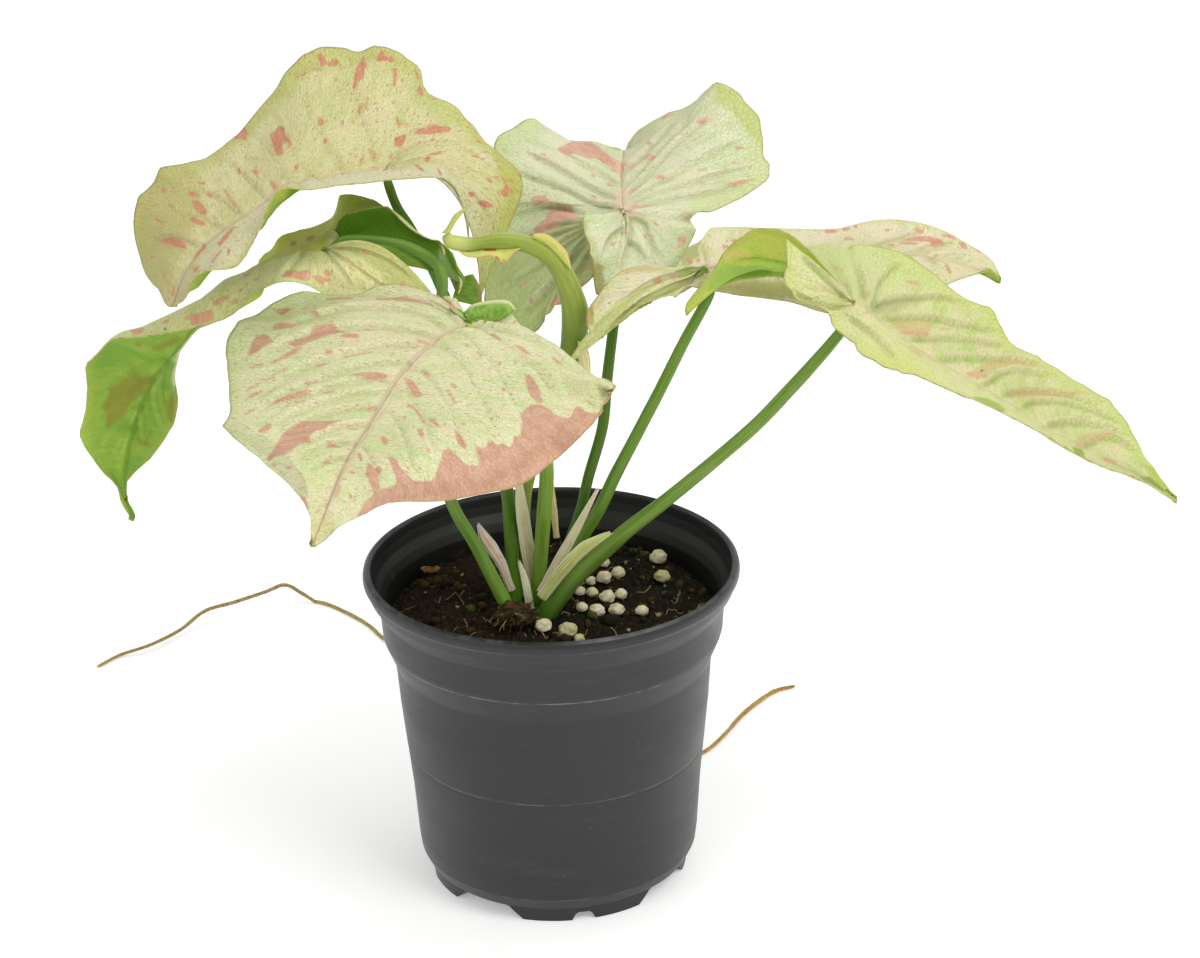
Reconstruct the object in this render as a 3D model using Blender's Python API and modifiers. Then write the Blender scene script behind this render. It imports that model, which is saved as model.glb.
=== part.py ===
"""Potted syngonium: seven leaves on long petioles, papery sheaths, peat, pale granules and two wiry
roots, in a round ribbed nursery pot. Metres, +Z up, origin at the centre of the pot's base."""

import math

import bmesh
import bpy
import numpy as np
from mathutils import Vector, noise

MM = 0.001

# ---------------------------------------------------------------- driving dimensions (mm)
POT_H = 108.2
RIM_R = 60.4
WALL = 1.4
SOIL_Z = 92.0
SOIL_GAP = 0.3
LEAF_T = 0.9
LEAF_ROWS, FAN_ROWS, LEAF_COLUMNS = 20, 11, 5
FOOT_H = 4.6
CENTRE_R = 18.0

# The front frame: outlines are stated as (U right, V down, depth y away from the front, mm).
FRAME_EL = math.radians(23.34)
FRAME_ROLL = math.radians(-1.23)
FRAME_D = 1000.0
FRAME_F = 3160.4
FRAME_TARGET = np.array([16.2, 0.0, 136.2])
FRAME_U0, FRAME_V0 = 600.0, 479.0

for old in list(bpy.data.objects):
    bpy.data.objects.remove(old, do_unlink=True)

PLANT = bpy.data.collections.new("potted_syngonium")
bpy.context.scene.collection.children.link(PLANT)
CUTTERS = bpy.data.collections.new("cutters")
CUTTERS.hide_render = True
bpy.context.scene.collection.children.link(CUTTERS)


# ---------------------------------------------------------------- frame to world
FORWARD = np.array([0.0, math.cos(FRAME_EL), -math.sin(FRAME_EL)])
EYE = FRAME_TARGET - FRAME_D * FORWARD
SIDE0 = np.array([1.0, 0.0, 0.0])
UP0 = np.cross(SIDE0, FORWARD)
SIDE = math.cos(FRAME_ROLL) * SIDE0 + math.sin(FRAME_ROLL) * UP0
UP = np.cross(SIDE, FORWARD)


def sight(u, v):
    return FORWARD + (u - FRAME_U0) / FRAME_F * SIDE - (v - FRAME_V0) / FRAME_F * UP


def at(u, v, y):
    d = sight(u, v)
    return EYE + (y - EYE[1]) / d[1] * d


def at_height(u, v, z):
    d = sight(u, v)
    return EYE + (z - EYE[2]) / d[2] * d


# ---------------------------------------------------------------- curves and helpers
def smooth(points, t):
    """Centripetal-like cubic through the points; t runs 0..len-1."""
    points = np.asarray(points, float)
    n = len(points)
    t = min(max(t, 0.0), n - 1.0)
    i = min(int(t), n - 2)
    f = t - i
    p1, p2 = points[i], points[i + 1]
    p0 = points[i - 1] if i > 0 else 2 * p1 - p2
    p3 = points[i + 2] if i + 2 < n else 2 * p2 - p1
    return 0.5 * (
        2 * p1
        + (p2 - p0) * f
        + (2 * p0 - 5 * p1 + 4 * p2 - p3) * f * f
        + (3 * p1 - p0 - 3 * p2 + p3) * f ** 3
    )


def along(points, steps):
    """The smooth curve through the points, resampled to even length."""
    fine = np.array([smooth(points, t) for t in np.linspace(0, len(points) - 1, 40 * (len(points) - 1) + 1)])
    run = np.concatenate([[0], np.cumsum(np.linalg.norm(np.diff(fine[:, :3], axis=0), axis=1))])
    want = np.linspace(0, run[-1], steps)
    return np.array([[np.interp(w, run, fine[:, k]) for k in range(fine.shape[1])] for w in want])


def paint(obj, name, colour, rough, metal=0.0):
    mat = bpy.data.materials.get(name) or bpy.data.materials.new(name)
    mat.use_nodes = True
    bsdf = mat.node_tree.nodes["Principled BSDF"]
    bsdf.inputs["Base Color"].default_value = (*colour, 1.0)
    bsdf.inputs["Roughness"].default_value = rough
    bsdf.inputs["Metallic"].default_value = metal
    mat.diffuse_color = (*colour, 1.0)
    obj.data.materials.append(mat)


def new_object(name, data):
    obj = bpy.data.objects.new(name, data)
    PLANT.objects.link(obj)
    return obj


def from_faces(name, verts, faces):
    mesh = bpy.data.meshes.new(name)
    mesh.from_pydata([Vector(v) * MM for v in verts], [], faces)
    mesh.update()
    return new_object(name, mesh)


def tube(name, points, radii, steps, colour, rough=0.5, squash=None):
    """Round stalk through the points with a radius at each."""
    table = np.hstack([np.asarray(points, float), np.asarray(radii, float)[:, None]])
    line = along(table, steps)
    line[:, 2] = np.maximum(line[:, 2], line[:, 3] + 0.05)
    data = bpy.data.curves.new(name, "CURVE")
    data.dimensions = "3D"
    data.bevel_depth = MM
    data.bevel_resolution = 2
    data.use_fill_caps = True
    spline = data.splines.new("POLY")
    spline.points.add(len(line) - 1)
    for point, (x, y, z, r) in zip(spline.points, line):
        point.co = (x * MM, y * MM, z * MM, 1.0)
        point.radius = r
    obj = new_object(name, data)
    paint(obj, name, colour, rough)
    return obj


def finish_soft(obj, thickness, offset=-1.0):
    skin = obj.modifiers.new("skin", "SOLIDIFY")
    skin.thickness = thickness * MM
    skin.offset = offset
    for polygon in obj.data.polygons:
        polygon.use_smooth = True


# ---------------------------------------------------------------- pot
OUTER = [
    (58.9, 108.2), (60.0, 107.5), (60.4, 106.0), (60.3, 104.6), (59.6, 103.6), (58.5, 100.6), (56.7, 98.0),
    (55.6, 96.0), (55.2, 92.0), (54.75, 86.0), (54.3, 84.4), (51.5, 77.6), (51.1, 76.4), (50.1, 62.0),
    (48.6, 46.4), (48.35, 45.6), (48.4, 44.8), (47.15, 32.0), (45.95, 14.0), (45.4, 9.4), (43.5, 5.4), (42.4, 4.9),
    (42.2, 0.0),
]
UNDER = [(36.0, 0.0), (35.4, 5.0), (CENTRE_R + 0.6, 5.0), (CENTRE_R, 0.0), (0.0, 0.0)]
INNER = [
    (0.0, 6.6), (41.8, 6.6), (44.4, 14.5), (45.7, 32.0), (47.1, 45.6), (48.7, 62.0), (49.8, 76.8), (52.6, 84.6),
    (53.4, 88.0), (53.9, 95.6), (55.0, 98.6), (56.6, 101.4), (57.4, 104.6), (57.8, 107.4),
]


def make_pot():
    mesh = bpy.data.meshes.new("pot")
    profile = OUTER + UNDER + INNER
    mesh.from_pydata(
        [(r * MM, 0, z * MM) for r, z in profile],
        [(i, i + 1) for i in range(len(profile) - 1)],
        [],
    )
    # the rim closes from the inner lip back to the crest, the foot of the profile ends on the axis
    mesh.update()
    bm = bmesh.new()
    bm.from_mesh(mesh)
    bm.verts.ensure_lookup_table()
    axis_out = len(OUTER) + len(UNDER) - 1
    for edge in list(bm.edges):
        ends = {v.index for v in edge.verts}
        if ends == {axis_out, axis_out + 1}:
            bm.edges.remove(edge)
    bm.edges.new((bm.verts[len(profile) - 1], bm.verts[0]))
    bm.to_mesh(mesh)
    bm.free()
    obj = new_object("pot", mesh)
    screw = obj.modifiers.new("turn", "SCREW")
    screw.axis = "Z"
    screw.angle = 2 * math.pi
    screw.steps = screw.render_steps = 48
    screw.use_merge_vertices = True
    screw.merge_threshold = 0.0001
    screw.use_normal_calculate = True
    # four openings between the feet
    for k in range(4):
        for half_low, half_high, low, high, turn in (
            (11.5, 20.0, -1.0, FOOT_H, 56.0),
            (3.2, 6.0, -1.0, 3.0, 11.0),
        ):
            middle = math.radians(turn + 90 * k)
            verts = []
            for z, half in ((low, half_high), (high, half_low)):
                for r in (34.0, 44.6):
                    for s in (-1, 1):
                        a = middle + s * math.radians(half)
                        verts.append((r * math.sin(a), -r * math.cos(a), z))
            mesh = bpy.data.meshes.new("foot_gap")
            # low inner -,+ ; low outer -,+ ; high inner -,+ ; high outer -,+
            faces = [(0, 1, 3, 2), (4, 6, 7, 5), (0, 4, 5, 1), (2, 3, 7, 6), (0, 2, 6, 4), (1, 5, 7, 3)]
            mesh.from_pydata([Vector(v) * MM for v in verts], [], faces)
            bm = bmesh.new()
            bm.from_mesh(mesh)
            bmesh.ops.recalc_face_normals(bm, faces=bm.faces)
            bm.to_mesh(mesh)
            bm.free()
            cutter = bpy.data.objects.new(f"foot_gap_{k}_{int(turn)}", mesh)
            cutter.display_type = "WIRE"
            cutter.hide_render = True
            CUTTERS.objects.link(cutter)
            cut = obj.modifiers.new("gap", "BOOLEAN")
            cut.operation = "DIFFERENCE"
            cut.solver = "EXACT"
            cut.object = cutter
    paint(obj, "pot", (0.045, 0.045, 0.052), 0.48)
    obj.data.shade_smooth() if hasattr(obj.data, "shade_smooth") else None
    return obj


# ---------------------------------------------------------------- soil
def soil_z(x, y):
    """Height of the peat: higher at the back, lumpy, level with the wall line at the edge."""
    r = math.hypot(x, y)
    lumps = 1.5 * noise.noise(Vector((x * 0.11, y * 0.11, 3.1))) + 0.8 * noise.noise(Vector((x * 0.27, y * 0.27, 7.7)))
    return SOIL_Z + 0.035 * y + lumps * min(1.0, (56.0 - r) / 14.0) - 3.2 * (r / 52.0) ** 7


def inner_radius(z):
    rs, zs = zip(*INNER)
    return float(np.interp(z, zs[1:], rs[1:]))


def make_soil():
    rings = [7.0, 14.0, 21.0, 28.0, 35.0, 42.0, 48.0, 52.4]
    top = [(0.0, SOIL_Z)] + [(r, SOIL_Z) for r in rings]
    side = [(inner_radius(z) - SOIL_GAP - 0.25, z) for z in (84.0, 76.0, 45.6, 14.6)]
    profile = top + side + [(41.0, 7.0), (0.0, 7.0)]
    mesh = bpy.data.meshes.new("soil")
    mesh.from_pydata([(r * MM, 0, z * MM) for r, z in profile], [(i, i + 1) for i in range(len(profile) - 1)], [])
    obj = new_object("soil_turned", mesh)
    screw = obj.modifiers.new("turn", "SCREW")
    screw.axis = "Z"
    screw.angle = 2 * math.pi
    screw.steps = screw.render_steps = 40
    screw.use_merge_vertices = True
    screw.merge_threshold = 0.0001
    screw.use_normal_calculate = True
    bpy.context.view_layer.update()
    graph = bpy.context.evaluated_depsgraph_get()
    solid = bpy.data.meshes.new_from_object(obj.evaluated_get(graph))
    bpy.data.objects.remove(obj, do_unlink=True)
    bm = bmesh.new()
    bm.from_mesh(solid)
    bmesh.ops.remove_doubles(bm, verts=bm.verts, dist=1e-6)
    for vert in bm.verts:
        if vert.co.z > (SOIL_Z - 1.0) * MM:
            x, y = vert.co.x / MM, vert.co.y / MM
            vert.co.z = soil_z(x, y) * MM
    bmesh.ops.recalc_face_normals(bm, faces=bm.faces)
    bm.to_mesh(solid)
    bm.free()
    solid.name = "soil"
    soil = new_object("soil", solid)
    paint(soil, "soil", (0.028, 0.018, 0.011), 0.95)
    for polygon in soil.data.polygons:
        polygon.use_smooth = True


def lump(name, centre, size, colour, rough, rough_amount=0.06, seed=0.0, levels=1):
    """Rounded lump standing at its own centre, mm."""
    bm = bmesh.new()
    bmesh.ops.create_icosphere(bm, subdivisions=levels + 1, radius=1.0)
    for vert in bm.verts:
        d = vert.co.normalized()
        k = 1.0 + rough_amount * noise.noise(Vector((d.x * 1.7 + seed, d.y * 1.7, d.z * 1.7)))
        vert.co = Vector((centre[i] + d[i] * size[i] * k for i in range(3))) * MM
    mesh = bpy.data.meshes.new(name)
    bm.to_mesh(mesh)
    bm.free()
    obj = new_object(name, mesh)
    for polygon in mesh.polygons:
        polygon.use_smooth = True
    paint(obj, name, colour, rough)
    return obj


# centre (U, V) and width of each pale granule lying on the peat
GRANULES = [
    (672, 550, 16), (662, 576, 14), (642, 609, 12), (618, 574, 13), (604, 579, 14), (591, 581, 10), (604, 566, 11),
    (621, 595, 12), (607, 597, 14), (592, 593, 11), (581, 592, 11), (582, 607, 11), (597, 608, 14), (617, 608, 14),
    (543, 624, 15), (568, 627, 16), (579, 634, 10),
]


def top_under(x, y, r):
    ring = [(x + r * k * math.cos(a), y + r * k * math.sin(a)) for k in (0.0, 0.5, 1.0) for a in np.linspace(0, 2 * math.pi, 8, endpoint=False)]
    return max(soil_z(*p) for p in ring)


def make_granules():
    placed = []
    for number, (u, v, width) in enumerate(GRANULES, 1):
        r = width * 0.3164 * 0.5
        low = at_height(u, v, SOIL_Z + r)
        x, y = low[0], low[1]
        reach = 49.6 - r
        if math.hypot(x, y) > reach:
            x, y = x * reach / math.hypot(x, y), y * reach / math.hypot(x, y)
        for _ in range(60):
            clash = False
            for (ox, oy, orr) in placed:
                d = math.hypot(x - ox, y - oy)
                if d < r + orr + 0.45:
                    push = (r + orr + 0.5 - d)
                    x += (x - ox) / max(d, 1e-6) * push
                    y += (y - oy) / max(d, 1e-6) * push
                    clash = True
            if not clash:
                break
        placed.append((x, y, r))
        z = top_under(x, y, r) + r + 0.55
        lump(f"granule_{number:02d}", (x, y, z), (r, r * 0.97, r * 0.92), (0.62, 0.60, 0.52), 0.7, 0.08, number * 3.7)


# ---------------------------------------------------------------- leaves
# Each leaf: the midrib from the petiole to the tip, and two halves. A row of a half is
# (share of the midrib length where its vein starts, point half way out, point on the margin).
# Rows that start at 0 fan out round the basal lobe from the petiole.
LEAVES = {}

LEAVES["leaf_upper_left"] = dict(
    midrib=[(385, 170, 8), (345, 173, 4), (307, 180, -2), (281, 188, -8), (262, 204, -14), (240, 219, -20),
            (219, 234, -26), (198, 254, -33), (182, 279, -40), (172, 307, -46)],
    right=[
        (0, (456, 196, 16), (480, 300, 14)), (0, (464, 184, 20), (506, 235, 20)), (0, (458, 166, 26), (521, 195, 28)),
        (0, (450, 152, 30), (513, 162, 37)), (0, (438, 140, 33), (479, 134, 43)), (0, (420, 128, 35), (444, 101, 50)),
        (0.03, (404, 118, 35), (422, 72, 55)), (0.12, (388, 110, 34), (400, 51, 58)), (0.22, (362, 108, 31), (368, 47, 58)),
        (0.33, (330, 110, 28), (332, 46, 56)), (0.42, (300, 122, 23), (298, 58, 52)), (0.50, (276, 142, 18), (272, 97, 45)),
        (0.58, (252, 166, 11), (241, 131, 38)), (0.66, (222, 186, 3), (203, 158, 28)), (0.73, (196, 204, -6), (162, 167, 19)),
        (0.80, (176, 222, -14), (137, 198, 8)), (0.87, (168, 248, -22), (136, 250, -8)), (0.93, (166, 270, -32), (152, 282, -24)),
        (0.97, (168, 292, -40), (163, 301, -36)),
    ],
    left=[
        (0, (446, 178, 8), (469, 238, 4)), (0, (436, 174, 4), (463, 207, 0)), (0, (424, 171, 1), (452, 184, -4)),
        (0, (408, 170, 0), (434, 177, -8)), (0, (392, 172, -1), (402, 178, -10)),
        (0.12, (362, 176, -8), (368, 182, -16)), (0.26, (334, 180, -13), (336, 185, -22)), (0.38, (305, 186, -18), (309, 189, -27)),
        (0.46, (288, 198, -24), (282, 189, -29)), (0.54, (268, 217, -31), (268, 205, -36)), (0.62, (256, 230, -36), (262, 222, -41)),
        (0.70, (240, 234, -36), (250, 246, -46)), (0.79, (222, 250, -42), (235, 266, -52)), (0.86, (208, 270, -48), (204, 271, -54)),
        (0.93, (196, 288, -50), (192, 282, -52)), (0.97, (184, 294, -48), (184, 300, -50)),
    ],
)

LEAVES["leaf_left"] = dict(
    midrib=[(322, 250, -5), (306, 248, -2), (283, 255, 1), (266, 260, 4), (251, 267, 6), (240, 276, 8), (225, 290, 10),
            (205, 312, 12), (189, 331, 14), (171, 355, 16), (153, 378, 17), (139, 408, 18), (131, 431, 18), (126, 456, 18),
            (123, 480, 18), (125, 500, 18), (133, 520, 17)],
    right=[
        (0, (338, 240, 1), (334, 230, -1)), (0, (368, 234, 2), (362, 211, 0)), (0, (402, 240, 2), (388, 207, 0)),
        (0, (424, 254, 2), (421, 234, 1)), (0, (438, 262, 2), (444, 250, 2)), (0, (440, 272, 3), (457, 294, 3)),
        (0, (424, 258, 5), (440, 262, 7)), (0, (392, 236, 6), (402, 226, 10)), (0, (366, 224, 10), (374, 200, 20)),
        (0, (346, 222, 13), (348, 194, 28)),
        (0.03, (330, 228, 15), (336, 205, 32)), (0.07, (312, 238, 14), (312, 226, 30)), (0.11, (294, 244, 15), (291, 231, 29)),
        (0.16, (274, 252, 16), (274, 242, 28)), (0.22, (258, 268, 17), (258, 262, 28)), (0.30, (244, 284, 18), (263, 291, 26)),
        (0.36, (224, 302, 20), (246, 305, 26)), (0.42, (204, 322, 20), (213, 322, 26)), (0.48, (188, 340, 20), (190, 333, 25)),
        (0.54, (172, 360, 21), (178, 356, 26)), (0.61, (163, 382, 21), (173, 382, 28)), (0.68, (160, 404, 22), (176, 406, 28)),
        (0.76, (150, 434, 22), (167, 436, 27)), (0.83, (138, 460, 20), (149, 460, 24)), (0.89, (127, 478, 19), (133, 476, 20)),
        (0.94, (125, 492, 18.5), (127, 492, 19)),
    ],
    left=[
        (0, (375, 244, -15), (431, 292, -12)), (0, (378, 262, -15.2), (415, 326, -11)), (0, (360, 272, -16), (382, 326, -12)),
        (0, (342, 270, -16), (350, 314, -13)),
        (0.03, (325, 266, -14), (327, 297, -13)), (0.08, (305, 264, -13), (303, 284, -18)), (0.13, (286, 266, -12), (283, 283, -20)),
        (0.18, (268, 270, -10), (263, 287, -20)), (0.24, (247, 275, -6), (241, 305, -20)), (0.30, (224, 281, -4), (216, 321, -20)),
        (0.36, (201, 298, -4), (192, 328, -20)), (0.42, (175, 310, -2), (168, 332, -18)), (0.48, (150, 323, 0), (142, 336, -16)),
        (0.53, (134, 333, 4), (113, 337, -10)), (0.60, (120, 354, 9), (88, 362, 0)), (0.68, (112, 388, 12), (87, 389, 7)),
        (0.76, (105, 422, 14), (79, 431, 11)), (0.83, (107, 452, 16), (91, 457, 14)), (0.89, (115, 476, 17), (108, 478, 15)),
        (0.94, (120, 492, 17.5), (118, 492, 17)),
    ],
)

LEAVES["leaf_back"] = dict(
    midrib=[(623, 209, 28), (622, 195, 42), (622, 178, 58), (623, 163, 74), (624, 151, 88), (625, 151, 101), (626, 158, 113)],
    right=[
        (0, (603, 213, 26), (585, 212, 22)), (0, (602, 224, 22), (582, 229, 16)), (0, (608, 238, 19), (592, 256, 10)),
        (0, (617, 248, 18), (604, 280, 8)), (0, (628, 252, 18), (628, 292, 10)), (0, (645, 250, 20), (660, 288, 18)),
        (0, (655, 240, 24), (681, 268, 26)), (0, (660, 228, 27), (692, 245, 31)), (0, (664, 218, 30), (693, 225, 34)),
        (0.04, (668, 208, 36), (714, 209, 40)), (0.10, (682, 198, 42), (745, 195, 46)), (0.18, (694, 185, 48), (768, 176, 54)),
        (0.28, (696, 168, 54), (764, 148, 62)), (0.38, (692, 150, 61), (757, 113, 70)), (0.48, (678, 138, 68), (727, 85, 78)),
        (0.58, (662, 138, 77), (700, 98, 86)), (0.68, (648, 140, 85), (668, 113, 93)), (0.78, (636, 146, 93), (645, 129, 99)),
        (0.88, (630, 152, 102), (634, 142, 107)),
    ],
    left=[
        (0, (602, 236, 27), (588, 280, 18)), (0, (588, 250, 26), (562, 305, 16)), (0, (566, 258, 27), (535, 330, 16)),
        (0, (550, 252, 30), (501, 326, 20)), (0, (541, 240, 34), (483, 300, 26)), (0, (543, 225, 38), (486, 270, 32)),
        (0, (552, 212, 42), (492, 235, 38)), (0, (560, 200, 44), (500, 200, 45)),
        (0.06, (565, 188, 48), (507, 175, 52)), (0.15, (565, 172, 56), (494, 149, 62)), (0.30, (573, 157, 64), (514, 127, 72)),
        (0.42, (583, 149, 72), (536, 121, 80)), (0.54, (594, 150, 80), (556, 139, 86)), (0.66, (606, 149, 87), (590, 141, 93)),
        (0.80, (616, 151, 96), (608, 144, 101)), (0.90, (622, 154, 104), (618, 150, 108)),
    ],
)

LEAVES["leaf_right"] = dict(
    midrib=[(853, 302, -13), (873, 316, -15), (898, 335, -17), (922, 352, -19), (946, 366, -21), (970, 379, -24),
            (991, 393, -26), (1015, 407, -28), (1039, 423, -31), (1066, 438, -34), (1104, 459, -38), (1142, 477, -42), (1178, 500, -46)],
    left=[
        (0, (822, 264, -6), (789, 233, -3)), (0, (800, 250, -3), (757, 229, -2)), (0, (778, 252, 0), (728, 248, -1)),
        (0, (768, 262, 2), (705, 286, 1)), (0, (766, 268, 5), (686, 316, 3)), (0, (778, 262, 8), (716, 290, 6)),
        (0, (800, 252, 11), (766, 277, 10)), (0, (822, 245, 14), (800, 280, 15)), (0, (842, 246, 15), (832, 270, 19)),
        (0.03, (858, 262, 8), (852, 244, 20)), (0.08, (870, 276, 5), (876, 247, 20)), (0.14, (890, 294, 3), (905, 257, 19)),
        (0.21, (914, 312, 0), (934, 274, 17)), (0.28, (936, 328, -2), (958, 294, 14)), (0.36, (960, 345, -6), (987, 306, 12)),
        (0.43, (980, 357, -9), (1001, 330, 6)), (0.50, (1002, 372, -12), (1022, 348, 4)), (0.58, (1024, 388, -15), (1048, 362, 1)),
        (0.66, (1048, 406, -19), (1076, 381, -4)), (0.74, (1074, 424, -24), (1106, 398, -9)), (0.82, (1098, 440, -30), (1127, 428, -18)),
        (0.90, (1128, 459, -36), (1145, 458, -30)), (0.95, (1150, 478, -41), (1158, 475, -38)),
    ],
    right=[
        (0, (818, 268, -13), (786, 238, -12)), (0, (822, 280, -15), (787, 262, -15)), (0, (824, 292, -16), (785, 281, -18)),
        (0, (830, 300, -17), (800, 299, -20)), (0, (842, 306, -17), (827, 308, -22)), (0, (847, 316, -18), (836, 328, -24)),
        (0.03, (853, 324, -21), (850, 341, -30)), (0.11, (872, 340, -26), (874, 360, -38)), (0.20, (901, 354, -31), (906, 373, -43)),
        (0.30, (932, 368, -35), (940, 382, -47)), (0.40, (960, 384, -38), (967, 396, -50)), (0.50, (986, 397, -40), (993, 403, -52)),
        (0.60, (1012, 412, -41), (1021, 420, -52)), (0.70, (1042, 430, -43), (1052, 435, -52)), (0.80, (1074, 450, -44), (1080, 457, -51)),
        (0.90, (1114, 468, -44), (1118, 471, -49)), (0.95, (1146, 484, -45), (1148, 484, -48)),
    ],
)

LEAVES["leaf_back_right"] = dict(
    midrib=[(705, 268, 10), (733, 264, 20), (762, 261, 29), (795, 258, 37), (830, 256, 43), (865, 254, 48), (900, 254, 51),
            (935, 258, 53), (965, 265, 53), (985, 272, 52), (1000, 280, 50)],
    right=[
        (0, (688, 268, 9), (668, 266, 8)), (0, (662, 273, 4), (616, 273, -6)), (0, (650, 281, 1), (597, 295, -12)),
        (0, (640, 291, -1), (586, 330, -15)), (0, (636, 300, -3), (571, 361, -18)), (0, (648, 301, -1), (604, 339, -12)),
        (0, (670, 292, 4), (641, 310, -5)), (0, (690, 283, 7), (676, 297, 3)),
        (0.03, (704, 279, 10), (694, 286, 6)), (0.10, (724, 279, 14), (720, 291, 9)), (0.19, (752, 280, 20), (752, 296, 13)),
        (0.29, (786, 282, 27), (788, 301, 20)), (0.39, (822, 284, 33), (829, 313, 27)), (0.49, (858, 282, 39), (866, 311, 33)),
        (0.59, (892, 278, 43), (902, 302, 37)), (0.69, (924, 274, 47), (934, 290, 42)), (0.79, (950, 272, 49), (956, 280, 46)),
        (0.88, (974, 271, 51), (976, 273, 49)), (0.94, (988, 272, 51), (990, 268, 50)),
    ],
    left=[
        (0, (690, 264, 12), (676, 262, 13)), (0, (695, 258, 14), (684, 250, 17)), (0, (699, 254, 16), (692, 242, 20)),
        (0, (706, 250, 19), (702, 234, 24)), (0, (714, 248, 22), (716, 227, 28)),
        (0.06, (730, 246, 26), (738, 227, 34)), (0.15, (756, 245, 34), (765, 228, 42)), (0.26, (792, 243, 42), (800, 229, 50)),
        (0.37, (828, 240, 49), (838, 228, 57)), (0.47, (858, 238, 54), (864, 222, 62)), (0.57, (888, 238, 58), (892, 219, 65)),
        (0.67, (918, 240, 60), (922, 223, 66)), (0.76, (944, 246, 60), (948, 233, 65)), (0.85, (968, 254, 58), (973, 247, 62)),
        (0.92, (985, 262, 55), (990, 258, 57)), (0.96, (993, 270, 53), (996, 267, 54)),
    ],
)

LEAVES["leaf_front"] = dict(
    midrib=[(468, 323, -30), (451, 332, -34), (435, 342, -38), (415, 361, -46), (397, 382, -55), (383, 404, -64),
            (371, 423, -72), (355, 447, -82), (344, 466, -90), (336, 484, -97), (326, 510, -106), (313, 545, -116)],
    right=[
        (0, (466, 317, -28), (463, 309, -26)), (0, (455, 308, -25), (440, 294, -20)), (0, (432, 302, -22), (394, 285, -16)),
        (0.02, (405, 304, -23), (345, 292, -18)), (0.08, (368, 312, -27), (290, 294, -20)), (0.15, (338, 326, -34), (245, 316, -27)),
        (0.24, (315, 350, -44), (226, 346, -36)), (0.34, (306, 380, -55), (226, 385, -50)), (0.43, (300, 406, -66), (229, 410, -60)),
        (0.51, (296, 428, -76), (223, 426, -72)), (0.60, (302, 448, -85), (250, 449, -83)), (0.69, (307, 467, -93), (278, 474, -92)),
        (0.78, (310, 484, -99), (296, 489, -98)), (0.86, (311, 503, -105), (303, 504, -104)), (0.93, (314, 524, -111), (309, 524, -111)),
    ],
    left=[
        (0, (470, 316, -27.5), (474, 321, -33)), (0, (479, 306, -24), (488, 322, -32)), (0, (499, 301, -21), (499, 318, -29)),
        (0, (506, 310, -23), (513, 310, -22)),
        (0.03, (494, 324, -29), (527, 329, -26)), (0.08, (500, 332, -33), (548, 341, -32)), (0.15, (506, 347, -40), (580, 363, -44)),
        (0.24, (510, 366, -49), (616, 385, -62)), (0.33, (504, 390, -59), (600, 416, -72)), (0.42, (486, 414, -70), (568, 449, -82)),
        (0.50, (462, 434, -79), (526, 480, -92)), (0.58, (436, 451, -87), (478, 496, -98)), (0.66, (408, 468, -94), (428, 502, -101)),
        (0.74, (380, 484, -99), (388, 506, -104)), (0.82, (358, 502, -104), (362, 516, -107)), (0.90, (336, 519, -109), (340, 527, -111)),
        (0.95, (325, 532, -112), (327, 534, -113)),
    ],
)


def leaf_points(leaf, blade_rows, fan_rows, columns):
    """Vertices and faces of the upper skin of one leaf."""
    rib = np.array([at(*p) for p in leaf["midrib"]])
    fine = np.array([smooth(rib, t) for t in np.linspace(0, len(rib) - 1, 30 * (len(rib) - 1) + 1)])
    run = np.concatenate([[0], np.cumsum(np.linalg.norm(np.diff(fine, axis=0), axis=1))])
    run /= run[-1]

    def rib_at(share):
        return np.array([np.interp(share, run, fine[:, k]) for k in range(3)])

    verts = [rib_at(j / blade_rows) for j in range(blade_rows + 1)]
    faces = []
    for name in ("left", "right"):
        rows = leaf[name]
        shares = [r[0] for r in rows] + [1.0]
        mids = [at(*r[1]) for r in rows] + [rib[-1]]
        edges = [at(*r[2]) for r in rows] + [rib[-1]]
        last_fan = max(i for i, s in enumerate(shares) if s == 0)
        stations = [(last_fan * i / fan_rows, None) for i in range(fan_rows)]
        for j in range(blade_rows):
            w = float(np.interp(j / blade_rows, shares[last_fan:], range(last_fan, len(shares))))
            stations.append((w, j))
        grid = []
        for w, j in stations:
            root = verts[j if j is not None else 0]
            mid, edge = smooth(mids, w), smooth(edges, w)
            line = []
            for c in range(1, columns + 1):
                t = c / columns
                # quadratic through root, half-way point and margin
                p = root * (1 - t) * (1 - 2 * t) + mid * 4 * t * (1 - t) + edge * t * (2 * t - 1)
                line.append(len(verts))
                verts.append(p)
            grid.append(line)
        roots = [0] * fan_rows + list(range(blade_rows))
        for a in range(len(grid) - 1):
            low, high = [roots[a]] + grid[a], [roots[a + 1]] + grid[a + 1]
            for c in range(columns):
                face = [low[c], high[c], high[c + 1], low[c + 1]]
                if face[0] == face[1]:
                    face = face[1:]
                faces.append(face if name == "left" else face[::-1])
        tail = [roots[-1]] + grid[-1]
        for c in range(columns):
            face = [tail[c], blade_rows, tail[c + 1]]
            faces.append(face if name == "left" else face[::-1])
    return verts, faces


LEAF_TINTS = {
    "leaf_upper_left": (0.70, 0.66, 0.36), "leaf_left": (0.62, 0.62, 0.32), "leaf_back": (0.56, 0.66, 0.42),
    "leaf_right": (0.60, 0.64, 0.30), "leaf_back_right": (0.62, 0.66, 0.36), "leaf_front": (0.66, 0.66, 0.42),
}


def make_leaves():
    for name, leaf in LEAVES.items():
        verts, faces = leaf_points(leaf, LEAF_ROWS, FAN_ROWS, LEAF_COLUMNS)
        obj = from_faces(name, verts, [tuple(f) for f in faces])
        finish_soft(obj, LEAF_T)
        paint(obj, name, LEAF_TINTS[name], 0.5)


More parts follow.
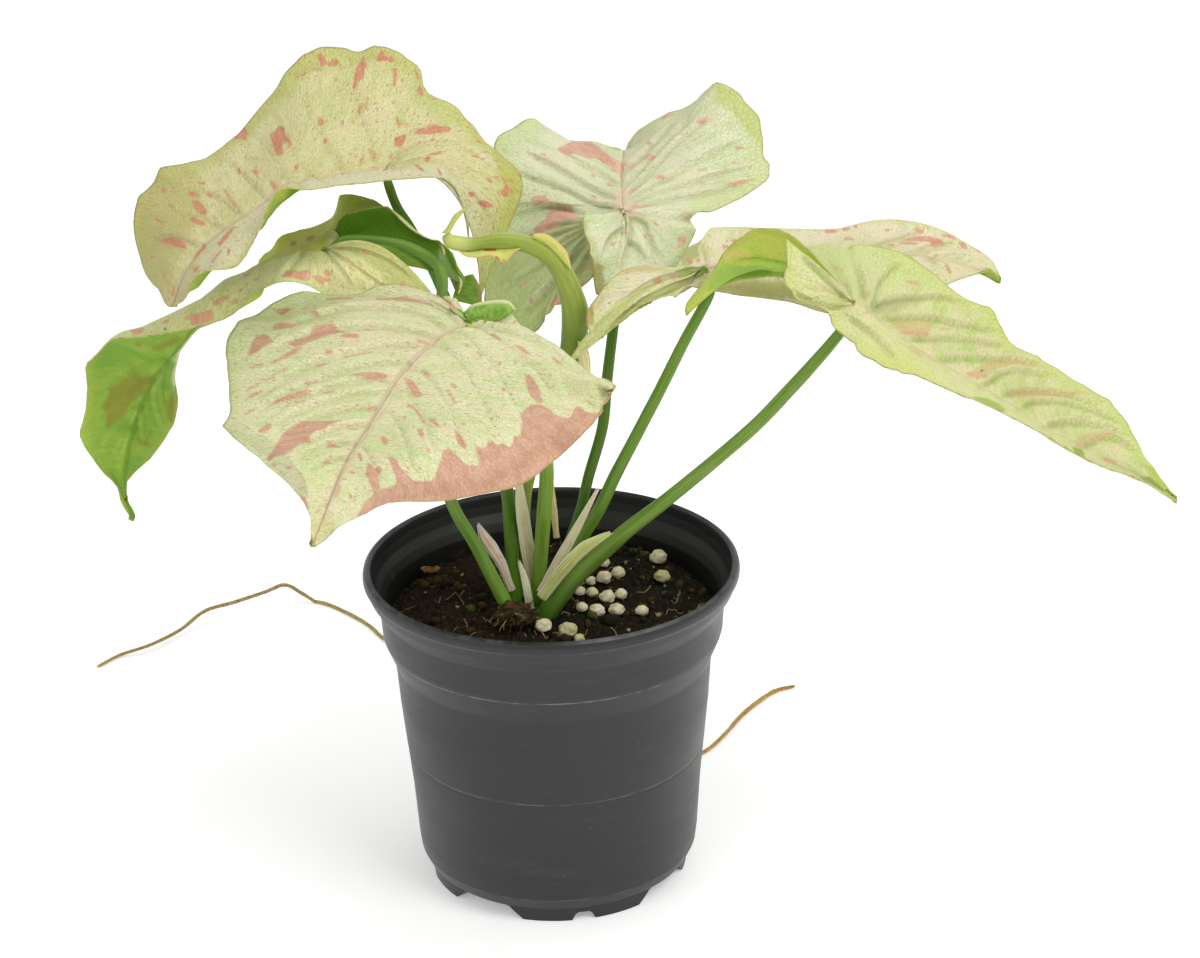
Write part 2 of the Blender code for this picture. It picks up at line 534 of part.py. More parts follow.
# ---------------------------------------------------------------- petioles
STEMS = {
    # name: (points (U, V, y), width in frame units at each, steps)
    "petiole_left": (
        [(504, 600, -8), (491, 575, -6), (475, 544, -4), (451, 501, -3), (437, 440, -4), (431, 380, -5), (436, 330, -6),
         (442, 294, -7), (441, 272, -7.5), (431, 259, -5.5), (404, 245, -5.2), (370, 239, -5.4), (344, 239, -5.6), (333, 246, -6.4)],
        [15, 14, 13, 12.5, 12, 11.5, 11, 11, 11, 10.5, 9.5, 7.5, 6.5, 5], 22),
    "petiole_upper_left": (
        [(515, 601, -2), (511, 538, 4), (507, 490, 7), (492, 420, 12), (468, 350, 15), (445, 297, 17), (432, 268, 17.5),
         (411, 229, 17.5), (397, 207, 15), (388, 183, 11)],
        [14, 14, 13.5, 13, 12, 11, 10.5, 10, 9.5, 8], 16),
    "petiole_front": (
        [(538, 592, -3), (540, 565, -5), (544, 512, -10), (546, 463, -15), (532, 430, -19), (508, 390, -24), (484, 350, -28),
         (472, 331, -30.5)],
        [15, 15, 15, 14.5, 13.5, 12.5, 11, 8], 14),
    "petiole_back": (
        [(560, 575, 9), (568, 548, 10), (581, 509, 11), (588.5, 477, 13), (602.5, 427, 18), (607, 380, 21), (613, 330, 25),
         (618, 290, 28), (621, 250, 30), (622, 219, 29)],
        [12, 12, 11, 11, 11, 11, 10.5, 10, 9.5, 8], 16),
    "petiole_back_right": (
        [(558, 586, 0), (571.5, 552, 0), (583, 535, 0.5), (599, 509.5, 1), (615, 476, 2), (636, 436, 4), (661, 388, 6), (684, 342, 9),
         (709, 295, 13), (709, 278, 15)],
        [15, 14, 13.5, 13, 12.5, 12, 11.5, 11, 10, 7], 16),
    "petiole_right": (
        [(554, 603, -9), (567, 585, -9), (583, 569, -9), (606, 549, -9), (629, 529, -9.5), (659, 506, -10), (689, 482, -10.5),
         (721, 455.5, -11), (757.5, 423.5, -12), (789.5, 390, -13), (812.5, 365, -13), (839, 334, -12), (851, 314, -11.5)],
        [21, 20.5, 19, 17.5, 15.5, 14, 13.5, 13, 13, 12.5, 12, 10.5, 7], 18),
    "young_leaf_stalk": (
        [(526, 596, 6), (524, 560, 5), (524, 520, 3), (528, 480, 0), (545, 430, -1), (562, 385, -2), (572, 350, -2), (575, 317, -3),
         (571, 294, -4), (564, 276, -5), (553, 260, -6), (537, 248, -7), (517, 242, -8), (497, 241, -9), (470, 244, -10),
         (452, 242, -11), (446, 235, -11)],
        [12, 12, 12, 13, 14, 18, 23, 27, 26, 25, 23, 20, 18, 17, 13, 13, 9], 26),
}
STEM_TINT = {
    "petiole_left": (0.07, 0.20, 0.05), "petiole_upper_left": (0.06, 0.19, 0.04), "petiole_front": (0.07, 0.21, 0.05),
    "petiole_back": (0.04, 0.12, 0.03), "petiole_back_right": (0.06, 0.18, 0.04), "petiole_right": (0.07, 0.20, 0.05),
    "young_leaf_stalk": (0.34, 0.42, 0.10),
}


def make_stems():
    for name, (points, widths, steps) in STEMS.items():
        world = [at(*p) for p in points]
        foot = world[0]
        direction = (world[0] - world[1]) / np.linalg.norm(world[0] - world[1])
        # the foot stops just above the peat
        need = soil_z(foot[0], foot[1]) + 0.5 + widths[0] * 0.16 * 0.6
        if foot[2] < need or foot[2] > need + 2.0:
            world[0] = world[1] + (world[1][2] - need) / max(1e-6, world[1][2] - foot[2]) * (foot - world[1])
        tube(name, world, [w * 0.3164 / 2 for w in widths], steps, STEM_TINT[name], 0.4)


# ---------------------------------------------------------------- sheaths
SHEATHS = {
    # name: (centre line (U, V, y), width across, mm, colour)
    "sheath_pink": ([(503, 582, -4.5), (501, 560, -3.5), (492, 541, -2.5), (479, 525, -2)], [5.0, 4.6, 4.0, 1.6], (0.62, 0.46, 0.38)),
    "sheath_low": ([(524, 604, -8), (526, 590, -8), (526, 577, -7), (521, 563, -7)], [2.6, 2.8, 2.4, 1.2], (0.62, 0.50, 0.34)),
    "sheath_centre": ([(534, 592, 0), (532, 560, -2.5), (526, 518, -4), (519, 486, -4.5)], [3.4, 4.6, 4.4, 2.2], (0.60, 0.52, 0.34)),
    "sheath_back": ([(556, 530, 6), (555, 512, 6), (553, 496, 6), (552, 477, 6)], [2.0, 3.0, 3.2, 1.2], (0.56, 0.50, 0.28)),
    "sheath_long": ([(551, 577, -7.5), (561, 555, -6.8), (575, 531, -6), (597, 490, -5)], [3.6, 4.2, 3.8, 1.4], (0.60, 0.50, 0.36)),
    "sheath_green": ([(548, 584, -13.5), (561, 568, -14), (583, 547, -14), (607, 531, -13.5)], [4.6, 4.8, 4.4, 1.8], (0.50, 0.56, 0.32)),
    "young_leaf_sheath": ([(586, 376, -7), (585, 366, -7.5), (583, 354, -8.5), (581, 342, -9)], [2.4, 3.2, 3.2, 1.8], (0.60, 0.52, 0.34)),
}


def make_sheaths():
    for name, (line, widths, colour) in SHEATHS.items():
        world = np.array([at(*p) for p in line])
        table = along(np.hstack([world, np.array(widths)[:, None]]), 6)
        verts, faces = [], []
        columns = 4
        for i, row in enumerate(table):
            p, w = row[:3], row[3]
            ahead = table[min(i + 1, len(table) - 1)][:3] - table[max(i - 1, 0)][:3]
            ahead /= np.linalg.norm(ahead)
            side = np.cross(ahead, -FORWARD)
            side /= np.linalg.norm(side)
            front = np.cross(side, ahead)
            for c in range(columns + 1):
                a = (c / columns - 0.5) * 2.0
                verts.append(p + side * w / 2 * math.sin(a) / math.sin(1.0) - front * w / 2 * (1 - math.cos(a)))
        for i in range(len(table) - 1):
            for c in range(columns):
                a = i * (columns + 1) + c
                faces.append((a, a + 1, a + columns + 2, a + columns + 1))
        obj = from_faces(name, verts, faces)
        finish_soft(obj, 0.5, offset=0.0)
        paint(obj, name, colour, 0.6)


# ---------------------------------------------------------------- roots, stub and litter
def make_small_pieces():
    floor = 0.75
    left = [at_height(97, 667, floor), at_height(120, 655, 1.0), at_height(150, 645, 3.0)]
    left += [at(180, 630, 172), at(205, 611, 182), at(235, 602, 190), at(265, 592, 196), at(285, 585, 200), at(303, 594, 200), at(325, 608, 197)]
    left += [at(350, 622, 187), at(370, 633, 176), at_height(385, 639, 1.0)]
    end = left[-1]
    left += [np.array([end[0] + 12, end[1] - 16, floor]), np.array([-38.0, 122.0, floor]), np.array([-28.0, 92.0, floor]),
             np.array([-22.0, 62.0, floor]), np.array([-18.0, 50.0, 0.95])]
    tube("root_left", left, [0.55, 0.6, 0.62, 0.65, 0.68, 0.7, 0.7, 0.72, 0.7, 0.7, 0.7, 0.7, 0.72, 0.72, 0.72, 0.72, 0.72, 0.7], 46, (0.36, 0.27, 0.12), 0.6)
    right = [at_height(795, 686, 0.8), at_height(775, 691, 0.85), at_height(755, 704, 0.9), at_height(740, 717, 0.9),
             at_height(725, 734, 0.85), at_height(707, 750, 0.8)]
    end = right[-1]
    right += [np.array([end[0] - 9, end[1] - 8, 0.8]), np.array([31.0, 50.0, 0.85]), np.array([22.0, 46.5, 0.9])]
    tube("root_right", right, [0.55, 0.75, 0.8, 0.75, 0.65, 0.65, 0.7, 0.7, 0.7], 22, (0.42, 0.26, 0.08), 0.6)
    base = at_height(516, 622, SOIL_Z + 2.0)
    lump("crown_stub", (base[0], base[1], top_under(base[0], base[1], 6.0) + 4.3), (6.0, 4.6, 3.4), (0.10, 0.07, 0.04), 0.9, 0.25, 5.0)
    scrap = at_height(424, 564, SOIL_Z + 3.0)
    lump("litter_scrap", (scrap[0] + 2.0, scrap[1], top_under(scrap[0] + 2, scrap[1], 3.4) + 1.6), (3.2, 2.2, 0.9), (0.30, 0.18, 0.09), 0.8, 0.2, 9.0, levels=0)


make_pot()
make_soil()
make_granules()
make_leaves()
make_stems()
make_sheaths()
make_small_pieces()
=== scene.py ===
import math

import bmesh
import bpy
import numpy as np
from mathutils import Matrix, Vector, noise


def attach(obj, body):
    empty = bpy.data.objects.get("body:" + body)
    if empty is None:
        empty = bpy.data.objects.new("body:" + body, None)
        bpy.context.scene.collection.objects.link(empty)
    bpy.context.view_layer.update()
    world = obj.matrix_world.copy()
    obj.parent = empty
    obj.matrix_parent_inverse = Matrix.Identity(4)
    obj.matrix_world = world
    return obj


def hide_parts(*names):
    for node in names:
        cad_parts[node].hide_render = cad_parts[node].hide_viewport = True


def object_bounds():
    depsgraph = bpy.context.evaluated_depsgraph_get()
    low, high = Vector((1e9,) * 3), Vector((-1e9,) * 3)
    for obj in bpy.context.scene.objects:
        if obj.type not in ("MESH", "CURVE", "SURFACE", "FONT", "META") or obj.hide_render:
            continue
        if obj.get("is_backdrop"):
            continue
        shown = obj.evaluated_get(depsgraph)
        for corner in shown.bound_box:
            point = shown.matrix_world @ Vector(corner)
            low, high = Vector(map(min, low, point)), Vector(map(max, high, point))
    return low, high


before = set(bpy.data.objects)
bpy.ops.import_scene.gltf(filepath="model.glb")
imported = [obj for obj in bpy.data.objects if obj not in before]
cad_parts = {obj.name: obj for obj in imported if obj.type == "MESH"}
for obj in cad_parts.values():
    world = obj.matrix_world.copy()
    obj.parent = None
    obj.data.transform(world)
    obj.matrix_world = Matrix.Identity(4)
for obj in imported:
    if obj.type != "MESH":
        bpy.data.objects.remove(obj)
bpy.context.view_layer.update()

MM = 0.001
RNG = np.random.RandomState(12)

# ---------------------------------------------------------------- the front frame, as in the solids
FRAME_EL = math.radians(23.34)
FRAME_ROLL = math.radians(-1.23)
FRAME_D = 1000.0
FRAME_F = 3160.4
FRAME_TARGET = np.array([16.2, 0.0, 136.2])
FRAME_U0, FRAME_V0 = 600.0, 479.0
FORWARD = np.array([0.0, math.cos(FRAME_EL), -math.sin(FRAME_EL)])
EYE = FRAME_TARGET - FRAME_D * FORWARD
SIDE0 = np.array([1.0, 0.0, 0.0])
UP0 = np.cross(SIDE0, FORWARD)
SIDE = math.cos(FRAME_ROLL) * SIDE0 + math.sin(FRAME_ROLL) * UP0
UP = np.cross(SIDE, FORWARD)


def sight(u, v):
    return FORWARD + (u - FRAME_U0) / FRAME_F * SIDE - (v - FRAME_V0) / FRAME_F * UP


def at(u, v, y):
    d = sight(u, v)
    return EYE + (y - EYE[1]) / d[1] * d


def at_height(u, v, z):
    d = sight(u, v)
    return EYE + (z - EYE[2]) / d[2] * d


def to_frame(points):
    """Where points (mm) stand in the front frame."""
    d = points - EYE
    z = d @ FORWARD
    return np.stack([FRAME_U0 + FRAME_F * (d @ SIDE) / z, FRAME_V0 - FRAME_F * (d @ UP) / z], 1)


# ---------------------------------------------------------------- curves
def smooth_many(points, t):
    """Cubic through the points at each t, 0..len-1."""
    points = np.asarray(points, float)
    n = len(points)
    t = np.clip(np.asarray(t, float), 0, n - 1)
    i = np.minimum(t.astype(int), n - 2)
    f = (t - i)[:, None]
    ext = np.vstack([2 * points[0] - points[1], points, 2 * points[-1] - points[-2]])
    p0, p1, p2, p3 = ext[i], ext[i + 1], ext[i + 2], ext[i + 3]
    return 0.5 * (2 * p1 + (p2 - p0) * f + (2 * p0 - 5 * p1 + 4 * p2 - p3) * f ** 2 + (3 * p1 - p0 - 3 * p2 + p3) * f ** 3)


def along(points, steps):
    points = np.asarray(points, float)
    fine = smooth_many(points, np.linspace(0, len(points) - 1, 60 * (len(points) - 1) + 1))
    run = np.concatenate([[0], np.cumsum(np.linalg.norm(np.diff(fine[:, :3], axis=0), axis=1))])
    want = np.linspace(0, run[-1], steps)
    return np.stack([np.interp(want, run, fine[:, k]) for k in range(fine.shape[1])], 1)


def ease(low, high, x):
    t = np.clip((np.asarray(x, float) - low) / (high - low), 0, 1)
    return t * t * (3 - 2 * t)


def noise_at(points, scale, seed=0.0):
    return np.array([noise.noise(Vector((p[0] * scale + seed, p[1] * scale - seed, p[2] * scale + 2 * seed))) for p in points])


# ---------------------------------------------------------------- meshes
def make_mesh(name, verts, faces, mats, body="root", replaces=(), uv=None, values=None, face_mats=None, smooth=True):
    """verts in mm, faces as an (n, 4) or (n, 3) array or list; uv is per vertex; values are named per-vertex numbers."""
    mesh = bpy.data.meshes.new(name)
    verts = np.asarray(verts, float) * MM
    if isinstance(faces, list):
        mesh.from_pydata(verts.tolist(), [], faces)
    else:
        n = len(faces)
        k = faces.shape[1]
        mesh.vertices.add(len(verts))
        mesh.vertices.foreach_set("co", verts.astype(np.float32).ravel())
        mesh.loops.add(n * k)
        mesh.loops.foreach_set("vertex_index", faces.astype(np.int32).ravel())
        mesh.polygons.add(n)
        mesh.polygons.foreach_set("loop_start", np.arange(0, n * k, k, dtype=np.int32))
        mesh.polygons.foreach_set("loop_total", np.full(n, k, np.int32))
        mesh.update(calc_edges=True)
        mesh.validate()
    if uv is not None:
        layer = mesh.uv_layers.new(name="UVMap")
        index = np.zeros(len(mesh.loops), np.int32)
        mesh.loops.foreach_get("vertex_index", index)
        layer.data.foreach_set("uv", np.asarray(uv, np.float32)[index].ravel())
    for key, value in (values or {}).items():
        layer = mesh.attributes.new(key, "FLOAT", "POINT")
        layer.data.foreach_set("value", np.asarray(value, np.float32))
    for mat in mats:
        mesh.materials.append(mat)
    if face_mats is not None:
        mesh.polygons.foreach_set("material_index", np.asarray(face_mats, np.int32))
    mesh.polygons.foreach_set("use_smooth", np.full(len(mesh.polygons), smooth))
    mesh.update()
    obj = bpy.data.objects.new(name, mesh)
    bpy.context.scene.collection.objects.link(obj)
    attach(obj, body)
    if replaces:
        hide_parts(*replaces)
    return obj


def tube_grid(line, radii, around, squash=None, twist=0.0):
    """Rings along the line with a radius at each; returns verts, faces, (share along, share around)."""
    line = np.asarray(line, float)
    n = len(line)
    ahead = np.gradient(line, axis=0)
    ahead /= np.linalg.norm(ahead, axis=1)[:, None]
    side = np.cross(ahead[0], [0.0, 1.0, 0.13])
    side /= np.linalg.norm(side)
    rings = []
    for k in range(n):
        side = side - ahead[k] * (side @ ahead[k])
        side /= np.linalg.norm(side)
        up = np.cross(ahead[k], side)
        a = np.linspace(0, 2 * math.pi, around, endpoint=False) + twist * k / n
        r = radii[k] if np.ndim(radii) == 1 else radii[k][:, None]
        ring = np.cos(a)[:, None] * side + np.sin(a)[:, None] * up
        rings.append(line[k] + ring * r)
    verts = np.concatenate(rings + [line[:1], line[-1:]])
    i, j = np.meshgrid(np.arange(n - 1), np.arange(around), indexing="ij")
    jn = (j + 1) % around
    quads = np.stack([i * around + j, i * around + jn, (i + 1) * around + jn, (i + 1) * around + j], -1).reshape(-1, 4)
    faces = quads.tolist()
    first, last = n * around, n * around + 1
    for j in range(around):
        faces.append([first, (j + 1) % around, j])
        faces.append([last, (n - 1) * around + j, (n - 1) * around + (j + 1) % around])
    share = np.repeat(np.linspace(0, 1, n), around)
    turn = np.tile(np.linspace(0, 1, around, endpoint=False), n)
    length = np.concatenate([[0], np.cumsum(np.linalg.norm(np.diff(line, axis=0), axis=1))])
    mm_along = np.repeat(length, around)
    share = np.concatenate([share, [0, 1]])
    turn = np.concatenate([turn, [0, 0]])
    mm_along = np.concatenate([mm_along, [0, length[-1]]])
    return verts, faces, share, turn, mm_along


# ---------------------------------------------------------------- material helpers
class Nodes:
    """A Principled material put together node by node."""

    def __init__(self, name):
        self.mat = bpy.data.materials.new(name)
        self.mat.use_nodes = True
        self.tree = self.mat.node_tree
        self.shader = self.tree.nodes["Principled BSDF"]

    def new(self, kind, **settings):
        node = self.tree.nodes.new(kind)
        for key, value in settings.items():
            setattr(node, key, value)
        return node

    def link(self, out, into):
        self.tree.links.new(out, into)

    def value(self, node_input, what):
        if isinstance(what, bpy.types.NodeSocket):
            self.link(what, node_input)
        else:
            node_input.default_value = what

    def attr(self, name):
        return self.new("ShaderNodeAttribute", attribute_name=name).outputs["Fac"]

    def coords(self, which="Object", scale=(1, 1, 1)):
        if which == "UV":
            out = self.new("ShaderNodeTexCoord").outputs["UV"]
        else:
            out = self.new("ShaderNodeTexCoord").outputs["Object"]
        mapping = self.new("ShaderNodeMapping")
        self.link(out, mapping.inputs["Vector"])
        mapping.inputs["Scale"].default_value = scale
        return mapping.outputs["Vector"]

    def noise(self, vector, scale, detail=3.0, rough=0.55, distort=0.0):
        node = self.new("ShaderNodeTexNoise")
        self.link(vector, node.inputs["Vector"])
        node.inputs["Scale"].default_value = scale
        node.inputs["Detail"].default_value = detail
        node.inputs["Roughness"].default_value = rough
        node.inputs["Distortion"].default_value = distort
        return node.outputs["Fac"]

    def cells(self, vector, scale, feature="F1", random=1.0):
        node = self.new("ShaderNodeTexVoronoi", feature=feature)
        self.link(vector, node.inputs["Vector"])
        node.inputs["Scale"].default_value = scale
        node.inputs["Randomness"].default_value = random
        return node

    def math(self, operation, a, b=0.0, clamp=False):
        node = self.new("ShaderNodeMath", operation=operation, use_clamp=clamp)
        self.value(node.inputs[0], a)
        self.value(node.inputs[1], b)
        return node.outputs[0]

    def ramp(self, fac, low, high, a=0.0, b=1.0):
        """Smooth step from a at low to b at high."""
        node = self.new("ShaderNodeMapRange", interpolation_type="SMOOTHSTEP")
        self.value(node.inputs["Value"], fac)
        node.inputs["From Min"].default_value = low
        node.inputs["From Max"].default_value = high
        node.inputs["To Min"].default_value = a
        node.inputs["To Max"].default_value = b
        return node.outputs["Result"]

    def mix(self, fac, a, b, blend="MIX"):
        node = self.new("ShaderNodeMix", data_type="RGBA", blend_type=blend)
        self.value(node.inputs[0], fac)
        self.value(node.inputs[6], a if isinstance(a, bpy.types.NodeSocket) else (*a, 1.0))
        self.value(node.inputs[7], b if isinstance(b, bpy.types.NodeSocket) else (*b, 1.0))
        return node.outputs[2]

    def bump(self, height, distance, strength=1.0, under=None):
        node = self.new("ShaderNodeBump")
        node.inputs["Strength"].default_value = strength
        node.inputs["Distance"].default_value = distance
        self.link(height, node.inputs["Height"])
        if under is not None:
            self.link(under, node.inputs["Normal"])
        return node.outputs["Normal"]

    def out(self, colour=None, rough=None, normal=None, **fixed):
        if colour is not None:
            self.value(self.shader.inputs["Base Color"], colour if isinstance(colour, bpy.types.NodeSocket) else (*colour, 1.0))
        if rough is not None:
            self.value(self.shader.inputs["Roughness"], rough)
        if normal is not None:
            self.link(normal, self.shader.inputs["Normal"])
        for key, value in fixed.items():
            self.shader.inputs[key.replace("_", " ")].default_value = value
        return self.mat


def srgb(r, g, b):
    """A base colour that shows as this tone in the studio light."""
    def line(c):
        c /= 255.0
        c = c / 12.92 if c <= 0.04045 else ((c + 0.055) / 1.055) ** 2.4
        return max(0.0015, (c - 0.014) / 1.12)
    return (line(r), line(g), line(b))

# ---------------------------------------------------------------- tables, as in the solids (mm and frame units)
SOIL_Z = 92.0
FOOT_H = 4.6
CENTRE_R = 18.0
OUTER = [
    (58.9, 108.2), (60.0, 107.5), (60.4, 106.0), (60.3, 104.6), (59.6, 103.6), (58.5, 100.6), (56.7, 98.0),
    (55.6, 96.0), (55.2, 92.0), (54.75, 86.0), (54.3, 84.4), (51.5, 77.6), (51.1, 76.4), (50.1, 62.0),
    (48.6, 46.4), (48.35, 45.6), (48.4, 44.8), (47.15, 32.0), (45.95, 14.0), (45.4, 9.4), (43.5, 5.4), (42.4, 4.9),
    (42.2, 0.0),
]
UNDER = [(36.0, 0.0), (35.4, 5.0), (CENTRE_R + 0.6, 5.0), (CENTRE_R, 0.0), (0.0, 0.0)]
INNER = [
    (0.0, 6.6), (41.8, 6.6), (44.4, 14.5), (45.7, 32.0), (47.1, 45.6), (48.7, 62.0), (49.8, 76.8), (52.6, 84.6),
    (53.4, 88.0), (53.9, 95.6), (55.0, 98.6), (56.6, 101.4), (57.4, 104.6), (57.8, 107.4),
]

# centre (U, V) and width of each pale granule lying on the peat
GRANULES = [
    (672, 550, 16), (662, 576, 14), (642, 609, 12), (618, 574, 13), (604, 579, 14), (591, 581, 10), (604, 566, 11),
    (621, 595, 12), (607, 597, 14), (592, 593, 11), (581, 592, 11), (582, 607, 11), (597, 608, 14), (617, 608, 14),
    (543, 624, 15), (568, 627, 16), (579, 634, 10),
]

# Each leaf: the midrib from the petiole to the tip, and two halves. A row of a half is
# (share of the midrib length where its vein starts, point half way out, point on the margin).
# Rows that start at 0 fan out round the basal lobe from the petiole.
LEAVES = {}

LEAVES["leaf_upper_left"] = dict(
    midrib=[(385, 170, 8), (345, 173, 4), (307, 180, -2), (281, 188, -8), (262, 204, -14), (240, 219, -20),
            (219, 234, -26), (198, 254, -33), (182, 279, -40), (172, 307, -46)],
    right=[
        (0, (456, 196, 16), (480, 300, 14)), (0, (464, 184, 20), (506, 235, 20)), (0, (458, 166, 26), (521, 195, 28)),
        (0, (450, 152, 30), (513, 162, 37)), (0, (438, 140, 33), (479, 134, 43)), (0, (420, 128, 35), (444, 101, 50)),
        (0.03, (404, 118, 35), (422, 72, 55)), (0.12, (388, 110, 34), (400, 51, 58)), (0.22, (362, 108, 31), (368, 47, 58)),
        (0.33, (330, 110, 28), (332, 46, 56)), (0.42, (300, 122, 23), (298, 58, 52)), (0.50, (276, 142, 18), (272, 97, 45)),
        (0.58, (252, 166, 11), (241, 131, 38)), (0.66, (222, 186, 3), (203, 158, 28)), (0.73, (196, 204, -6), (162, 167, 19)),
        (0.80, (176, 222, -14), (137, 198, 8)), (0.87, (168, 248, -22), (136, 250, -8)), (0.93, (166, 270, -32), (152, 282, -24)),
        (0.97, (168, 292, -40), (163, 301, -36)),
    ],
    left=[
        (0, (446, 178, 8), (469, 238, 4)), (0, (436, 174, 4), (463, 207, 0)), (0, (424, 171, 1), (452, 184, -4)),
        (0, (408, 170, 0), (434, 177, -8)), (0, (392, 172, -1), (402, 178, -10)),
        (0.12, (362, 176, -8), (368, 182, -16)), (0.26, (334, 180, -13), (336, 185, -22)), (0.38, (305, 186, -18), (309, 189, -27)),
        (0.46, (288, 198, -24), (282, 189, -29)), (0.54, (268, 217, -31), (268, 205, -36)), (0.62, (256, 230, -36), (262, 222, -41)),
        (0.70, (240, 234, -36), (250, 246, -46)), (0.79, (222, 250, -42), (235, 266, -52)), (0.86, (208, 270, -48), (204, 271, -54)),
        (0.93, (196, 288, -50), (192, 282, -52)), (0.97, (184, 294, -48), (184, 300, -50)),
    ],
)

LEAVES["leaf_left"] = dict(
    midrib=[(322, 250, -5), (306, 248, -2), (283, 255, 1), (266, 260, 4), (251, 267, 6), (240, 276, 8), (225, 290, 10),
            (205, 312, 12), (189, 331, 14), (171, 355, 16), (153, 378, 17), (139, 408, 18), (131, 431, 18), (126, 456, 18),
            (123, 480, 18), (125, 500, 18), (133, 520, 17)],
    right=[
        (0, (338, 240, 1), (334, 230, -1)), (0, (368, 234, 2), (362, 211, 0)), (0, (402, 240, 2), (388, 207, 0)),
        (0, (424, 254, 2), (421, 234, 1)), (0, (438, 262, 2), (444, 250, 2)), (0, (440, 272, 3), (457, 294, 3)),
        (0, (424, 258, 5), (440, 262, 7)), (0, (392, 236, 6), (402, 226, 10)), (0, (366, 224, 10), (374, 200, 20)),
        (0, (346, 222, 13), (348, 194, 28)),
        (0.03, (330, 228, 15), (336, 205, 32)), (0.07, (312, 238, 14), (312, 226, 30)), (0.11, (294, 244, 15), (291, 231, 29)),
        (0.16, (274, 252, 16), (274, 242, 28)), (0.22, (258, 268, 17), (258, 262, 28)), (0.30, (244, 284, 18), (263, 291, 26)),
        (0.36, (224, 302, 20), (246, 305, 26)), (0.42, (204, 322, 20), (213, 322, 26)), (0.48, (188, 340, 20), (190, 333, 25)),
        (0.54, (172, 360, 21), (178, 356, 26)), (0.61, (163, 382, 21), (173, 382, 28)), (0.68, (160, 404, 22), (176, 406, 28)),
        (0.76, (150, 434, 22), (167, 436, 27)), (0.83, (138, 460, 20), (149, 460, 24)), (0.89, (127, 478, 19), (133, 476, 20)),
        (0.94, (125, 492, 18.5), (127, 492, 19)),
    ],
    left=[
        (0, (375, 244, -15), (431, 292, -12)), (0, (378, 262, -15.2), (415, 326, -11)), (0, (360, 272, -16), (382, 326, -12)),
        (0, (342, 270, -16), (350, 314, -13)),
        (0.03, (325, 266, -14), (327, 297, -13)), (0.08, (305, 264, -13), (303, 284, -18)), (0.13, (286, 266, -12), (283, 283, -20)),
        (0.18, (268, 270, -10), (263, 287, -20)), (0.24, (247, 275, -6), (241, 305, -20)), (0.30, (224, 281, -4), (216, 321, -20)),
        (0.36, (201, 298, -4), (192, 328, -20)), (0.42, (175, 310, -2), (168, 332, -18)), (0.48, (150, 323, 0), (142, 336, -16)),
        (0.53, (134, 333, 4), (113, 337, -10)), (0.60, (120, 354, 9), (88, 362, 0)), (0.68, (112, 388, 12), (87, 389, 7)),
        (0.76, (105, 422, 14), (79, 431, 11)), (0.83, (107, 452, 16), (91, 457, 14)), (0.89, (115, 476, 17), (108, 478, 15)),
        (0.94, (120, 492, 17.5), (118, 492, 17)),
    ],
)

LEAVES["leaf_back"] = dict(
    midrib=[(623, 209, 28), (622, 195, 42), (622, 178, 58), (623, 163, 74), (624, 151, 88), (625, 151, 101), (626, 158, 113)],
    right=[
        (0, (603, 213, 26), (585, 212, 22)), (0, (602, 224, 22), (582, 229, 16)), (0, (608, 238, 19), (592, 256, 10)),
        (0, (617, 248, 18), (604, 280, 8)), (0, (628, 252, 18), (628, 292, 10)), (0, (645, 250, 20), (660, 288, 18)),
        (0, (655, 240, 24), (681, 268, 26)), (0, (660, 228, 27), (692, 245, 31)), (0, (664, 218, 30), (693, 225, 34)),
        (0.04, (668, 208, 36), (714, 209, 40)), (0.10, (682, 198, 42), (745, 195, 46)), (0.18, (694, 185, 48), (768, 176, 54)),
        (0.28, (696, 168, 54), (764, 148, 62)), (0.38, (692, 150, 61), (757, 113, 70)), (0.48, (678, 138, 68), (727, 85, 78)),
        (0.58, (662, 138, 77), (700, 98, 86)), (0.68, (648, 140, 85), (668, 113, 93)), (0.78, (636, 146, 93), (645, 129, 99)),
        (0.88, (630, 152, 102), (634, 142, 107)),
    ],
    left=[
        (0, (602, 236, 27), (588, 280, 18)), (0, (588, 250, 26), (562, 305, 16)), (0, (566, 258, 27), (535, 330, 16)),
        (0, (550, 252, 30), (501, 326, 20)), (0, (541, 240, 34), (483, 300, 26)), (0, (543, 225, 38), (486, 270, 32)),
        (0, (552, 212, 42), (492, 235, 38)), (0, (560, 200, 44), (500, 200, 45)),
        (0.06, (565, 188, 48), (507, 175, 52)), (0.15, (565, 172, 56), (494, 149, 62)), (0.30, (573, 157, 64), (514, 127, 72)),
        (0.42, (583, 149, 72), (536, 121, 80)), (0.54, (594, 150, 80), (556, 139, 86)), (0.66, (606, 149, 87), (590, 141, 93)),
        (0.80, (616, 151, 96), (608, 144, 101)), (0.90, (622, 154, 104), (618, 150, 108)),
    ],
)

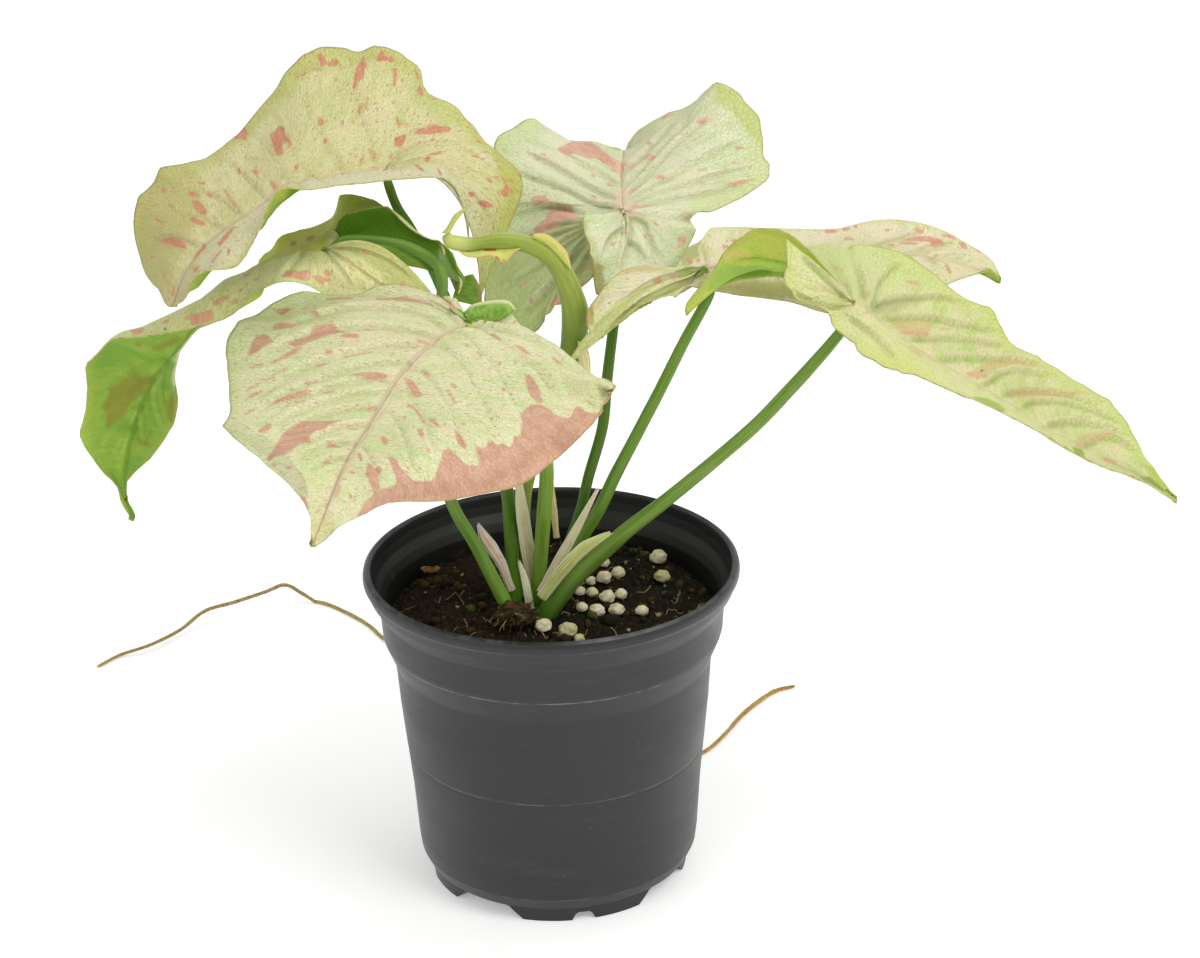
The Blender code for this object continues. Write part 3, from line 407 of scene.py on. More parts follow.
LEAVES["leaf_right"] = dict(
    midrib=[(853, 302, -13), (873, 316, -15), (898, 335, -17), (922, 352, -19), (946, 366, -21), (970, 379, -24),
            (991, 393, -26), (1015, 407, -28), (1039, 423, -31), (1066, 438, -34), (1104, 459, -38), (1142, 477, -42), (1178, 500, -46)],
    left=[
        (0, (822, 264, -6), (789, 233, -3)), (0, (800, 250, -3), (757, 229, -2)), (0, (778, 252, 0), (728, 248, -1)),
        (0, (768, 262, 2), (705, 286, 1)), (0, (766, 268, 5), (686, 316, 3)), (0, (778, 262, 8), (716, 290, 6)),
        (0, (800, 252, 11), (766, 277, 10)), (0, (822, 245, 14), (800, 280, 15)), (0, (842, 246, 15), (832, 270, 19)),
        (0.03, (858, 262, 8), (852, 244, 20)), (0.08, (870, 276, 5), (876, 247, 20)), (0.14, (890, 294, 3), (905, 257, 19)),
        (0.21, (914, 312, 0), (934, 274, 17)), (0.28, (936, 328, -2), (958, 294, 14)), (0.36, (960, 345, -6), (987, 306, 12)),
        (0.43, (980, 357, -9), (1001, 330, 6)), (0.50, (1002, 372, -12), (1022, 348, 4)), (0.58, (1024, 388, -15), (1048, 362, 1)),
        (0.66, (1048, 406, -19), (1076, 381, -4)), (0.74, (1074, 424, -24), (1106, 398, -9)), (0.82, (1098, 440, -30), (1127, 428, -18)),
        (0.90, (1128, 459, -36), (1145, 458, -30)), (0.95, (1150, 478, -41), (1158, 475, -38)),
    ],
    right=[
        (0, (818, 268, -13), (786, 238, -12)), (0, (822, 280, -15), (787, 262, -15)), (0, (824, 292, -16), (785, 281, -18)),
        (0, (830, 300, -17), (800, 299, -20)), (0, (842, 306, -17), (827, 308, -22)), (0, (847, 316, -18), (836, 328, -24)),
        (0.03, (853, 324, -21), (850, 341, -30)), (0.11, (872, 340, -26), (874, 360, -38)), (0.20, (901, 354, -31), (906, 373, -43)),
        (0.30, (932, 368, -35), (940, 382, -47)), (0.40, (960, 384, -38), (967, 396, -50)), (0.50, (986, 397, -40), (993, 403, -52)),
        (0.60, (1012, 412, -41), (1021, 420, -52)), (0.70, (1042, 430, -43), (1052, 435, -52)), (0.80, (1074, 450, -44), (1080, 457, -51)),
        (0.90, (1114, 468, -44), (1118, 471, -49)), (0.95, (1146, 484, -45), (1148, 484, -48)),
    ],
)

LEAVES["leaf_back_right"] = dict(
    midrib=[(705, 268, 10), (733, 264, 20), (762, 261, 29), (795, 258, 37), (830, 256, 43), (865, 254, 48), (900, 254, 51),
            (935, 258, 53), (965, 265, 53), (985, 272, 52), (1000, 280, 50)],
    right=[
        (0, (688, 268, 9), (668, 266, 8)), (0, (662, 273, 4), (616, 273, -6)), (0, (650, 281, 1), (597, 295, -12)),
        (0, (640, 291, -1), (586, 330, -15)), (0, (636, 300, -3), (571, 361, -18)), (0, (648, 301, -1), (604, 339, -12)),
        (0, (670, 292, 4), (641, 310, -5)), (0, (690, 283, 7), (676, 297, 3)),
        (0.03, (704, 279, 10), (694, 286, 6)), (0.10, (724, 279, 14), (720, 291, 9)), (0.19, (752, 280, 20), (752, 296, 13)),
        (0.29, (786, 282, 27), (788, 301, 20)), (0.39, (822, 284, 33), (829, 313, 27)), (0.49, (858, 282, 39), (866, 311, 33)),
        (0.59, (892, 278, 43), (902, 302, 37)), (0.69, (924, 274, 47), (934, 290, 42)), (0.79, (950, 272, 49), (956, 280, 46)),
        (0.88, (974, 271, 51), (976, 273, 49)), (0.94, (988, 272, 51), (990, 268, 50)),
    ],
    left=[
        (0, (690, 264, 12), (676, 262, 13)), (0, (695, 258, 14), (684, 250, 17)), (0, (699, 254, 16), (692, 242, 20)),
        (0, (706, 250, 19), (702, 234, 24)), (0, (714, 248, 22), (716, 227, 28)),
        (0.06, (730, 246, 26), (738, 227, 34)), (0.15, (756, 245, 34), (765, 228, 42)), (0.26, (792, 243, 42), (800, 229, 50)),
        (0.37, (828, 240, 49), (838, 228, 57)), (0.47, (858, 238, 54), (864, 222, 62)), (0.57, (888, 238, 58), (892, 219, 65)),
        (0.67, (918, 240, 60), (922, 223, 66)), (0.76, (944, 246, 60), (948, 233, 65)), (0.85, (968, 254, 58), (973, 247, 62)),
        (0.92, (985, 262, 55), (990, 258, 57)), (0.96, (993, 270, 53), (996, 267, 54)),
    ],
)

LEAVES["leaf_front"] = dict(
    midrib=[(468, 323, -30), (451, 332, -34), (435, 342, -38), (415, 361, -46), (397, 382, -55), (383, 404, -64),
            (371, 423, -72), (355, 447, -82), (344, 466, -90), (336, 484, -97), (326, 510, -106), (313, 545, -116)],
    right=[
        (0, (466, 317, -28), (463, 309, -26)), (0, (455, 308, -25), (440, 294, -20)), (0, (432, 302, -22), (394, 285, -16)),
        (0.02, (405, 304, -23), (345, 292, -18)), (0.08, (368, 312, -27), (290, 294, -20)), (0.15, (338, 326, -34), (245, 316, -27)),
        (0.24, (315, 350, -44), (226, 346, -36)), (0.34, (306, 380, -55), (226, 385, -50)), (0.43, (300, 406, -66), (229, 410, -60)),
        (0.51, (296, 428, -76), (223, 426, -72)), (0.60, (302, 448, -85), (250, 449, -83)), (0.69, (307, 467, -93), (278, 474, -92)),
        (0.78, (310, 484, -99), (296, 489, -98)), (0.86, (311, 503, -105), (303, 504, -104)), (0.93, (314, 524, -111), (309, 524, -111)),
    ],
    left=[
        (0, (470, 316, -27.5), (474, 321, -33)), (0, (479, 306, -24), (488, 322, -32)), (0, (499, 301, -21), (499, 318, -29)),
        (0, (506, 310, -23), (513, 310, -22)),
        (0.03, (494, 324, -29), (527, 329, -26)), (0.08, (500, 332, -33), (548, 341, -32)), (0.15, (506, 347, -40), (580, 363, -44)),
        (0.24, (510, 366, -49), (616, 385, -62)), (0.33, (504, 390, -59), (600, 416, -72)), (0.42, (486, 414, -70), (568, 449, -82)),
        (0.50, (462, 434, -79), (526, 480, -92)), (0.58, (436, 451, -87), (478, 496, -98)), (0.66, (408, 468, -94), (428, 502, -101)),
        (0.74, (380, 484, -99), (388, 506, -104)), (0.82, (358, 502, -104), (362, 516, -107)), (0.90, (336, 519, -109), (340, 527, -111)),
        (0.95, (325, 532, -112), (327, 534, -113)),
    ],
)

STEMS = {
    # name: (points (U, V, y), width in frame units at each, steps)
    "petiole_left": (
        [(504, 600, -8), (491, 575, -6), (475, 544, -4), (451, 501, -3), (437, 440, -4), (431, 380, -5), (436, 330, -6),
         (442, 294, -7), (441, 272, -7.5), (431, 259, -5.5), (404, 245, -5.2), (370, 239, -5.4), (344, 239, -5.6), (333, 246, -6.4)],
        [15, 14, 13, 12.5, 12, 11.5, 11, 11, 11, 10.5, 9.5, 7.5, 6.5, 5], 22),
    "petiole_upper_left": (
        [(515, 601, -2), (511, 538, 4), (507, 490, 7), (492, 420, 12), (468, 350, 15), (445, 297, 17), (432, 268, 17.5),
         (411, 229, 17.5), (397, 207, 15), (388, 183, 11)],
        [14, 14, 13.5, 13, 12, 11, 10.5, 10, 9.5, 8], 16),
    "petiole_front": (
        [(538, 592, -3), (540, 565, -5), (544, 512, -10), (546, 463, -15), (532, 430, -19), (508, 390, -24), (484, 350, -28),
         (472, 331, -30.5)],
        [15, 15, 15, 14.5, 13.5, 12.5, 11, 8], 14),
    "petiole_back": (
        [(560, 575, 9), (568, 548, 10), (581, 509, 11), (588.5, 477, 13), (602.5, 427, 18), (607, 380, 21), (613, 330, 25),
         (618, 290, 28), (621, 250, 30), (622, 219, 29)],
        [12, 12, 11, 11, 11, 11, 10.5, 10, 9.5, 8], 16),
    "petiole_back_right": (
        [(558, 586, 0), (571.5, 552, 0), (583, 535, 0.5), (599, 509.5, 1), (615, 476, 2), (636, 436, 4), (661, 388, 6), (684, 342, 9),
         (709, 295, 13), (709, 278, 15)],
        [15, 14, 13.5, 13, 12.5, 12, 11.5, 11, 10, 7], 16),
    "petiole_right": (
        [(554, 603, -9), (567, 585, -9), (583, 569, -9), (606, 549, -9), (629, 529, -9.5), (659, 506, -10), (689, 482, -10.5),
         (721, 455.5, -11), (757.5, 423.5, -12), (789.5, 390, -13), (812.5, 365, -13), (839, 334, -12), (851, 314, -11.5)],
        [21, 20.5, 19, 17.5, 15.5, 14, 13.5, 13, 13, 12.5, 12, 10.5, 7], 18),
    "young_leaf_stalk": (
        [(526, 596, 6), (524, 560, 5), (524, 520, 3), (528, 480, 0), (545, 430, -1), (562, 385, -2), (572, 350, -2), (575, 317, -3),
         (571, 294, -4), (564, 276, -5), (553, 260, -6), (537, 248, -7), (517, 242, -8), (497, 241, -9), (470, 244, -10),
         (452, 242, -11), (446, 235, -11)],
        [12, 12, 12, 13, 14, 18, 23, 27, 26, 25, 23, 20, 18, 17, 13, 13, 9], 26),
}

SHEATHS = {
    # name: (centre line (U, V, y), width across, mm, colour)
    "sheath_pink": ([(503, 582, -4.5), (501, 560, -3.5), (492, 541, -2.5), (479, 525, -2)], [5.0, 4.6, 4.0, 1.6], (0.62, 0.46, 0.38)),
    "sheath_low": ([(524, 604, -8), (526, 590, -8), (526, 577, -7), (521, 563, -7)], [2.6, 2.8, 2.4, 1.2], (0.62, 0.50, 0.34)),
    "sheath_centre": ([(534, 592, 0), (532, 560, -2.5), (526, 518, -4), (519, 486, -4.5)], [3.4, 4.6, 4.4, 2.2], (0.60, 0.52, 0.34)),
    "sheath_back": ([(556, 530, 6), (555, 512, 6), (553, 496, 6), (552, 477, 6)], [2.0, 3.0, 3.2, 1.2], (0.56, 0.50, 0.28)),
    "sheath_long": ([(551, 577, -7.5), (561, 555, -6.8), (575, 531, -6), (597, 490, -5)], [3.6, 4.2, 3.8, 1.4], (0.60, 0.50, 0.36)),
    "sheath_green": ([(548, 584, -13.5), (561, 568, -14), (583, 547, -14), (607, 531, -13.5)], [4.6, 4.8, 4.4, 1.8], (0.50, 0.56, 0.32)),
    "young_leaf_sheath": ([(586, 376, -7), (585, 366, -7.5), (583, 354, -8.5), (581, 342, -9)], [2.4, 3.2, 3.2, 1.8], (0.60, 0.52, 0.34)),
}

# ---------------------------------------------------------------- leaf markings, veins and creases
# In the front frame (U right, V down). A marking is an outline, or a short stroke (U, V, U, V, half width).
# A vein is (line, side): the lit crest runs along the line and the hollow lies on the given side of it.
MARKS = {name: dict(pink=[], tan=[], dark=[], veins=[], creases=[]) for name in LEAVES}

MARKS["leaf_upper_left"].update(
    pink=[
        [(316.1, 53.7), (321.4, 53.4), (325.3, 58.3), (326.3, 64.4), (323, 65.9), (319.1, 60.6)],
        [(327.2, 60.6), (330.6, 60.1), (332.9, 58.3), (337.5, 58.6), (339.8, 62.9), (336, 64.4), (332.9, 64.4), (328.3, 65.9)],
        [(363.5, 56), (365.5, 61), (360.9, 62.6)],
        [(357.9, 65.2), (362.8, 63.2), (367.3, 64.4), (367, 67.4), (364.3, 70.5), (363.1, 78.9), (358.9, 79.7), (355.9, 85.8),
         (353.6, 90.4), (352.8, 87.3), (354.3, 80.5), (355.4, 70.5)],
        [(382.3, 49.8), (384.6, 52.9), (385, 56.4), (391.8, 56), (394.1, 58.3), (393.1, 62.9), (385.7, 61), (376.5, 62.9), (378.1, 54.4)],
        [(391.5, 69.3), (396.4, 68.7), (396.7, 76.6), (395.7, 85.8), (393.4, 85.8), (393.4, 72.8)],
        [(420.2, 84.3), (423.7, 95), (420.9, 95.8), (417.1, 91.2)],
        [(413.3, 134), (417.9, 129), (427, 127.9), (432.4, 125.6), (437.8, 127.1), (448.5, 126.8), (451.8, 129.4), (449.2, 132),
         (437.8, 133.3), (430.1, 134.5), (419.4, 134.8)],
        [(318.1, 115.2), (323.7, 119.5), (324.5, 125.3), (319.1, 125.3)],
        [(394.6, 137.1), (399.5, 137.1), (405.9, 134.8), (404.9, 140.9), (401, 146.3), (398, 148.3), (394.6, 145.5)],
        [(391.8, 152.9), (391.8, 159.6), (388, 159.6)],
        [(491.3, 177.7), (499, 175.4), (498.2, 179.2)],
        [(516.6, 173), (521.6, 173), (521.2, 176.1), (518.1, 178.4)],
        [(505.1, 184.5), (509.4, 184.5), (508.9, 189.9), (507.4, 196.8), (503.6, 196.8), (499.4, 192.7), (502.8, 189.9)],
        [(476, 202.2), (481.4, 200.3), (488.3, 202.2), (495.2, 206.4), (487.5, 208.3), (482.2, 206)],
        [(269.3, 133.8), (276, 131.8), (276.7, 126.5), (280, 124.5), (283.6, 126.5), (284.1, 135.2), (288.1, 136.5), (291.2, 142.5),
         (290.3, 146.6), (285.4, 141.2), (283.6, 141.2), (282.7, 148.6), (284.7, 154.6), (278, 155.5), (274, 148.6), (271.3, 140.5)],
        [(233.8, 137.6), (241.2, 130.5), (244.5, 127.1), (247, 131.2), (245.9, 136.5), (249.2, 141.2), (240.5, 139.9)],
        [(218.8, 163.6), (224.2, 165.7), (223.4, 168)],
        [(265.7, 178), (272.7, 180.7), (280, 187.4), (276.7, 189), (271.3, 183.4)],
        [(293.8, 167.3), (299.5, 164), (296.8, 172.7)],
        [(187, 193.4), (189.6, 191.4), (195, 191.8), (200.1, 195.8), (196.3, 197.7), (188.3, 196.1)],
        [(197.4, 183.7), (200.4, 183.3), (205.7, 182.9), (205, 186.7), (201.7, 186.4)],
        [(193, 201.4), (199, 202.1), (203.7, 206.1), (207.3, 212.1), (206.4, 215.1), (201, 214.6), (196.3, 210.8), (192.3, 204.8)],
        [(188, 215.9), (193.7, 216.2), (198.3, 218.8), (203.7, 221.5), (207.3, 226.2), (200.4, 225.5), (193, 222.6)],
        [(154.6, 238.9), (165.5, 238.9), (171.6, 237.6), (177.6, 239.6), (183.6, 241.3), (187, 249.6), (177.6, 247), (166.9, 245), (160.2, 240.9)],
        [(235.2, 226.2), (231.2, 233.6), (225.8, 240.3), (219.8, 246.3), (217.1, 244), (222.5, 238.9), (227.1, 232.2)],
        [(206, 242.7), (204.1, 248.3), (199, 253.7), (193.4, 260.1), (195.3, 253.7), (200.4, 247)],
        [(199, 265), (197.7, 269.7), (193.9, 272.1), (193, 269)],
        (415, 70, 417.5, 78, 1.2), (432.5, 97, 434.5, 99.5, 1), (360.5, 103, 359.5, 113, 1.3), (367.3, 97, 367, 108, 1.0),
        (325.2, 139.5, 325, 143.5, 1.8), (397, 117, 399, 126.5, 1.1), (403.5, 121.5, 405.5, 127, 1.1), (363, 122, 363.5, 126, 1.2),
        (369, 150.5, 370, 154, 1.3), (374, 152.5, 376, 157.5, 1.2), (349.5, 154, 350, 154.5, 1), (354, 155.5, 356.5, 157.5, 0.9),
        (362, 158, 360, 166, 1.1), (371, 156, 373, 162, 0.9), (416, 164.5, 422.5, 169.5, 1.2), (437.3, 169.5, 441, 174, 1),
        (431.5, 154.5, 440, 153, 1), (428, 158, 428, 159, 2), (372, 169, 378, 168.5, 1), (337.8, 168, 342.5, 174, 1),
        (341, 168, 341.7, 173, 0.8), (313, 176, 316, 176.5, 1.2), (473.5, 154.5, 478, 155.2, 1.3), (477.5, 140.5, 480.5, 141.5, 1.1),
        (458.4, 121, 458.6, 121.3, 1.2), (487, 179, 491, 182, 1.1), (502.5, 179.5, 505.5, 180.5, 1.2), (511.5, 192.2, 515, 192.2, 1.2),
        (471.5, 194, 471.8, 194.4, 2.6), (302, 75.5, 306.5, 73.8, 1.1), (313.8, 71, 320.5, 69, 1.4), (238.5, 170, 240, 172.5, 1.6),
        (253.5, 172, 257, 172, 1.8), (256, 173.5, 258, 178, 0.8), (270.7, 184, 275, 191.4, 0.8), (207.5, 194, 211, 195.8, 2),
        (224.5, 191.5, 236, 206, 1.3), (163.5, 189, 163.5, 190, 2.2), (153.9, 204.8, 154, 205, 1.6), (170.6, 206.5, 171, 206.6, 1.4),
        (153, 217, 163.5, 223.5, 0.8), (139, 253, 139.2, 253.2, 1.2), (153, 257.7, 153.4, 257.8, 1.3), (213.8, 217, 217, 219.3, 0.9),
        (174.5, 286, 172.5, 296, 0.9), (169, 299, 169.2, 299.2, 1.3), (229, 249.5, 228, 253.5, 1), (221, 250, 211.8, 261.7, 0.6),
        (305, 100, 306, 101, 1), (262, 100, 262.3, 102, 1), (286, 85, 286.4, 85.4, 1), (300, 132, 300.5, 132.5, 1.2),
        (308, 149, 308.4, 149.4, 1.2), (246, 158, 248, 160, 1.0), (335, 78, 336, 80, 1.0), (350, 60, 350.5, 61, 0.9),
        (260, 254, 259.6, 254.6, 0.9), (376, 102, 376.5, 102.4, 1.2), (393.5, 101, 394, 102, 1.1), (402, 80, 402.4, 80.4, 1.1),
        (331, 128, 332, 129.5, 1.0), (342, 121, 342.4, 126, 1.1), (352, 118, 353, 123, 1.0), (377, 120, 377.4, 122, 1.1),
    ],
    veins=[
        ([(384, 166), (391, 158), (404, 139), (412, 122), (421, 106)], (1, 0)),
        ([(376, 168), (371, 150), (364, 124), (357, 104), (352, 84), (350, 62)], (1, 0)),
        ([(344, 172), (332, 156), (320, 138), (307, 116), (298, 98), (291, 82)], (1, 0)),
        ([(322, 184), (305, 172), (292, 154), (278, 132), (268, 112)], (1, 0)),
        ([(300, 188), (284, 178), (270, 158), (256, 142), (240, 134)], (1, 0)),
        ([(268, 198), (250, 178), (232, 162), (214, 156)], (0, 1)),
        ([(245, 214), (226, 200), (208, 190), (190, 186), (170, 188)], (0, 1)),
        ([(225, 228), (205, 216), (186, 210), (164, 206)], (0, 1)),
        ([(206, 246), (186, 238), (166, 234), (146, 236)], (0, 1)),
        ([(392, 166), (400, 150), (420, 141), (446, 139), (470, 146), (490, 160), (505, 180)], (0, 1)),
        ([(400, 162), (425, 156), (450, 164), (470, 186), (490, 214), (496, 226)], (0, 1)),
        ([(300, 76), (318, 66), (330, 66), (348, 70), (362, 62), (384, 62), (400, 66), (413, 78)], (0, -1)),
    ],
    creases=[],
)

MARKS["leaf_front"].update(
    pink=[
        [(268.7, 308.4), (279.2, 308.4), (286.5, 307), (293.6, 308.9), (288, 311.8), (282.4, 314.7), (276.3, 311.8)],
        [(302.7, 314.3), (310, 313.7), (313.7, 311.4), (321, 314.7), (315.9, 316.2), (313, 314.7)],
        [(270.4, 330.4), (275.5, 324.3), (283.6, 323.1), (290.9, 325.4), (303.4, 324.6), (293.9, 327.9), (282.1, 330.4)],
        [(288, 342.6), (293.9, 338.9), (308.6, 336), (314.4, 328.7), (324.7, 326.9), (332, 325.7), (337.9, 327.9), (340.8, 330.1),
         (351.1, 330.4), (340.8, 332.3), (326.2, 336.7), (311.5, 341.1), (296.1, 347)],
        [(335.7, 337.2), (346.7, 333.8), (358.4, 335.3), (358.4, 338.9), (346.7, 337.8)],
        [(391.9, 300.1), (396.6, 297.1), (408.3, 298.6), (420, 301), (429, 303.5), (435, 306.5), (425, 306), (408, 303.5), (398, 302.5)],
        [(251.3, 344.1), (256.5, 337.5), (264.5, 335.7), (270.4, 337.5), (271.9, 341.1), (274.8, 342.2), (264.5, 347), (257.9, 352.1),
         (251.3, 355.1), (246.9, 360.9), (244.7, 362.7), (247.7, 355.1), (249.9, 349.9)],
        [(267.5, 364.6), (276.3, 359.5), (288, 352.9), (295.3, 348.5), (303.4, 347.7), (293.9, 354.3), (282.1, 360.2), (271.9, 364.6)],
        [(314.1, 366.1), (317.4, 363.9), (330.6, 362.1), (324.7, 365.3), (317.4, 367.5)],
        [(347.4, 377.1), (358.4, 374.9), (376, 373.9), (384.8, 376.4), (395.8, 377.4), (384.8, 378.3), (370.2, 379.7), (359.9, 378.6)],
        [(270.1, 404.2), (277.7, 399.8), (288, 397.6), (299.8, 393.2), (311.8, 391.5), (308.6, 394.7), (296.8, 398.4), (285.1, 402.8), (276.3, 404.7)],
        [(321.8, 393.5), (327.6, 392.9), (334.7, 391.5), (333.5, 394), (327.6, 396.2)],
        [(402.4, 378.8), (405.4, 377.8), (414.2, 382.9), (418.6, 390.3), (423.3, 396.4), (416.4, 397.6), (411.2, 391.8), (406.8, 384.4)],
        [(231.1, 366.1), (233, 362.7), (237.8, 362.7), (234.5, 364.6)],
        [(260.9, 384.4), (270.4, 378.6), (277.7, 374.4), (275.5, 378.3), (267.5, 382.2)],
        [(242.8, 401.3), (248.4, 395.4), (254.3, 392.5), (264.5, 389.1), (258.7, 394.7), (251.3, 396.2)],
        [(277, 444.5), (284.3, 431.3), (293.9, 425.5), (305.6, 419.6), (321.8, 421.8), (341.6, 422.5), (329.1, 426.9), (324.7, 431.3),
         (314.4, 434.3), (309.3, 438.7), (310.8, 443.1), (301.2, 446.7), (288, 453.3), (282.9, 455.5), (276.3, 455.5), (270.4, 460.7),
         (267.5, 461.4), (266.7, 458.5), (271.9, 451.9)],
        [(256.9, 431.3), (263.1, 426.9), (266, 424), (272.2, 421.4), (269.7, 428.4), (263.1, 433.1)],
        [(327.6, 443.1), (335, 443.8), (341.6, 446.7), (340.8, 448.9), (332, 447.8), (326.4, 447.2)],
        [(338.6, 482.7), (340.5, 485.6), (340.1, 490.8), (336.4, 497.4), (334.2, 495.9), (336.4, 489.3)],
        [(299.8, 494.4), (304.9, 497.4), (307.8, 504), (307.4, 510.6), (302.7, 501.8)],
        [(380.4, 437.2), (383.4, 436.5), (388.5, 440.9), (386.3, 446), (382.6, 443.1)],
        [(417.4, 430.6), (422.2, 431.3), (424.4, 440.9), (419.3, 436.5)],
        [(414.9, 410.5), (418.6, 410.8), (424.4, 422.5), (425.2, 425.2), (422.2, 424), (418.6, 416.7)],
        # the band along the near margin
        [(354.8, 522), (361.4, 509.1), (362.8, 504.7), (367.2, 499.6), (373.8, 494.4), (370.9, 485.6), (365.8, 473.9), (368.7, 465.1),
         (371.6, 464.3), (373.1, 468), (378.2, 465.8), (381.6, 468), (380.4, 473.1), (375.3, 472.7), (378.2, 479.7), (379, 488.6),
         (389.2, 488.6), (395.8, 485.6), (396.6, 476.8), (392.9, 470.9), (390.7, 462.1), (387.8, 457.7), (392.2, 457), (396.6, 459.9),
         (399.5, 468), (403.9, 472.4), (407.7, 476), (413.8, 481.3), (423, 481.3), (427.6, 481), (434.4, 479.8), (437.5, 469.1),
         (441.3, 458.4), (443.6, 450.7), (449, 448.4), (453.6, 452.3), (458.2, 456.8), (467.4, 465.3), (473.5, 464.5), (478.8, 469.1),
         (479.6, 461.4), (476.5, 450.7), (475.8, 446.1), (485, 448.9), (488, 443.4), (493.4, 443.1), (498, 448.4), (501, 443.8),
         (510.2, 449.2), (513.3, 443.1), (514, 436.9), (520.2, 437.7), (521.7, 428.5), (522.5, 423.2), (520.9, 412.5), (528.6, 406.3),
         (534.7, 404.8), (544.6, 407.1), (551.5, 410.9), (554.6, 415.5), (565.3, 417.8), (570.7, 417.8), (576, 407.1), (581.4, 407.1),
         (585.2, 412.5), (597.5, 414), (602, 407.9), (609, 395), (614, 385), (630, 392), (600, 440), (560, 475), (510, 505), (440, 515), (380, 530)],
        [(524.8, 376.5), (527.8, 375), (533.2, 380.3), (538.5, 388.7), (543.1, 403), (538.5, 403.3), (530.1, 395.6), (527, 388)],
        [(454.8, 431.6), (458.9, 431.6), (462.8, 437.7), (466.9, 446.1), (464.3, 448.4), (458.9, 444.6), (455.1, 437.7)],
        [(428.3, 419.3), (434.4, 418.3), (437.5, 423.2), (439, 428.5), (436, 427), (432.9, 423.2)],
        [(418.1, 431.6), (421.4, 429.6), (423.7, 434.6), (423.7, 440.8), (419.9, 435.4)],
        [(489.1, 331.3), (494.9, 332.1), (501, 337.8), (495.7, 337.5)],
        [(514.8, 344.3), (520.2, 345.1), (531.6, 355.1), (525.5, 352.8)],
        [(550.8, 357.4), (554.6, 358.1), (563, 365), (558.4, 365.8)],
        [(432.9, 297.7), (441.3, 298.4), (450.5, 302.2), (458.2, 311.4), (452.8, 309.9), (444.4, 302.2)],
        (327, 299.6, 351, 300.4, 1.1), (377, 300.8, 389, 300.8, 1.2), (343.5, 357.6, 372, 352.3, 0.9), (325.5, 354.5, 331.5, 353, 1.4),
        (362, 330.2, 373, 329.3, 1.1), (306.5, 383.5, 318, 380.5, 0.9), (295.5, 402.8, 304.5, 402.8, 0.9), (369, 408.5, 376, 408.3, 1.2),
        (408.5, 406.7, 412.5, 408.5, 1.2), (392.5, 392.5, 393, 393, 1.4), (400, 391, 404, 394, 1.1), (422.5, 370, 429, 375, 1.1),
        (251, 367.5, 262, 364.5, 1.2), (278.5, 373.3, 286.5, 371.2, 0.8), (246.3, 391, 258, 384.5, 0.9), (245.5, 413, 255, 408, 0.7),
        (229.5, 394.5, 235, 391, 1), (349, 428.5, 356, 428.8, 1.4), (273.5, 465.5, 274, 466, 1.6), (287, 468, 291, 468.5, 1.1),
        (359.5, 455.5, 361.5, 460.5, 1.5), (404.5, 418, 405, 418.5, 1.8), (416.5, 411.5, 424.5, 423.5, 1.5), (447, 390, 456, 404, 1.3),
        (423, 370, 429, 374, 1.2), (452, 385, 456, 388, 1.6), (503.5, 390.5, 504, 391, 2), (478, 354.5, 481.5, 358, 1.4),
        (499, 363.5, 499.5, 364, 1.8), (490.3, 370.5, 490.8, 371, 1.4), (465.5, 346.5, 468, 347.5, 1.3), (515.5, 364.5, 516, 365, 1.3),
        (551, 378.5, 551.4, 379, 1.3), (553.5, 373, 554, 373.4, 1.2), (547.5, 387, 552, 387, 1), (582.5, 402, 583, 402.2, 1.5),
        (480.5, 423, 481, 423.4, 1.3), (463.5, 424.5, 464, 425, 1.6), (444.5, 426.5, 445, 427, 1.3), (426.5, 449.5, 429, 452.5, 1.2),
        (409.5, 363.3, 410, 363.8, 2.2), (417, 341.3, 429, 344.5, 1.2), (335, 474, 337, 476, 0.8), (326, 461, 330, 461.5, 1.1),
        (350, 472, 354, 473, 1.2), (350, 495, 351, 497, 1.2), (316, 512, 320, 510, 0.9), (324, 506, 328, 504, 1.0),
    ],
    veins=[
        ([(441, 338), (420, 330), (390, 325), (350, 324), (310, 331), (282, 341), (258, 352)], (0, 1)),
        ([(430, 345), (412, 343), (388, 343), (352, 349), (315, 360), (284, 375), (255, 392)], (0, 1)),
        ([(412, 362), (398, 361), (372, 362), (340, 370), (305, 382), (272, 398), (247, 412)], (0, 1)),
        ([(395, 383), (384, 377), (365, 378), (340, 382), (308, 392), (280, 405), (258, 418)], (0, 1)),
        ([(389, 391), (368, 390), (345, 393), (315, 401), (288, 411), (264, 424)], (0, 1)),
        ([(378, 408), (360, 406), (335, 409), (305, 418), (280, 430)], (0, 1)),
        ([(370, 424), (352, 423), (330, 428), (305, 444), (290, 458)], (0, 1)),
        ([(358, 444), (345, 441), (325, 443), (305, 450), (290, 462)], (0, 1)),
        ([(350, 456), (335, 456), (318, 462), (304, 472)], (0, 1)),
        ([(452, 331), (430, 316), (400, 307), (360, 305), (320, 312), (285, 322)], (0, 1)),
        ([(462, 324), (445, 308), (420, 298), (392, 294)], (0, 1)),
        ([(427, 346), (441, 350), (458, 364), (472, 386), (484, 408), (492, 430), (497, 447)], (1, 0)),
        ([(447, 334), (462, 338), (478, 352), (494, 372), (508, 396), (520, 418)], (1, 0)),
        ([(455, 328), (480, 332), (505, 346), (530, 368), (548, 392), (556, 408)], (1, 0)),
        ([(408, 372), (422, 376), (436, 392), (448, 412), (455, 432), (462, 452)], (1, 0)),
        ([(396, 388), (408, 398), (420, 418), (428, 440), (434, 460)], (1, 0)),
        ([(380, 410), (392, 420), (402, 440), (408, 460), (412, 476)], (1, 0)),
        ([(358, 446), (366, 456), (372, 470), (374, 484)], (1, 0)),
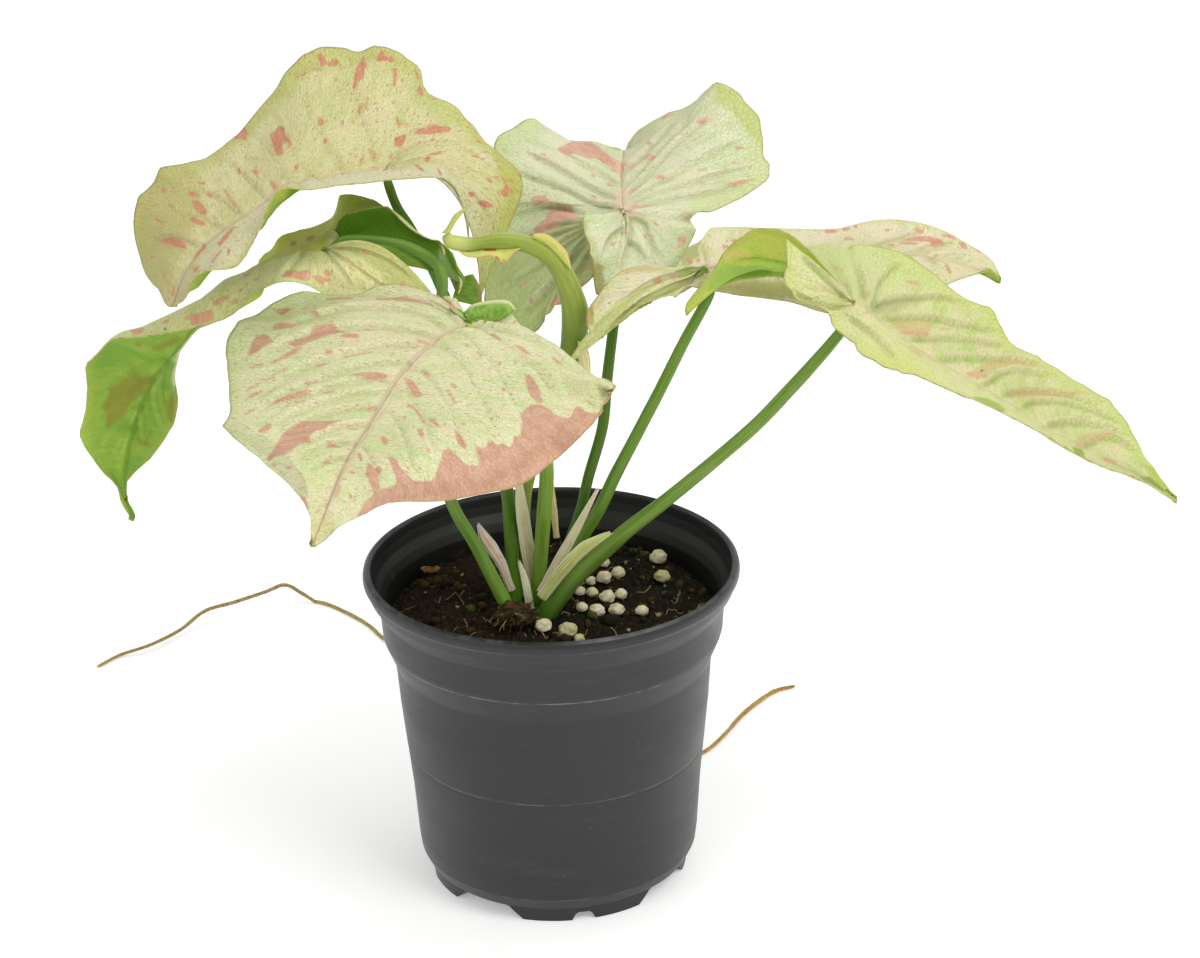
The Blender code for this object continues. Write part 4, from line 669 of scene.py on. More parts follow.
        ([(466, 322), (500, 325), (535, 338), (565, 358), (590, 378)], (0, 1)),
    ],
    creases=[
        [(232, 413), (236, 419.6), (258.7, 434.3), (279.2, 447.5), (296.8, 469.5), (308.6, 482.7), (312.2, 495.9)],
        [(362, 503.2), (380, 492), (395, 485.6), (430, 482), (473.5, 476), (513.3, 459.9), (530, 443), (545.4, 432.3), (554.6, 420)],
        [(582.2, 397), (589.8, 391), (595.9, 381.8)],
    ],
)

MARKS["leaf_left"].update(
    pink=[
        [(282.3, 276.7), (286.1, 271.1), (292.8, 271.1), (300.1, 271.7), (308.8, 269.5), (310.4, 273.7), (308.8, 280.4), (300.8, 279.8), (294.1, 277.1)],
        [(312.2, 276.2), (319.5, 275.8), (323.6, 278.4), (330, 279.1), (330, 281.1), (324.2, 281.8), (322.9, 286.5), (319.5, 283.1)],
        [(184.3, 317.9), (189.6, 315.3), (195, 314.6), (205.7, 311.9), (211.7, 309.9), (212.7, 315.3), (212.7, 320.6), (205.7, 322.2),
         (195, 324.6), (191.6, 324.6), (191, 320), (185.6, 319)],
        [(213.1, 305.2), (215.1, 301.2), (221.8, 298.1), (227.1, 296.2), (230.5, 297.9), (223.1, 301.2), (216.4, 305.6)],
        [(130, 329.5), (137, 328), (144, 326.5), (142, 331), (134, 333)],
        (326.5, 273, 328, 273, 2.6), (233, 302.5, 236.5, 300, 1.5), (225.8, 311.2, 226, 311.5, 1.5), (245, 276.5, 249, 274.5, 1.1),
        (398, 280.3, 398.4, 280.6, 1.2), (401.7, 284.7, 402.2, 285, 2.2), (350, 268, 354, 270.5, 0.8), (358, 262, 363, 266, 0.7),
        (255, 280, 258, 279, 0.9), (340, 286, 344, 288.5, 0.8), (392, 258, 392.5, 258.4, 1.2), (410, 268, 410.4, 268.6, 1.2),
        (365, 252, 365.8, 253, 1.6), (380, 250, 380.6, 250.5, 1.0), (163, 322, 167, 320.5, 0.9), (240, 291, 242, 290, 0.9),
    ],
    tan=[
        [(151.7, 349.3), (159.4, 341.6), (166.5, 339.5), (181.2, 336), (174.9, 343.7), (165.1, 347.2), (155.2, 350.7)],
        [(101.2, 406.8), (107.5, 394.2), (108.9, 387.2), (117.3, 383), (128.6, 374.5), (137, 370.3), (141.2, 375.9), (155.2, 377.4),
         (151, 385.8), (145.4, 394.2), (135.6, 397), (128.6, 405.4), (125.8, 413.8), (115.9, 420.9), (110.3, 428.6), (106.1, 427.9),
         (104.7, 419.4), (106.1, 412.4)],
        [(165.1, 413.8), (169.3, 394.2), (172.1, 394.2), (173.5, 408.2), (172.1, 420.9), (169.3, 422.3)],
        [(138.4, 443.3), (141.2, 436.3), (146.8, 440.5), (151, 446.1), (145.4, 446.1)],
        (149.6, 432, 150, 432.4, 2.4), (137.7, 343, 138.4, 343.4, 3),
        (350, 212, 356, 208, 2.0), (330, 222, 336, 218, 1.5), (300, 236, 306, 233, 2.2),
    ],
    dark=[(164, 327.6, 164.4, 328.8, 1.4)],
    veins=[
        ([(330, 250), (352, 262), (372, 276), (392, 290)], (0, 1)),
        ([(326, 248), (345, 270), (356, 288)], (0, 1)),
        ([(334, 244), (365, 248), (395, 262), (418, 282)], (0, 1)),
        ([(300, 250), (292, 262), (280, 274)], (0, 1)),
        ([(172, 357), (150, 362), (128, 372), (108, 388), (96, 402)], (0, 1)),
        ([(158, 374), (138, 384), (116, 400), (102, 418)], (0, 1)),
        ([(142, 402), (126, 412), (108, 430), (98, 444)], (0, 1)),
        ([(134, 424), (120, 436), (110, 452)], (0, 1)),
        ([(172, 357), (166, 372), (164, 392), (168, 406)], (1, 0)),
        ([(152, 380), (150, 396), (154, 414), (162, 430)], (1, 0)),
        ([(138, 412), (138, 428), (142, 446)], (1, 0)),
    ],
)

MARKS["leaf_back"].update(
    pink=[
        [(555.4, 150), (562.1, 147.5), (570.6, 142.7), (579.1, 141.5), (588.7, 142.5), (596, 147.5), (602.1, 154.8), (609.3, 159.7),
         (620.2, 165.7), (622.9, 166.9), (622.1, 173), (616.6, 170), (608.1, 162.7), (598.4, 159.7), (586.3, 159.7), (574.2, 156.6), (564.5, 154.8)],
        [(530.6, 200.3), (535.4, 196.6), (542.7, 196.6), (550.6, 202.1), (542.7, 203.3), (534.2, 203.3)],
        [(539.7, 226.3), (547.5, 220.2), (547.5, 214.2), (554.8, 209.3), (564.5, 207.5), (571.8, 209.9), (574.2, 214.2), (580.9, 218.4),
         (579.1, 221.5), (566.9, 221.5), (554.8, 222.9), (545.1, 225.7)],
        [(534.2, 231.2), (542.7, 225.7), (554.8, 222.9), (562.1, 223.9), (553.6, 229.9), (545.1, 233), (539.1, 233)],
        [(605.7, 185.7), (610, 183.3), (614.2, 188.1), (609.3, 188.1)],
        [(608.7, 245.7), (612.4, 242.1), (615.4, 243.3), (613, 245.7)],
        [(639.7, 163.1), (644.8, 159.1), (650.9, 156), (656.7, 155.8), (652.1, 159.1), (644.8, 161.5)],
        [(626.7, 197.8), (632.7, 191.2), (638.8, 187.5), (643.4, 186.9), (640, 190.6), (632.7, 194.2)],
        [(697.5, 123.1), (701.8, 119.1), (707.6, 118.7), (706.6, 121.5), (701.8, 123.3)],
        [(734.3, 146.1), (739.3, 146.9), (745.4, 148.5), (740.6, 149.7), (736.3, 150)],
        [(725.4, 185.1), (733.3, 184.5), (738.1, 182.1), (741.8, 180.9), (743, 183.3), (736.9, 185.7), (730.9, 186.1)],
        [(653.1, 222.1), (655.7, 222.9), (658.8, 226.1), (654.5, 226.3)],
        [(679.4, 237.2), (684.2, 237), (686.3, 240.2), (683.6, 244.5), (680, 246.9), (677.8, 246.3), (679.4, 242.1)],
        [(659.4, 118.5), (665.4, 114.2), (672.7, 113), (667.9, 116.7), (663, 119.1)],
        (611, 171.8, 616, 173, 1.3), (622, 167, 621, 179, 1.6), (619.5, 208.7, 620, 209, 1.5), (619.5, 243, 620, 243.2, 1),
        (621.8, 233.8, 626, 234.5, 1.4), (592.5, 174.5, 594, 177, 1.2), (592, 197.5, 596, 199.5, 1.3), (603.5, 198.5, 604, 199, 1.2),
        (542, 156.5, 545, 157.5, 1.2), (743, 182.7, 753.9, 179.7, 0.7), (657.5, 180, 663, 178.3, 1.3), (698.5, 171.2, 706, 170.2, 0.9),
        (649, 146, 652, 145.5, 1), (626.5, 167.5, 632.5, 167, 1), (641.5, 173.5, 644.5, 172.5, 0.9), (627.5, 211.5, 636, 207.5, 1.1),
        (636, 207.5, 653, 205.8, 0.8), (725, 170, 725.5, 170.2, 1), (733.5, 163, 735, 164, 1.2), (644.5, 236, 646, 237, 1.6),
        (584, 269, 592, 262, 1.6), (556, 268, 556.4, 268.5, 0.8),
    ],
    tan=[
        (552.4, 185, 553, 185.5, 1.3), (541.5, 177, 542, 177.4, 1.2), (690, 135.5, 690.5, 136, 1.4), (640.5, 216, 645, 217, 1.6),
        (709, 96, 709.5, 96.4, 1.2), (720, 91.5, 720.5, 93, 1.6), (743.5, 112, 744, 112.4, 1.4), (748.5, 112.5, 749, 113, 1),
        (757.5, 131.5, 760, 132, 1.6), (750.3, 131, 750.6, 131.2, 1), (719.5, 177, 720, 177.4, 1.6), (701.8, 183.5, 702.4, 184, 1.8),
        (717.5, 182, 718, 182.5, 1.2), (746.5, 175.5, 747, 176, 1.2), (690.8, 151, 691.2, 151.4, 1.2), (687, 147, 688, 147.2, 1.3),
        (652, 237, 652.6, 237.4, 1.3), (590, 240, 591, 243, 1.2), (585, 228, 586, 229, 1.0),
    ],
    dark=[(593, 189.8, 593.2, 190.4, 1.0), (725, 181.5, 725.8, 184, 1.2)],
    veins=[
        ([(623, 200), (640, 180), (665, 150), (690, 128), (716, 108)], (0, 1)),
        ([(624, 204), (650, 186), (690, 162), (724, 144), (745, 138)], (0, 1)),
        ([(625, 207), (655, 192), (700, 178), (735, 168), (756, 164)], (0, 1)),
        ([(626, 209), (660, 199), (700, 192), (730, 185), (752, 181)], (0, 1)),
        ([(622, 190), (640, 168), (662, 144), (682, 124), (698, 108)], (0, 1)),
        ([(624, 170), (640, 156), (658, 138), (674, 122)], (0, 1)),
        ([(620, 206), (590, 200), (560, 186), (530, 176), (512, 168)], (0, 1)),
        ([(620, 200), (595, 188), (568, 172), (545, 160), (520, 148)], (0, 1)),
        ([(621, 185), (604, 172), (584, 162), (560, 150)], (0, 1)),
        ([(622, 168), (608, 160), (596, 150), (580, 142)], (0, 1)),
        ([(584, 212), (556, 204), (530, 203), (508, 204)], (0, 1)),
        ([(582, 222), (560, 223), (534, 231), (512, 240)], (0, 1)),
        ([(583, 229), (562, 240), (545, 254), (530, 270)], (0, 1)),
        ([(585, 233), (572, 254), (552, 282), (520, 314)], (1, 0)),
        ([(628, 216), (627, 236), (621, 258), (616, 276)], (1, 0)),
        ([(625, 226), (612, 232), (603, 244), (600, 258)], (0, 1)),
        ([(628, 214), (646, 222), (652, 236), (662, 262)], (0, 1)),
        ([(629, 240), (640, 248), (648, 262)], (0, 1)),
        ([(628, 210), (655, 212), (680, 216), (700, 220)], (0, 1)),
    ],
)

MARKS["leaf_right"].update(
    pink=[
        (901.8, 333.2, 925.2, 335.4, 1.5), (907.6, 282, 918, 283.5, 1.4), (862.5, 296, 863, 296.6, 1.8), (1104, 459, 1115, 462.5, 1.5),
        (1075, 442, 1084, 446, 1.2), (968.5, 374.5, 984, 378, 1.8), (845, 285, 847, 287, 1.2), (834, 269, 842, 271, 0.9),
    ],
    tan=[
        [(887.8, 325.9), (893.7, 320.8), (903.2, 318.5), (916.4, 318.5), (928.2, 320.8), (934, 324.4), (929.6, 331.8), (920.8, 336.2),
         (907.6, 335.4), (897.4, 331)],
        (938.4, 331, 950, 331, 1.8),
        [(897, 340.6), (904.7, 345), (919.4, 350.8), (923, 356.7), (919.4, 356.7), (909.1, 349.4)],
        [(968.5, 373.9), (979.1, 368), (993.7, 359.2), (1008.4, 358.5), (1026, 360.7), (1043.6, 368), (1030.4, 368.7), (1011.3, 367.3),
         (995.2, 370.9), (984.9, 376.8), (977.6, 379.7)],
        [(1010.6, 393), (1021.6, 389.7), (1042.1, 389.7), (1062.7, 393), (1087.6, 394.4), (1087.6, 396.6), (1065.6, 397.4),
         (1042.1, 397.4), (1024.5, 400.3), (1017.2, 398.8)],
        (1074.5, 419, 1087.5, 421, 1.3),
        [(1075.9, 438.4), (1092, 435.5), (1105.2, 432.6), (1117, 435.5), (1103.8, 438.4), (1092, 442.1), (1081.8, 441.4)],
        (823, 287, 834, 294, 1.8),
    ],
    dark=[(911.5, 340.2, 912, 341, 1.0), (980, 372, 982.5, 372.2, 1.5)],
    veins=[
        ([(868, 309.8), (882.7, 301), (904.7, 296.6), (926.7, 295.1), (948.7, 296.6), (975.1, 303.9)], (0, 1)),
        ([(881.2, 316.4), (904.7, 315.9), (926.7, 316.4), (956, 322.2), (985.4, 327.4), (1008.8, 331.8)], (0, 1)),
        ([(907.6, 336.2), (926.7, 336.5), (956, 336.9), (985.4, 340.6), (1008.8, 346.4)], (0, 1)),
        ([(935, 356), (960, 356.7), (989.3, 357), (1008.4, 357.7), (1026, 360), (1048, 368)], (0, 1)),
        ([(980, 384), (987.9, 379.8), (1004, 371), (1018.7, 368), (1048, 371.7), (1062.7, 376.8)], (0, 1)),
        ([(1000, 394), (1010, 390.8), (1026, 389.3), (1048, 390.8), (1077.4, 397.4), (1106.7, 410.6)], (0, 1)),
        ([(1020, 406), (1030, 400.5), (1042.1, 398.8), (1062.7, 399.6), (1092, 407.6), (1109.6, 416.4), (1125.8, 431.1)], (0, 1)),
        ([(1044, 424), (1054, 421.5), (1070, 420.8), (1092, 423), (1114, 426.7), (1130.2, 435.5)], (0, 1)),
        ([(1080, 444), (1089.1, 441), (1099.4, 436.2), (1114, 435.5), (1128.7, 442.8), (1143.4, 456)], (0, 1)),
        ([(868, 306), (876, 284), (890, 268), (905, 262)], (0, 1)),
        ([(866, 300), (864, 282), (860, 262)], (0, 1)),
        ([(847, 298), (822, 272), (800, 252)], (0, 1)),
        ([(845, 305), (826, 303), (806, 296), (790, 286)], (0, 1)),
        ([(788, 267), (761, 260), (743, 260), (728, 263)], (0, 1)),
        ([(850, 316), (866, 326), (884, 342), (900, 360)], (0, 1)),
    ],
)

MARKS["leaf_back_right"].update(
    pink=[
        [(653.1, 281.2), (661, 276.9), (661.8, 282.8), (658, 284.6), (653.4, 282.4)],
        [(722.3, 244.5), (728.1, 246.8), (723.8, 249.1)],
        [(903.2, 238.2), (912, 236.4), (919.4, 235.7), (929.6, 237.9), (938.4, 240.8), (945.8, 245.9), (939.2, 245.2), (934, 246.4),
         (928.2, 243), (916.4, 241.1), (909.1, 240.1)],
        [(940.6, 236.4), (948.7, 235.7), (953.1, 237.9), (955.7, 240.8), (947.2, 238.6)],
        [(958.2, 242.6), (964.8, 243), (967, 249.6), (961.9, 247.4)],
        (732, 240.8, 736, 241.4, 1.2), (749.8, 228.4, 752, 228.6, 1.0), (688, 260.5, 691, 263, 1.8), (698, 261.5, 698.4, 262, 1.5),
        (672.5, 278, 673, 278.4, 1.8), (900.5, 242.5, 916, 244.3, 1), (972.5, 246, 979.5, 251.5, 1), (826.5, 231, 835.5, 231, 1.4),
        (843.5, 229.5, 848, 229.5, 1.2), (855.5, 227, 856, 227.2, 1.3), (845, 239.3, 851.5, 239.8, 1.1), (889.5, 244.6, 893, 245, 1.1),
        (886, 230.5, 889, 229.4, 1), (916, 229.9, 922, 231.2, 1.4), (945.8, 266.5, 950, 272.8, 1.2), (933.6, 262, 933.8, 264, 0.9),
        (927.4, 253.6, 927.6, 254.4, 0.9),
    ],
    tan=[
        [(618.2, 275.1), (625.8, 269), (636.5, 265.9), (645.7, 265.2), (654.9, 267.5), (665.6, 268.7), (658, 270.5), (645.7, 270.8), (631.9, 272.8)],
        [(739.4, 289.6), (743.7, 285.1), (749.8, 285.5), (757.8, 287.4), (752.9, 290.4), (743.7, 290.4)],
        (590, 316, 592, 322, 2.0), (598, 308, 602, 303, 1.6), (614, 306, 616, 303, 1.1), (624, 309, 627, 306, 1.1), (612, 315.5, 612.5, 316, 1.0),
    ],
    veins=[
        ([(705, 266), (690, 270), (664, 274), (640, 284), (615, 304)], (0, 1)),
        ([(703, 268), (690, 276), (668, 284), (640, 298), (612, 322)], (0, 1)),
        ([(704, 262), (700, 250), (706, 238)], (1, 0)),
        ([(730, 262), (742, 250), (752, 236)], (0, 1)),
        ([(860, 254), (880, 242), (905, 234), (925, 230)], (0, 1)),
        ([(895, 256), (915, 248), (940, 242), (960, 242)], (0, 1)),
        ([(925, 258), (945, 254), (965, 254)], (0, 1)),
        ([(840, 258), (870, 270), (895, 284)], (0, 1)),
        ([(880, 256), (905, 266), (925, 278)], (0, 1)),
    ],
)

# ---------------------------------------------------------------- finer margins, in the front frame
OUTLINES = {
    ("leaf_upper_left", "right"): [[
        (480, 300), (486, 285), (491, 270), (497, 258), (503, 243), (506, 235), (509, 228), (514, 216), (518, 207), (521, 197), (523, 186),
        (521, 175), (517, 170), (513, 165), (507, 160), (500, 153), (493, 147), (486, 142), (480, 134), (474, 125), (468, 120), (463, 115),
        (459, 109), (452, 104), (446, 101), (439, 99), (432, 95.5), (427, 92.5), (423.5, 87), (422.3, 79), (421, 71), (418, 66), (413, 62),
        (408, 59), (403, 54.5), (398, 51.2), (392, 49), (386, 47), (378, 46.6), (375, 45.6), (370, 47.6), (365, 50), (361, 51.8), (357, 52.3),
        (353, 51.3), (349, 49.2), (345, 47.8), (340, 47.2), (335, 46.6), (328, 46.2), (320, 46.8), (315, 48.8), (310, 51.5), (303, 54.8),
        (299, 58), (295, 62.5), (290, 67.5), (284, 74), (281, 80), (277, 88), (270, 96.5), (262, 105), (252, 117), (245, 126), (238, 134),
        (230, 140), (222, 147), (215, 152), (206, 158), (200, 160), (192, 161.3), (182, 164), (172, 165.3), (163, 166.6), (159, 168),
        (156, 176), (153, 183), (146, 190), (138, 196), (136, 203), (134, 210), (133, 222), (134, 232), (136, 244), (139, 254), (142, 266),
        (146, 276), (152, 284), (158, 289), (161, 296), (164, 303), (168, 307), (172, 308)]],
    ("leaf_back", "right"): [[
        (585, 212), (583, 221), (585, 231), (588, 240), (589.5, 247), (590, 253), (593, 259), (593.5, 270), (594.5, 284), (597, 296), (604, 292),
        (628, 294), (660, 288), (681, 268), (684, 257), (690, 244), (693, 238), (696, 230), (693, 225), (690, 220), (695, 213), (703, 211),
        (711, 211.5), (720, 208), (730, 203), (740, 198), (750, 192), (760, 185.5), (767, 180), (769.5, 176), (769, 171), (770, 166), (768, 162),
        (764, 158), (763, 154), (763.4, 147), (763, 139), (761.5, 130), (760.5, 122), (759, 116), (754, 110), (749.5, 106), (745, 101),
        (741.5, 95), (737, 91), (730, 87), (724, 84), (717, 82), (713, 84), (708, 89), (702, 94), (697, 100), (690, 105), (682, 109),
        (675, 111), (668, 112.5), (660, 117), (652, 121), (644, 126), (638, 130), (633, 136), (628.5, 142), (626, 148), (626, 158)]],
    ("leaf_back", "left"): [[
        (600, 268), (596, 273), (591, 278), (585, 283.5), (579, 288), (572, 294), (566, 300), (561, 303.5), (556, 304), (551, 306), (551.5, 310),
        (548, 314), (544, 314.5), (543, 317), (544, 320), (541, 325), (537, 330), (532, 333.5), (520, 334), (501, 328), (490, 314), (484, 300), (485, 285),
        (487, 270), (489, 255), (492, 235), (496, 215), (500, 200), (507, 175), (500, 160), (494, 149), (494, 145), (495.5, 141), (498, 136),
        (504, 132), (512, 128), (518, 124), (522, 121), (528, 118.5), (535, 118), (536.3, 121), (536, 126), (534, 130), (534, 133),
        (538, 138), (542, 141.5), (549, 140), (560, 139), (575, 141), (590, 141), (598, 142), (604, 144.5), (610, 146), (616, 147),
        (621, 149), (626, 157)]],
    ("leaf_right", "left"): [[
        (789, 233), (782, 230.5), (775, 228), (766, 227.6), (757, 228), (750, 230.5), (743, 236), (735, 241), (727, 248), (722, 255), (718, 262),
        (713, 270), (705, 279), (699, 286), (692, 295), (686.5, 303), (684.5, 310), (686, 316), (690, 312), (697, 304), (705, 297),
        (712, 292), (722, 287), (735, 281.5), (750, 279), (766, 277.5)],
        [(852, 244), (866, 244.5), (880, 247), (900, 252), (918, 262), (935, 274), (946, 284), (952, 289), (960, 295), (966, 299), (974, 302),
         (982, 305), (989, 306.5), (993, 310), (996, 315), (998, 321), (1002, 328), (1006, 336), (1010, 342), (1016, 347), (1024, 351),
         (1032, 354.5), (1039, 357), (1042, 361), (1050, 365), (1058, 369), (1066, 374), (1074, 380), (1082, 384), (1090, 389), (1098, 394),
         (1104, 397), (1110, 399.5), (1114, 406), (1118, 411), (1123, 417), (1127, 422), (1130, 428), (1132, 433), (1136, 440), (1140, 447),
         (1143, 454), (1147, 460), (1151, 464), (1155, 469), (1159, 476), (1164, 482), (1170, 490), (1178, 499.5)]],
    ("leaf_right", "right"): [[
        (786, 238), (786, 250), (787, 262), (787, 267), (784.5, 272), (784, 279), (787, 286), (792, 291), (794, 295), (798, 299.5),
        (806, 301.5), (814, 304), (822, 308), (828, 312), (831, 317), (832, 323), (836, 329), (842, 333), (847, 337.5), (853, 341.5),
        (857, 344), (857, 348), (860, 352), (864, 355.5), (868, 357.5), (874, 359.5), (879, 363), (883, 366), (888, 367.5), (892, 369.3),
        (898, 369.5), (902, 372.5), (908, 373), (915, 374), (922, 377), (930, 380.5), (938, 384.5), (946, 388), (954, 391), (961, 394),
        (966, 396.5), (972, 397.5), (977, 399.5), (984, 403), (992, 406.5), (1000, 410.5), (1010, 416), (1020, 421), (1030, 426.5),
        (1040, 431), (1048, 435), (1055, 439), (1060, 443.5), (1066, 446), (1071, 448.5), (1077, 453), (1082, 456), (1090, 460),
        (1100, 465), (1108, 468), (1114, 470), (1120, 471), (1130, 474), (1140, 479), (1150, 484), (1160, 489.5), (1170, 495), (1178, 500)]],
    ("leaf_back_right", "right"): [[
        (665, 268), (655, 266.5), (645, 265.2), (636, 266), (628, 268.5), (621, 272), (616, 276), (610, 282), (604, 289), (600, 295), (595, 302),
        (590, 308), (588, 314), (587.5, 320), (589, 327), (591, 332), (587, 337), (582, 343), (577, 350), (572, 357), (571, 361), (577, 358),
        (585, 351.5), (592, 346), (600, 339.5), (607, 331), (613, 326), (619, 320), (626, 314), (633, 308), (641, 304), (650, 301),
        (660, 298), (667, 296.5), (672, 295.5), (677, 299.3), (678, 293), (684, 289), (688, 284.5), (694, 285.5), (700, 287.5),
        (708, 290), (720, 291.5), (736, 294), (752, 296), (770, 298.5), (788, 301)]],
    ("leaf_front", "right"): [[
        (463, 309), (461, 305), (458, 300), (456, 298), (452, 297), (449, 295.5), (445, 296), (440, 298), (434, 297), (428, 294.5), (420, 291.5),
        (412, 288.5), (404, 286), (396, 284.5), (388, 283.8), (380, 284.5), (373, 287), (366, 291), (358, 295), (350, 296), (342, 296),
        (334, 295), (326, 294), (318, 292), (310, 291), (304, 290.5), (296, 292.5), (288, 295), (280, 299), (272, 303), (265, 308),
        (260, 312), (255, 315), (248, 317), (242, 319), (238, 320.5), (234, 327), (230, 333), (227, 340), (226, 347), (225.5, 354),
        (227, 362), (227, 370), (228, 378), (229, 386), (229, 394), (230, 402), (231, 408), (230, 413), (227, 419), (222, 426),
        (227, 431), (233, 437), (241, 443), (249, 450), (257, 456), (262, 461), (268, 467), (275, 472), (282, 478), (289, 484),
        (294, 490), (299, 496), (304, 503), (307, 510), (310, 517), (311, 523), (310, 529), (312, 536), (313, 545)]],
    ("leaf_front", "left"): [[
        (476, 321.5), (484, 322), (491, 322), (497, 320.5), (499, 315), (502, 310.5), (505, 309), (509, 311), (513, 315), (517, 320), (521, 325), (526, 329),
        (534, 333), (541, 337), (548, 341), (555, 345), (562, 350), (569, 356), (576, 361), (581, 365), (584, 368), (590, 372),
        (596, 376), (602, 378.5), (607, 379), (611, 382), (614, 384), (616.5, 386), (615, 388), (612, 392), (610, 397), (607, 402),
        (603, 405), (602, 408), (603, 411), (600, 414), (597, 418), (592, 424), (586, 430), (580, 437), (573, 444), (566, 451),
        (559, 457), (552, 462), (545, 468), (538, 474), (530, 479), (522, 484), (514, 487), (505, 489.5), (495, 491), (485, 493),
        (476, 495), (466, 497), (456, 499), (446, 501), (436, 501.5), (426, 502), (416, 502), (406, 501.5), (396, 502), (388, 503),
        (380, 506), (372, 510), (364, 514), (355, 519), (347, 522), (341, 525), (335, 529), (330, 534), (325, 539), (320, 543), (313, 545)]],
    ("leaf_left", "right"): [[
        (334, 230), (338, 220), (346, 213), (356, 210), (368, 207.5), (380, 206), (388, 206.5), (394, 213), (400, 220), (407, 226.5),
        (415, 232), (424, 236.5), (432, 239.5), (440, 240), (442, 250), (445, 261), (450, 267), (456, 274), (460, 279), (459, 288), (457, 296)],
        [(374, 200), (368, 198), (362, 196), (352, 194), (345, 194), (339, 195.5), (338, 203), (336.5, 211), (334, 217), (328, 220.5),
         (321, 223.5), (312, 227), (305, 228.5), (299, 229.5), (294, 231.5), (288, 233), (282, 235.5), (277, 240), (274, 246),
         (270, 250.5), (264, 254), (259, 260)],
        [(190, 333), (185, 341), (180, 350), (176.5, 359), (174.5, 369), (174, 379), (175.5, 388), (177, 397), (176.8, 406), (175, 416),
         (172.5, 424.5), (168, 431), (163, 440), (157, 449), (150, 458.5), (143, 464.5), (137, 470.5), (132, 476), (126.5, 479),
         (124.5, 483), (124.5, 492), (126, 501), (129.5, 510), (133, 516), (136, 520.5)]],
    ("leaf_left", "left"): [[
        (303, 284), (294, 282), (284, 281.5), (275, 282.5), (268, 285.5), (260, 289), (251, 296), (243, 303), (239, 307), (233, 313),
        (224, 318.5), (214, 322), (204, 324.5), (196, 325.5), (192, 328), (180, 330), (168, 332), (155, 334), (142, 335.5), (128, 336.5),
        (113, 337.5), (107, 342), (101, 349), (94, 356), (87, 362), (85, 368), (86, 377), (87, 387), (86.5, 398), (85.3, 410), (82.5, 421),
        (79.5, 430), (79.5, 436), (83.5, 445), (89, 454), (94, 461), (100, 469.5), (106, 476), (112, 481), (117, 488), (119, 494),
        (120, 500), (124, 508), (129, 515), (136, 520.5)]],
}

# rows of the basal lobes that are finer here than in the solids
LEAVES["leaf_back_right"]["left"][:5] = [
    (0, (690, 271, 10.2), (672, 273, 9.0)), (0, (691, 264, 12), (679, 263, 12.5)), (0, (695, 258, 14), (685, 252, 17)),
    (0, (699, 253, 16), (691, 245.5, 20)), (0, (705, 250, 18), (699, 242, 22)), (0, (710, 247, 20.5), (706, 233, 26)), (0, (716, 245, 22.5), (713, 227.5, 29)),
]
LEAVES["leaf_front"]["left"][:4] = [
    (0, (471, 321, -28.6), (476, 321.5, -29.5)), (0, (480, 321, -28.6), (488, 322, -29.6)), (0, (490, 321, -28), (499, 315, -28.6)),
    (0, (492, 319, -28), (505, 309, -27.5)), (0, (494, 320, -28), (513, 315, -27)),
]

# ---------------------------------------------------------------- patches of another tone: (outline, tone, amount, softness), upper side and underside
ZONES = {name: dict(upper=[], under=[]) for name in LEAVES}
ZONES["leaf_upper_left"]["upper"] = [
    ([(133, 190), (150, 170), (172, 164), (196, 178), (205, 200), (196, 226), (176, 262), (172, 306), (150, 300), (130, 250)], (184, 178, 112), 0.75, 16),
    ([(496, 150), (524, 168), (524, 196), (512, 228), (500, 236), (504, 200), (500, 176)], (182, 186, 96), 0.7, 9),
    ([(400, 52), (424, 66), (426, 90), (450, 100), (470, 118), (440, 118), (414, 104), (402, 80)], (196, 200, 130), 0.55, 10),
    ([(280, 80), (300, 56), (332, 46), (350, 50), (330, 60), (304, 72), (288, 96)], (198, 200, 124), 0.65, 9),
    ([(300, 182), (360, 172), (420, 166), (450, 168), (446, 178), (380, 182), (306, 192)], (222, 218, 186), 0.8, 5),
    ([(196, 262), (220, 232), (262, 204), (278, 194), (258, 230), (238, 262), (206, 272)], (214, 210, 172), 0.8, 7),
    ([(170, 306), (176, 280), (192, 262), (200, 270), (194, 300)], (190, 184, 142), 0.8, 5),
    ([(452, 176), (466, 190), (480, 226), (472, 232), (462, 204), (446, 182)], (216, 214, 176), 0.6, 4),
]
ZONES["leaf_left"]["upper"] = [
    ([(250, 270), (262, 252), (276, 238), (300, 226), (326, 218), (336, 212), (334, 222), (328, 238), (320, 250), (300, 251), (272, 259)], (150, 148, 48), 0.95, 4),
    ([(316, 244), (322, 224), (336, 214), (350, 208), (338, 222), (328, 240)], (186, 180, 84), 0.75, 6),
    ([(336, 192), (352, 192), (392, 206), (360, 208), (336, 220)], (152, 152, 66), 0.9, 5),
    ([(352, 206), (370, 200), (390, 206), (372, 207), (356, 211)], (176, 152, 122), 0.6, 3),
    ([(340, 242), (380, 238), (412, 254), (432, 292), (400, 300), (372, 270)], (170, 178, 104), 0.7, 12),
    ([(100, 340), (140, 326), (180, 312), (200, 318), (150, 334)], (206, 204, 150), 0.5, 8),
]
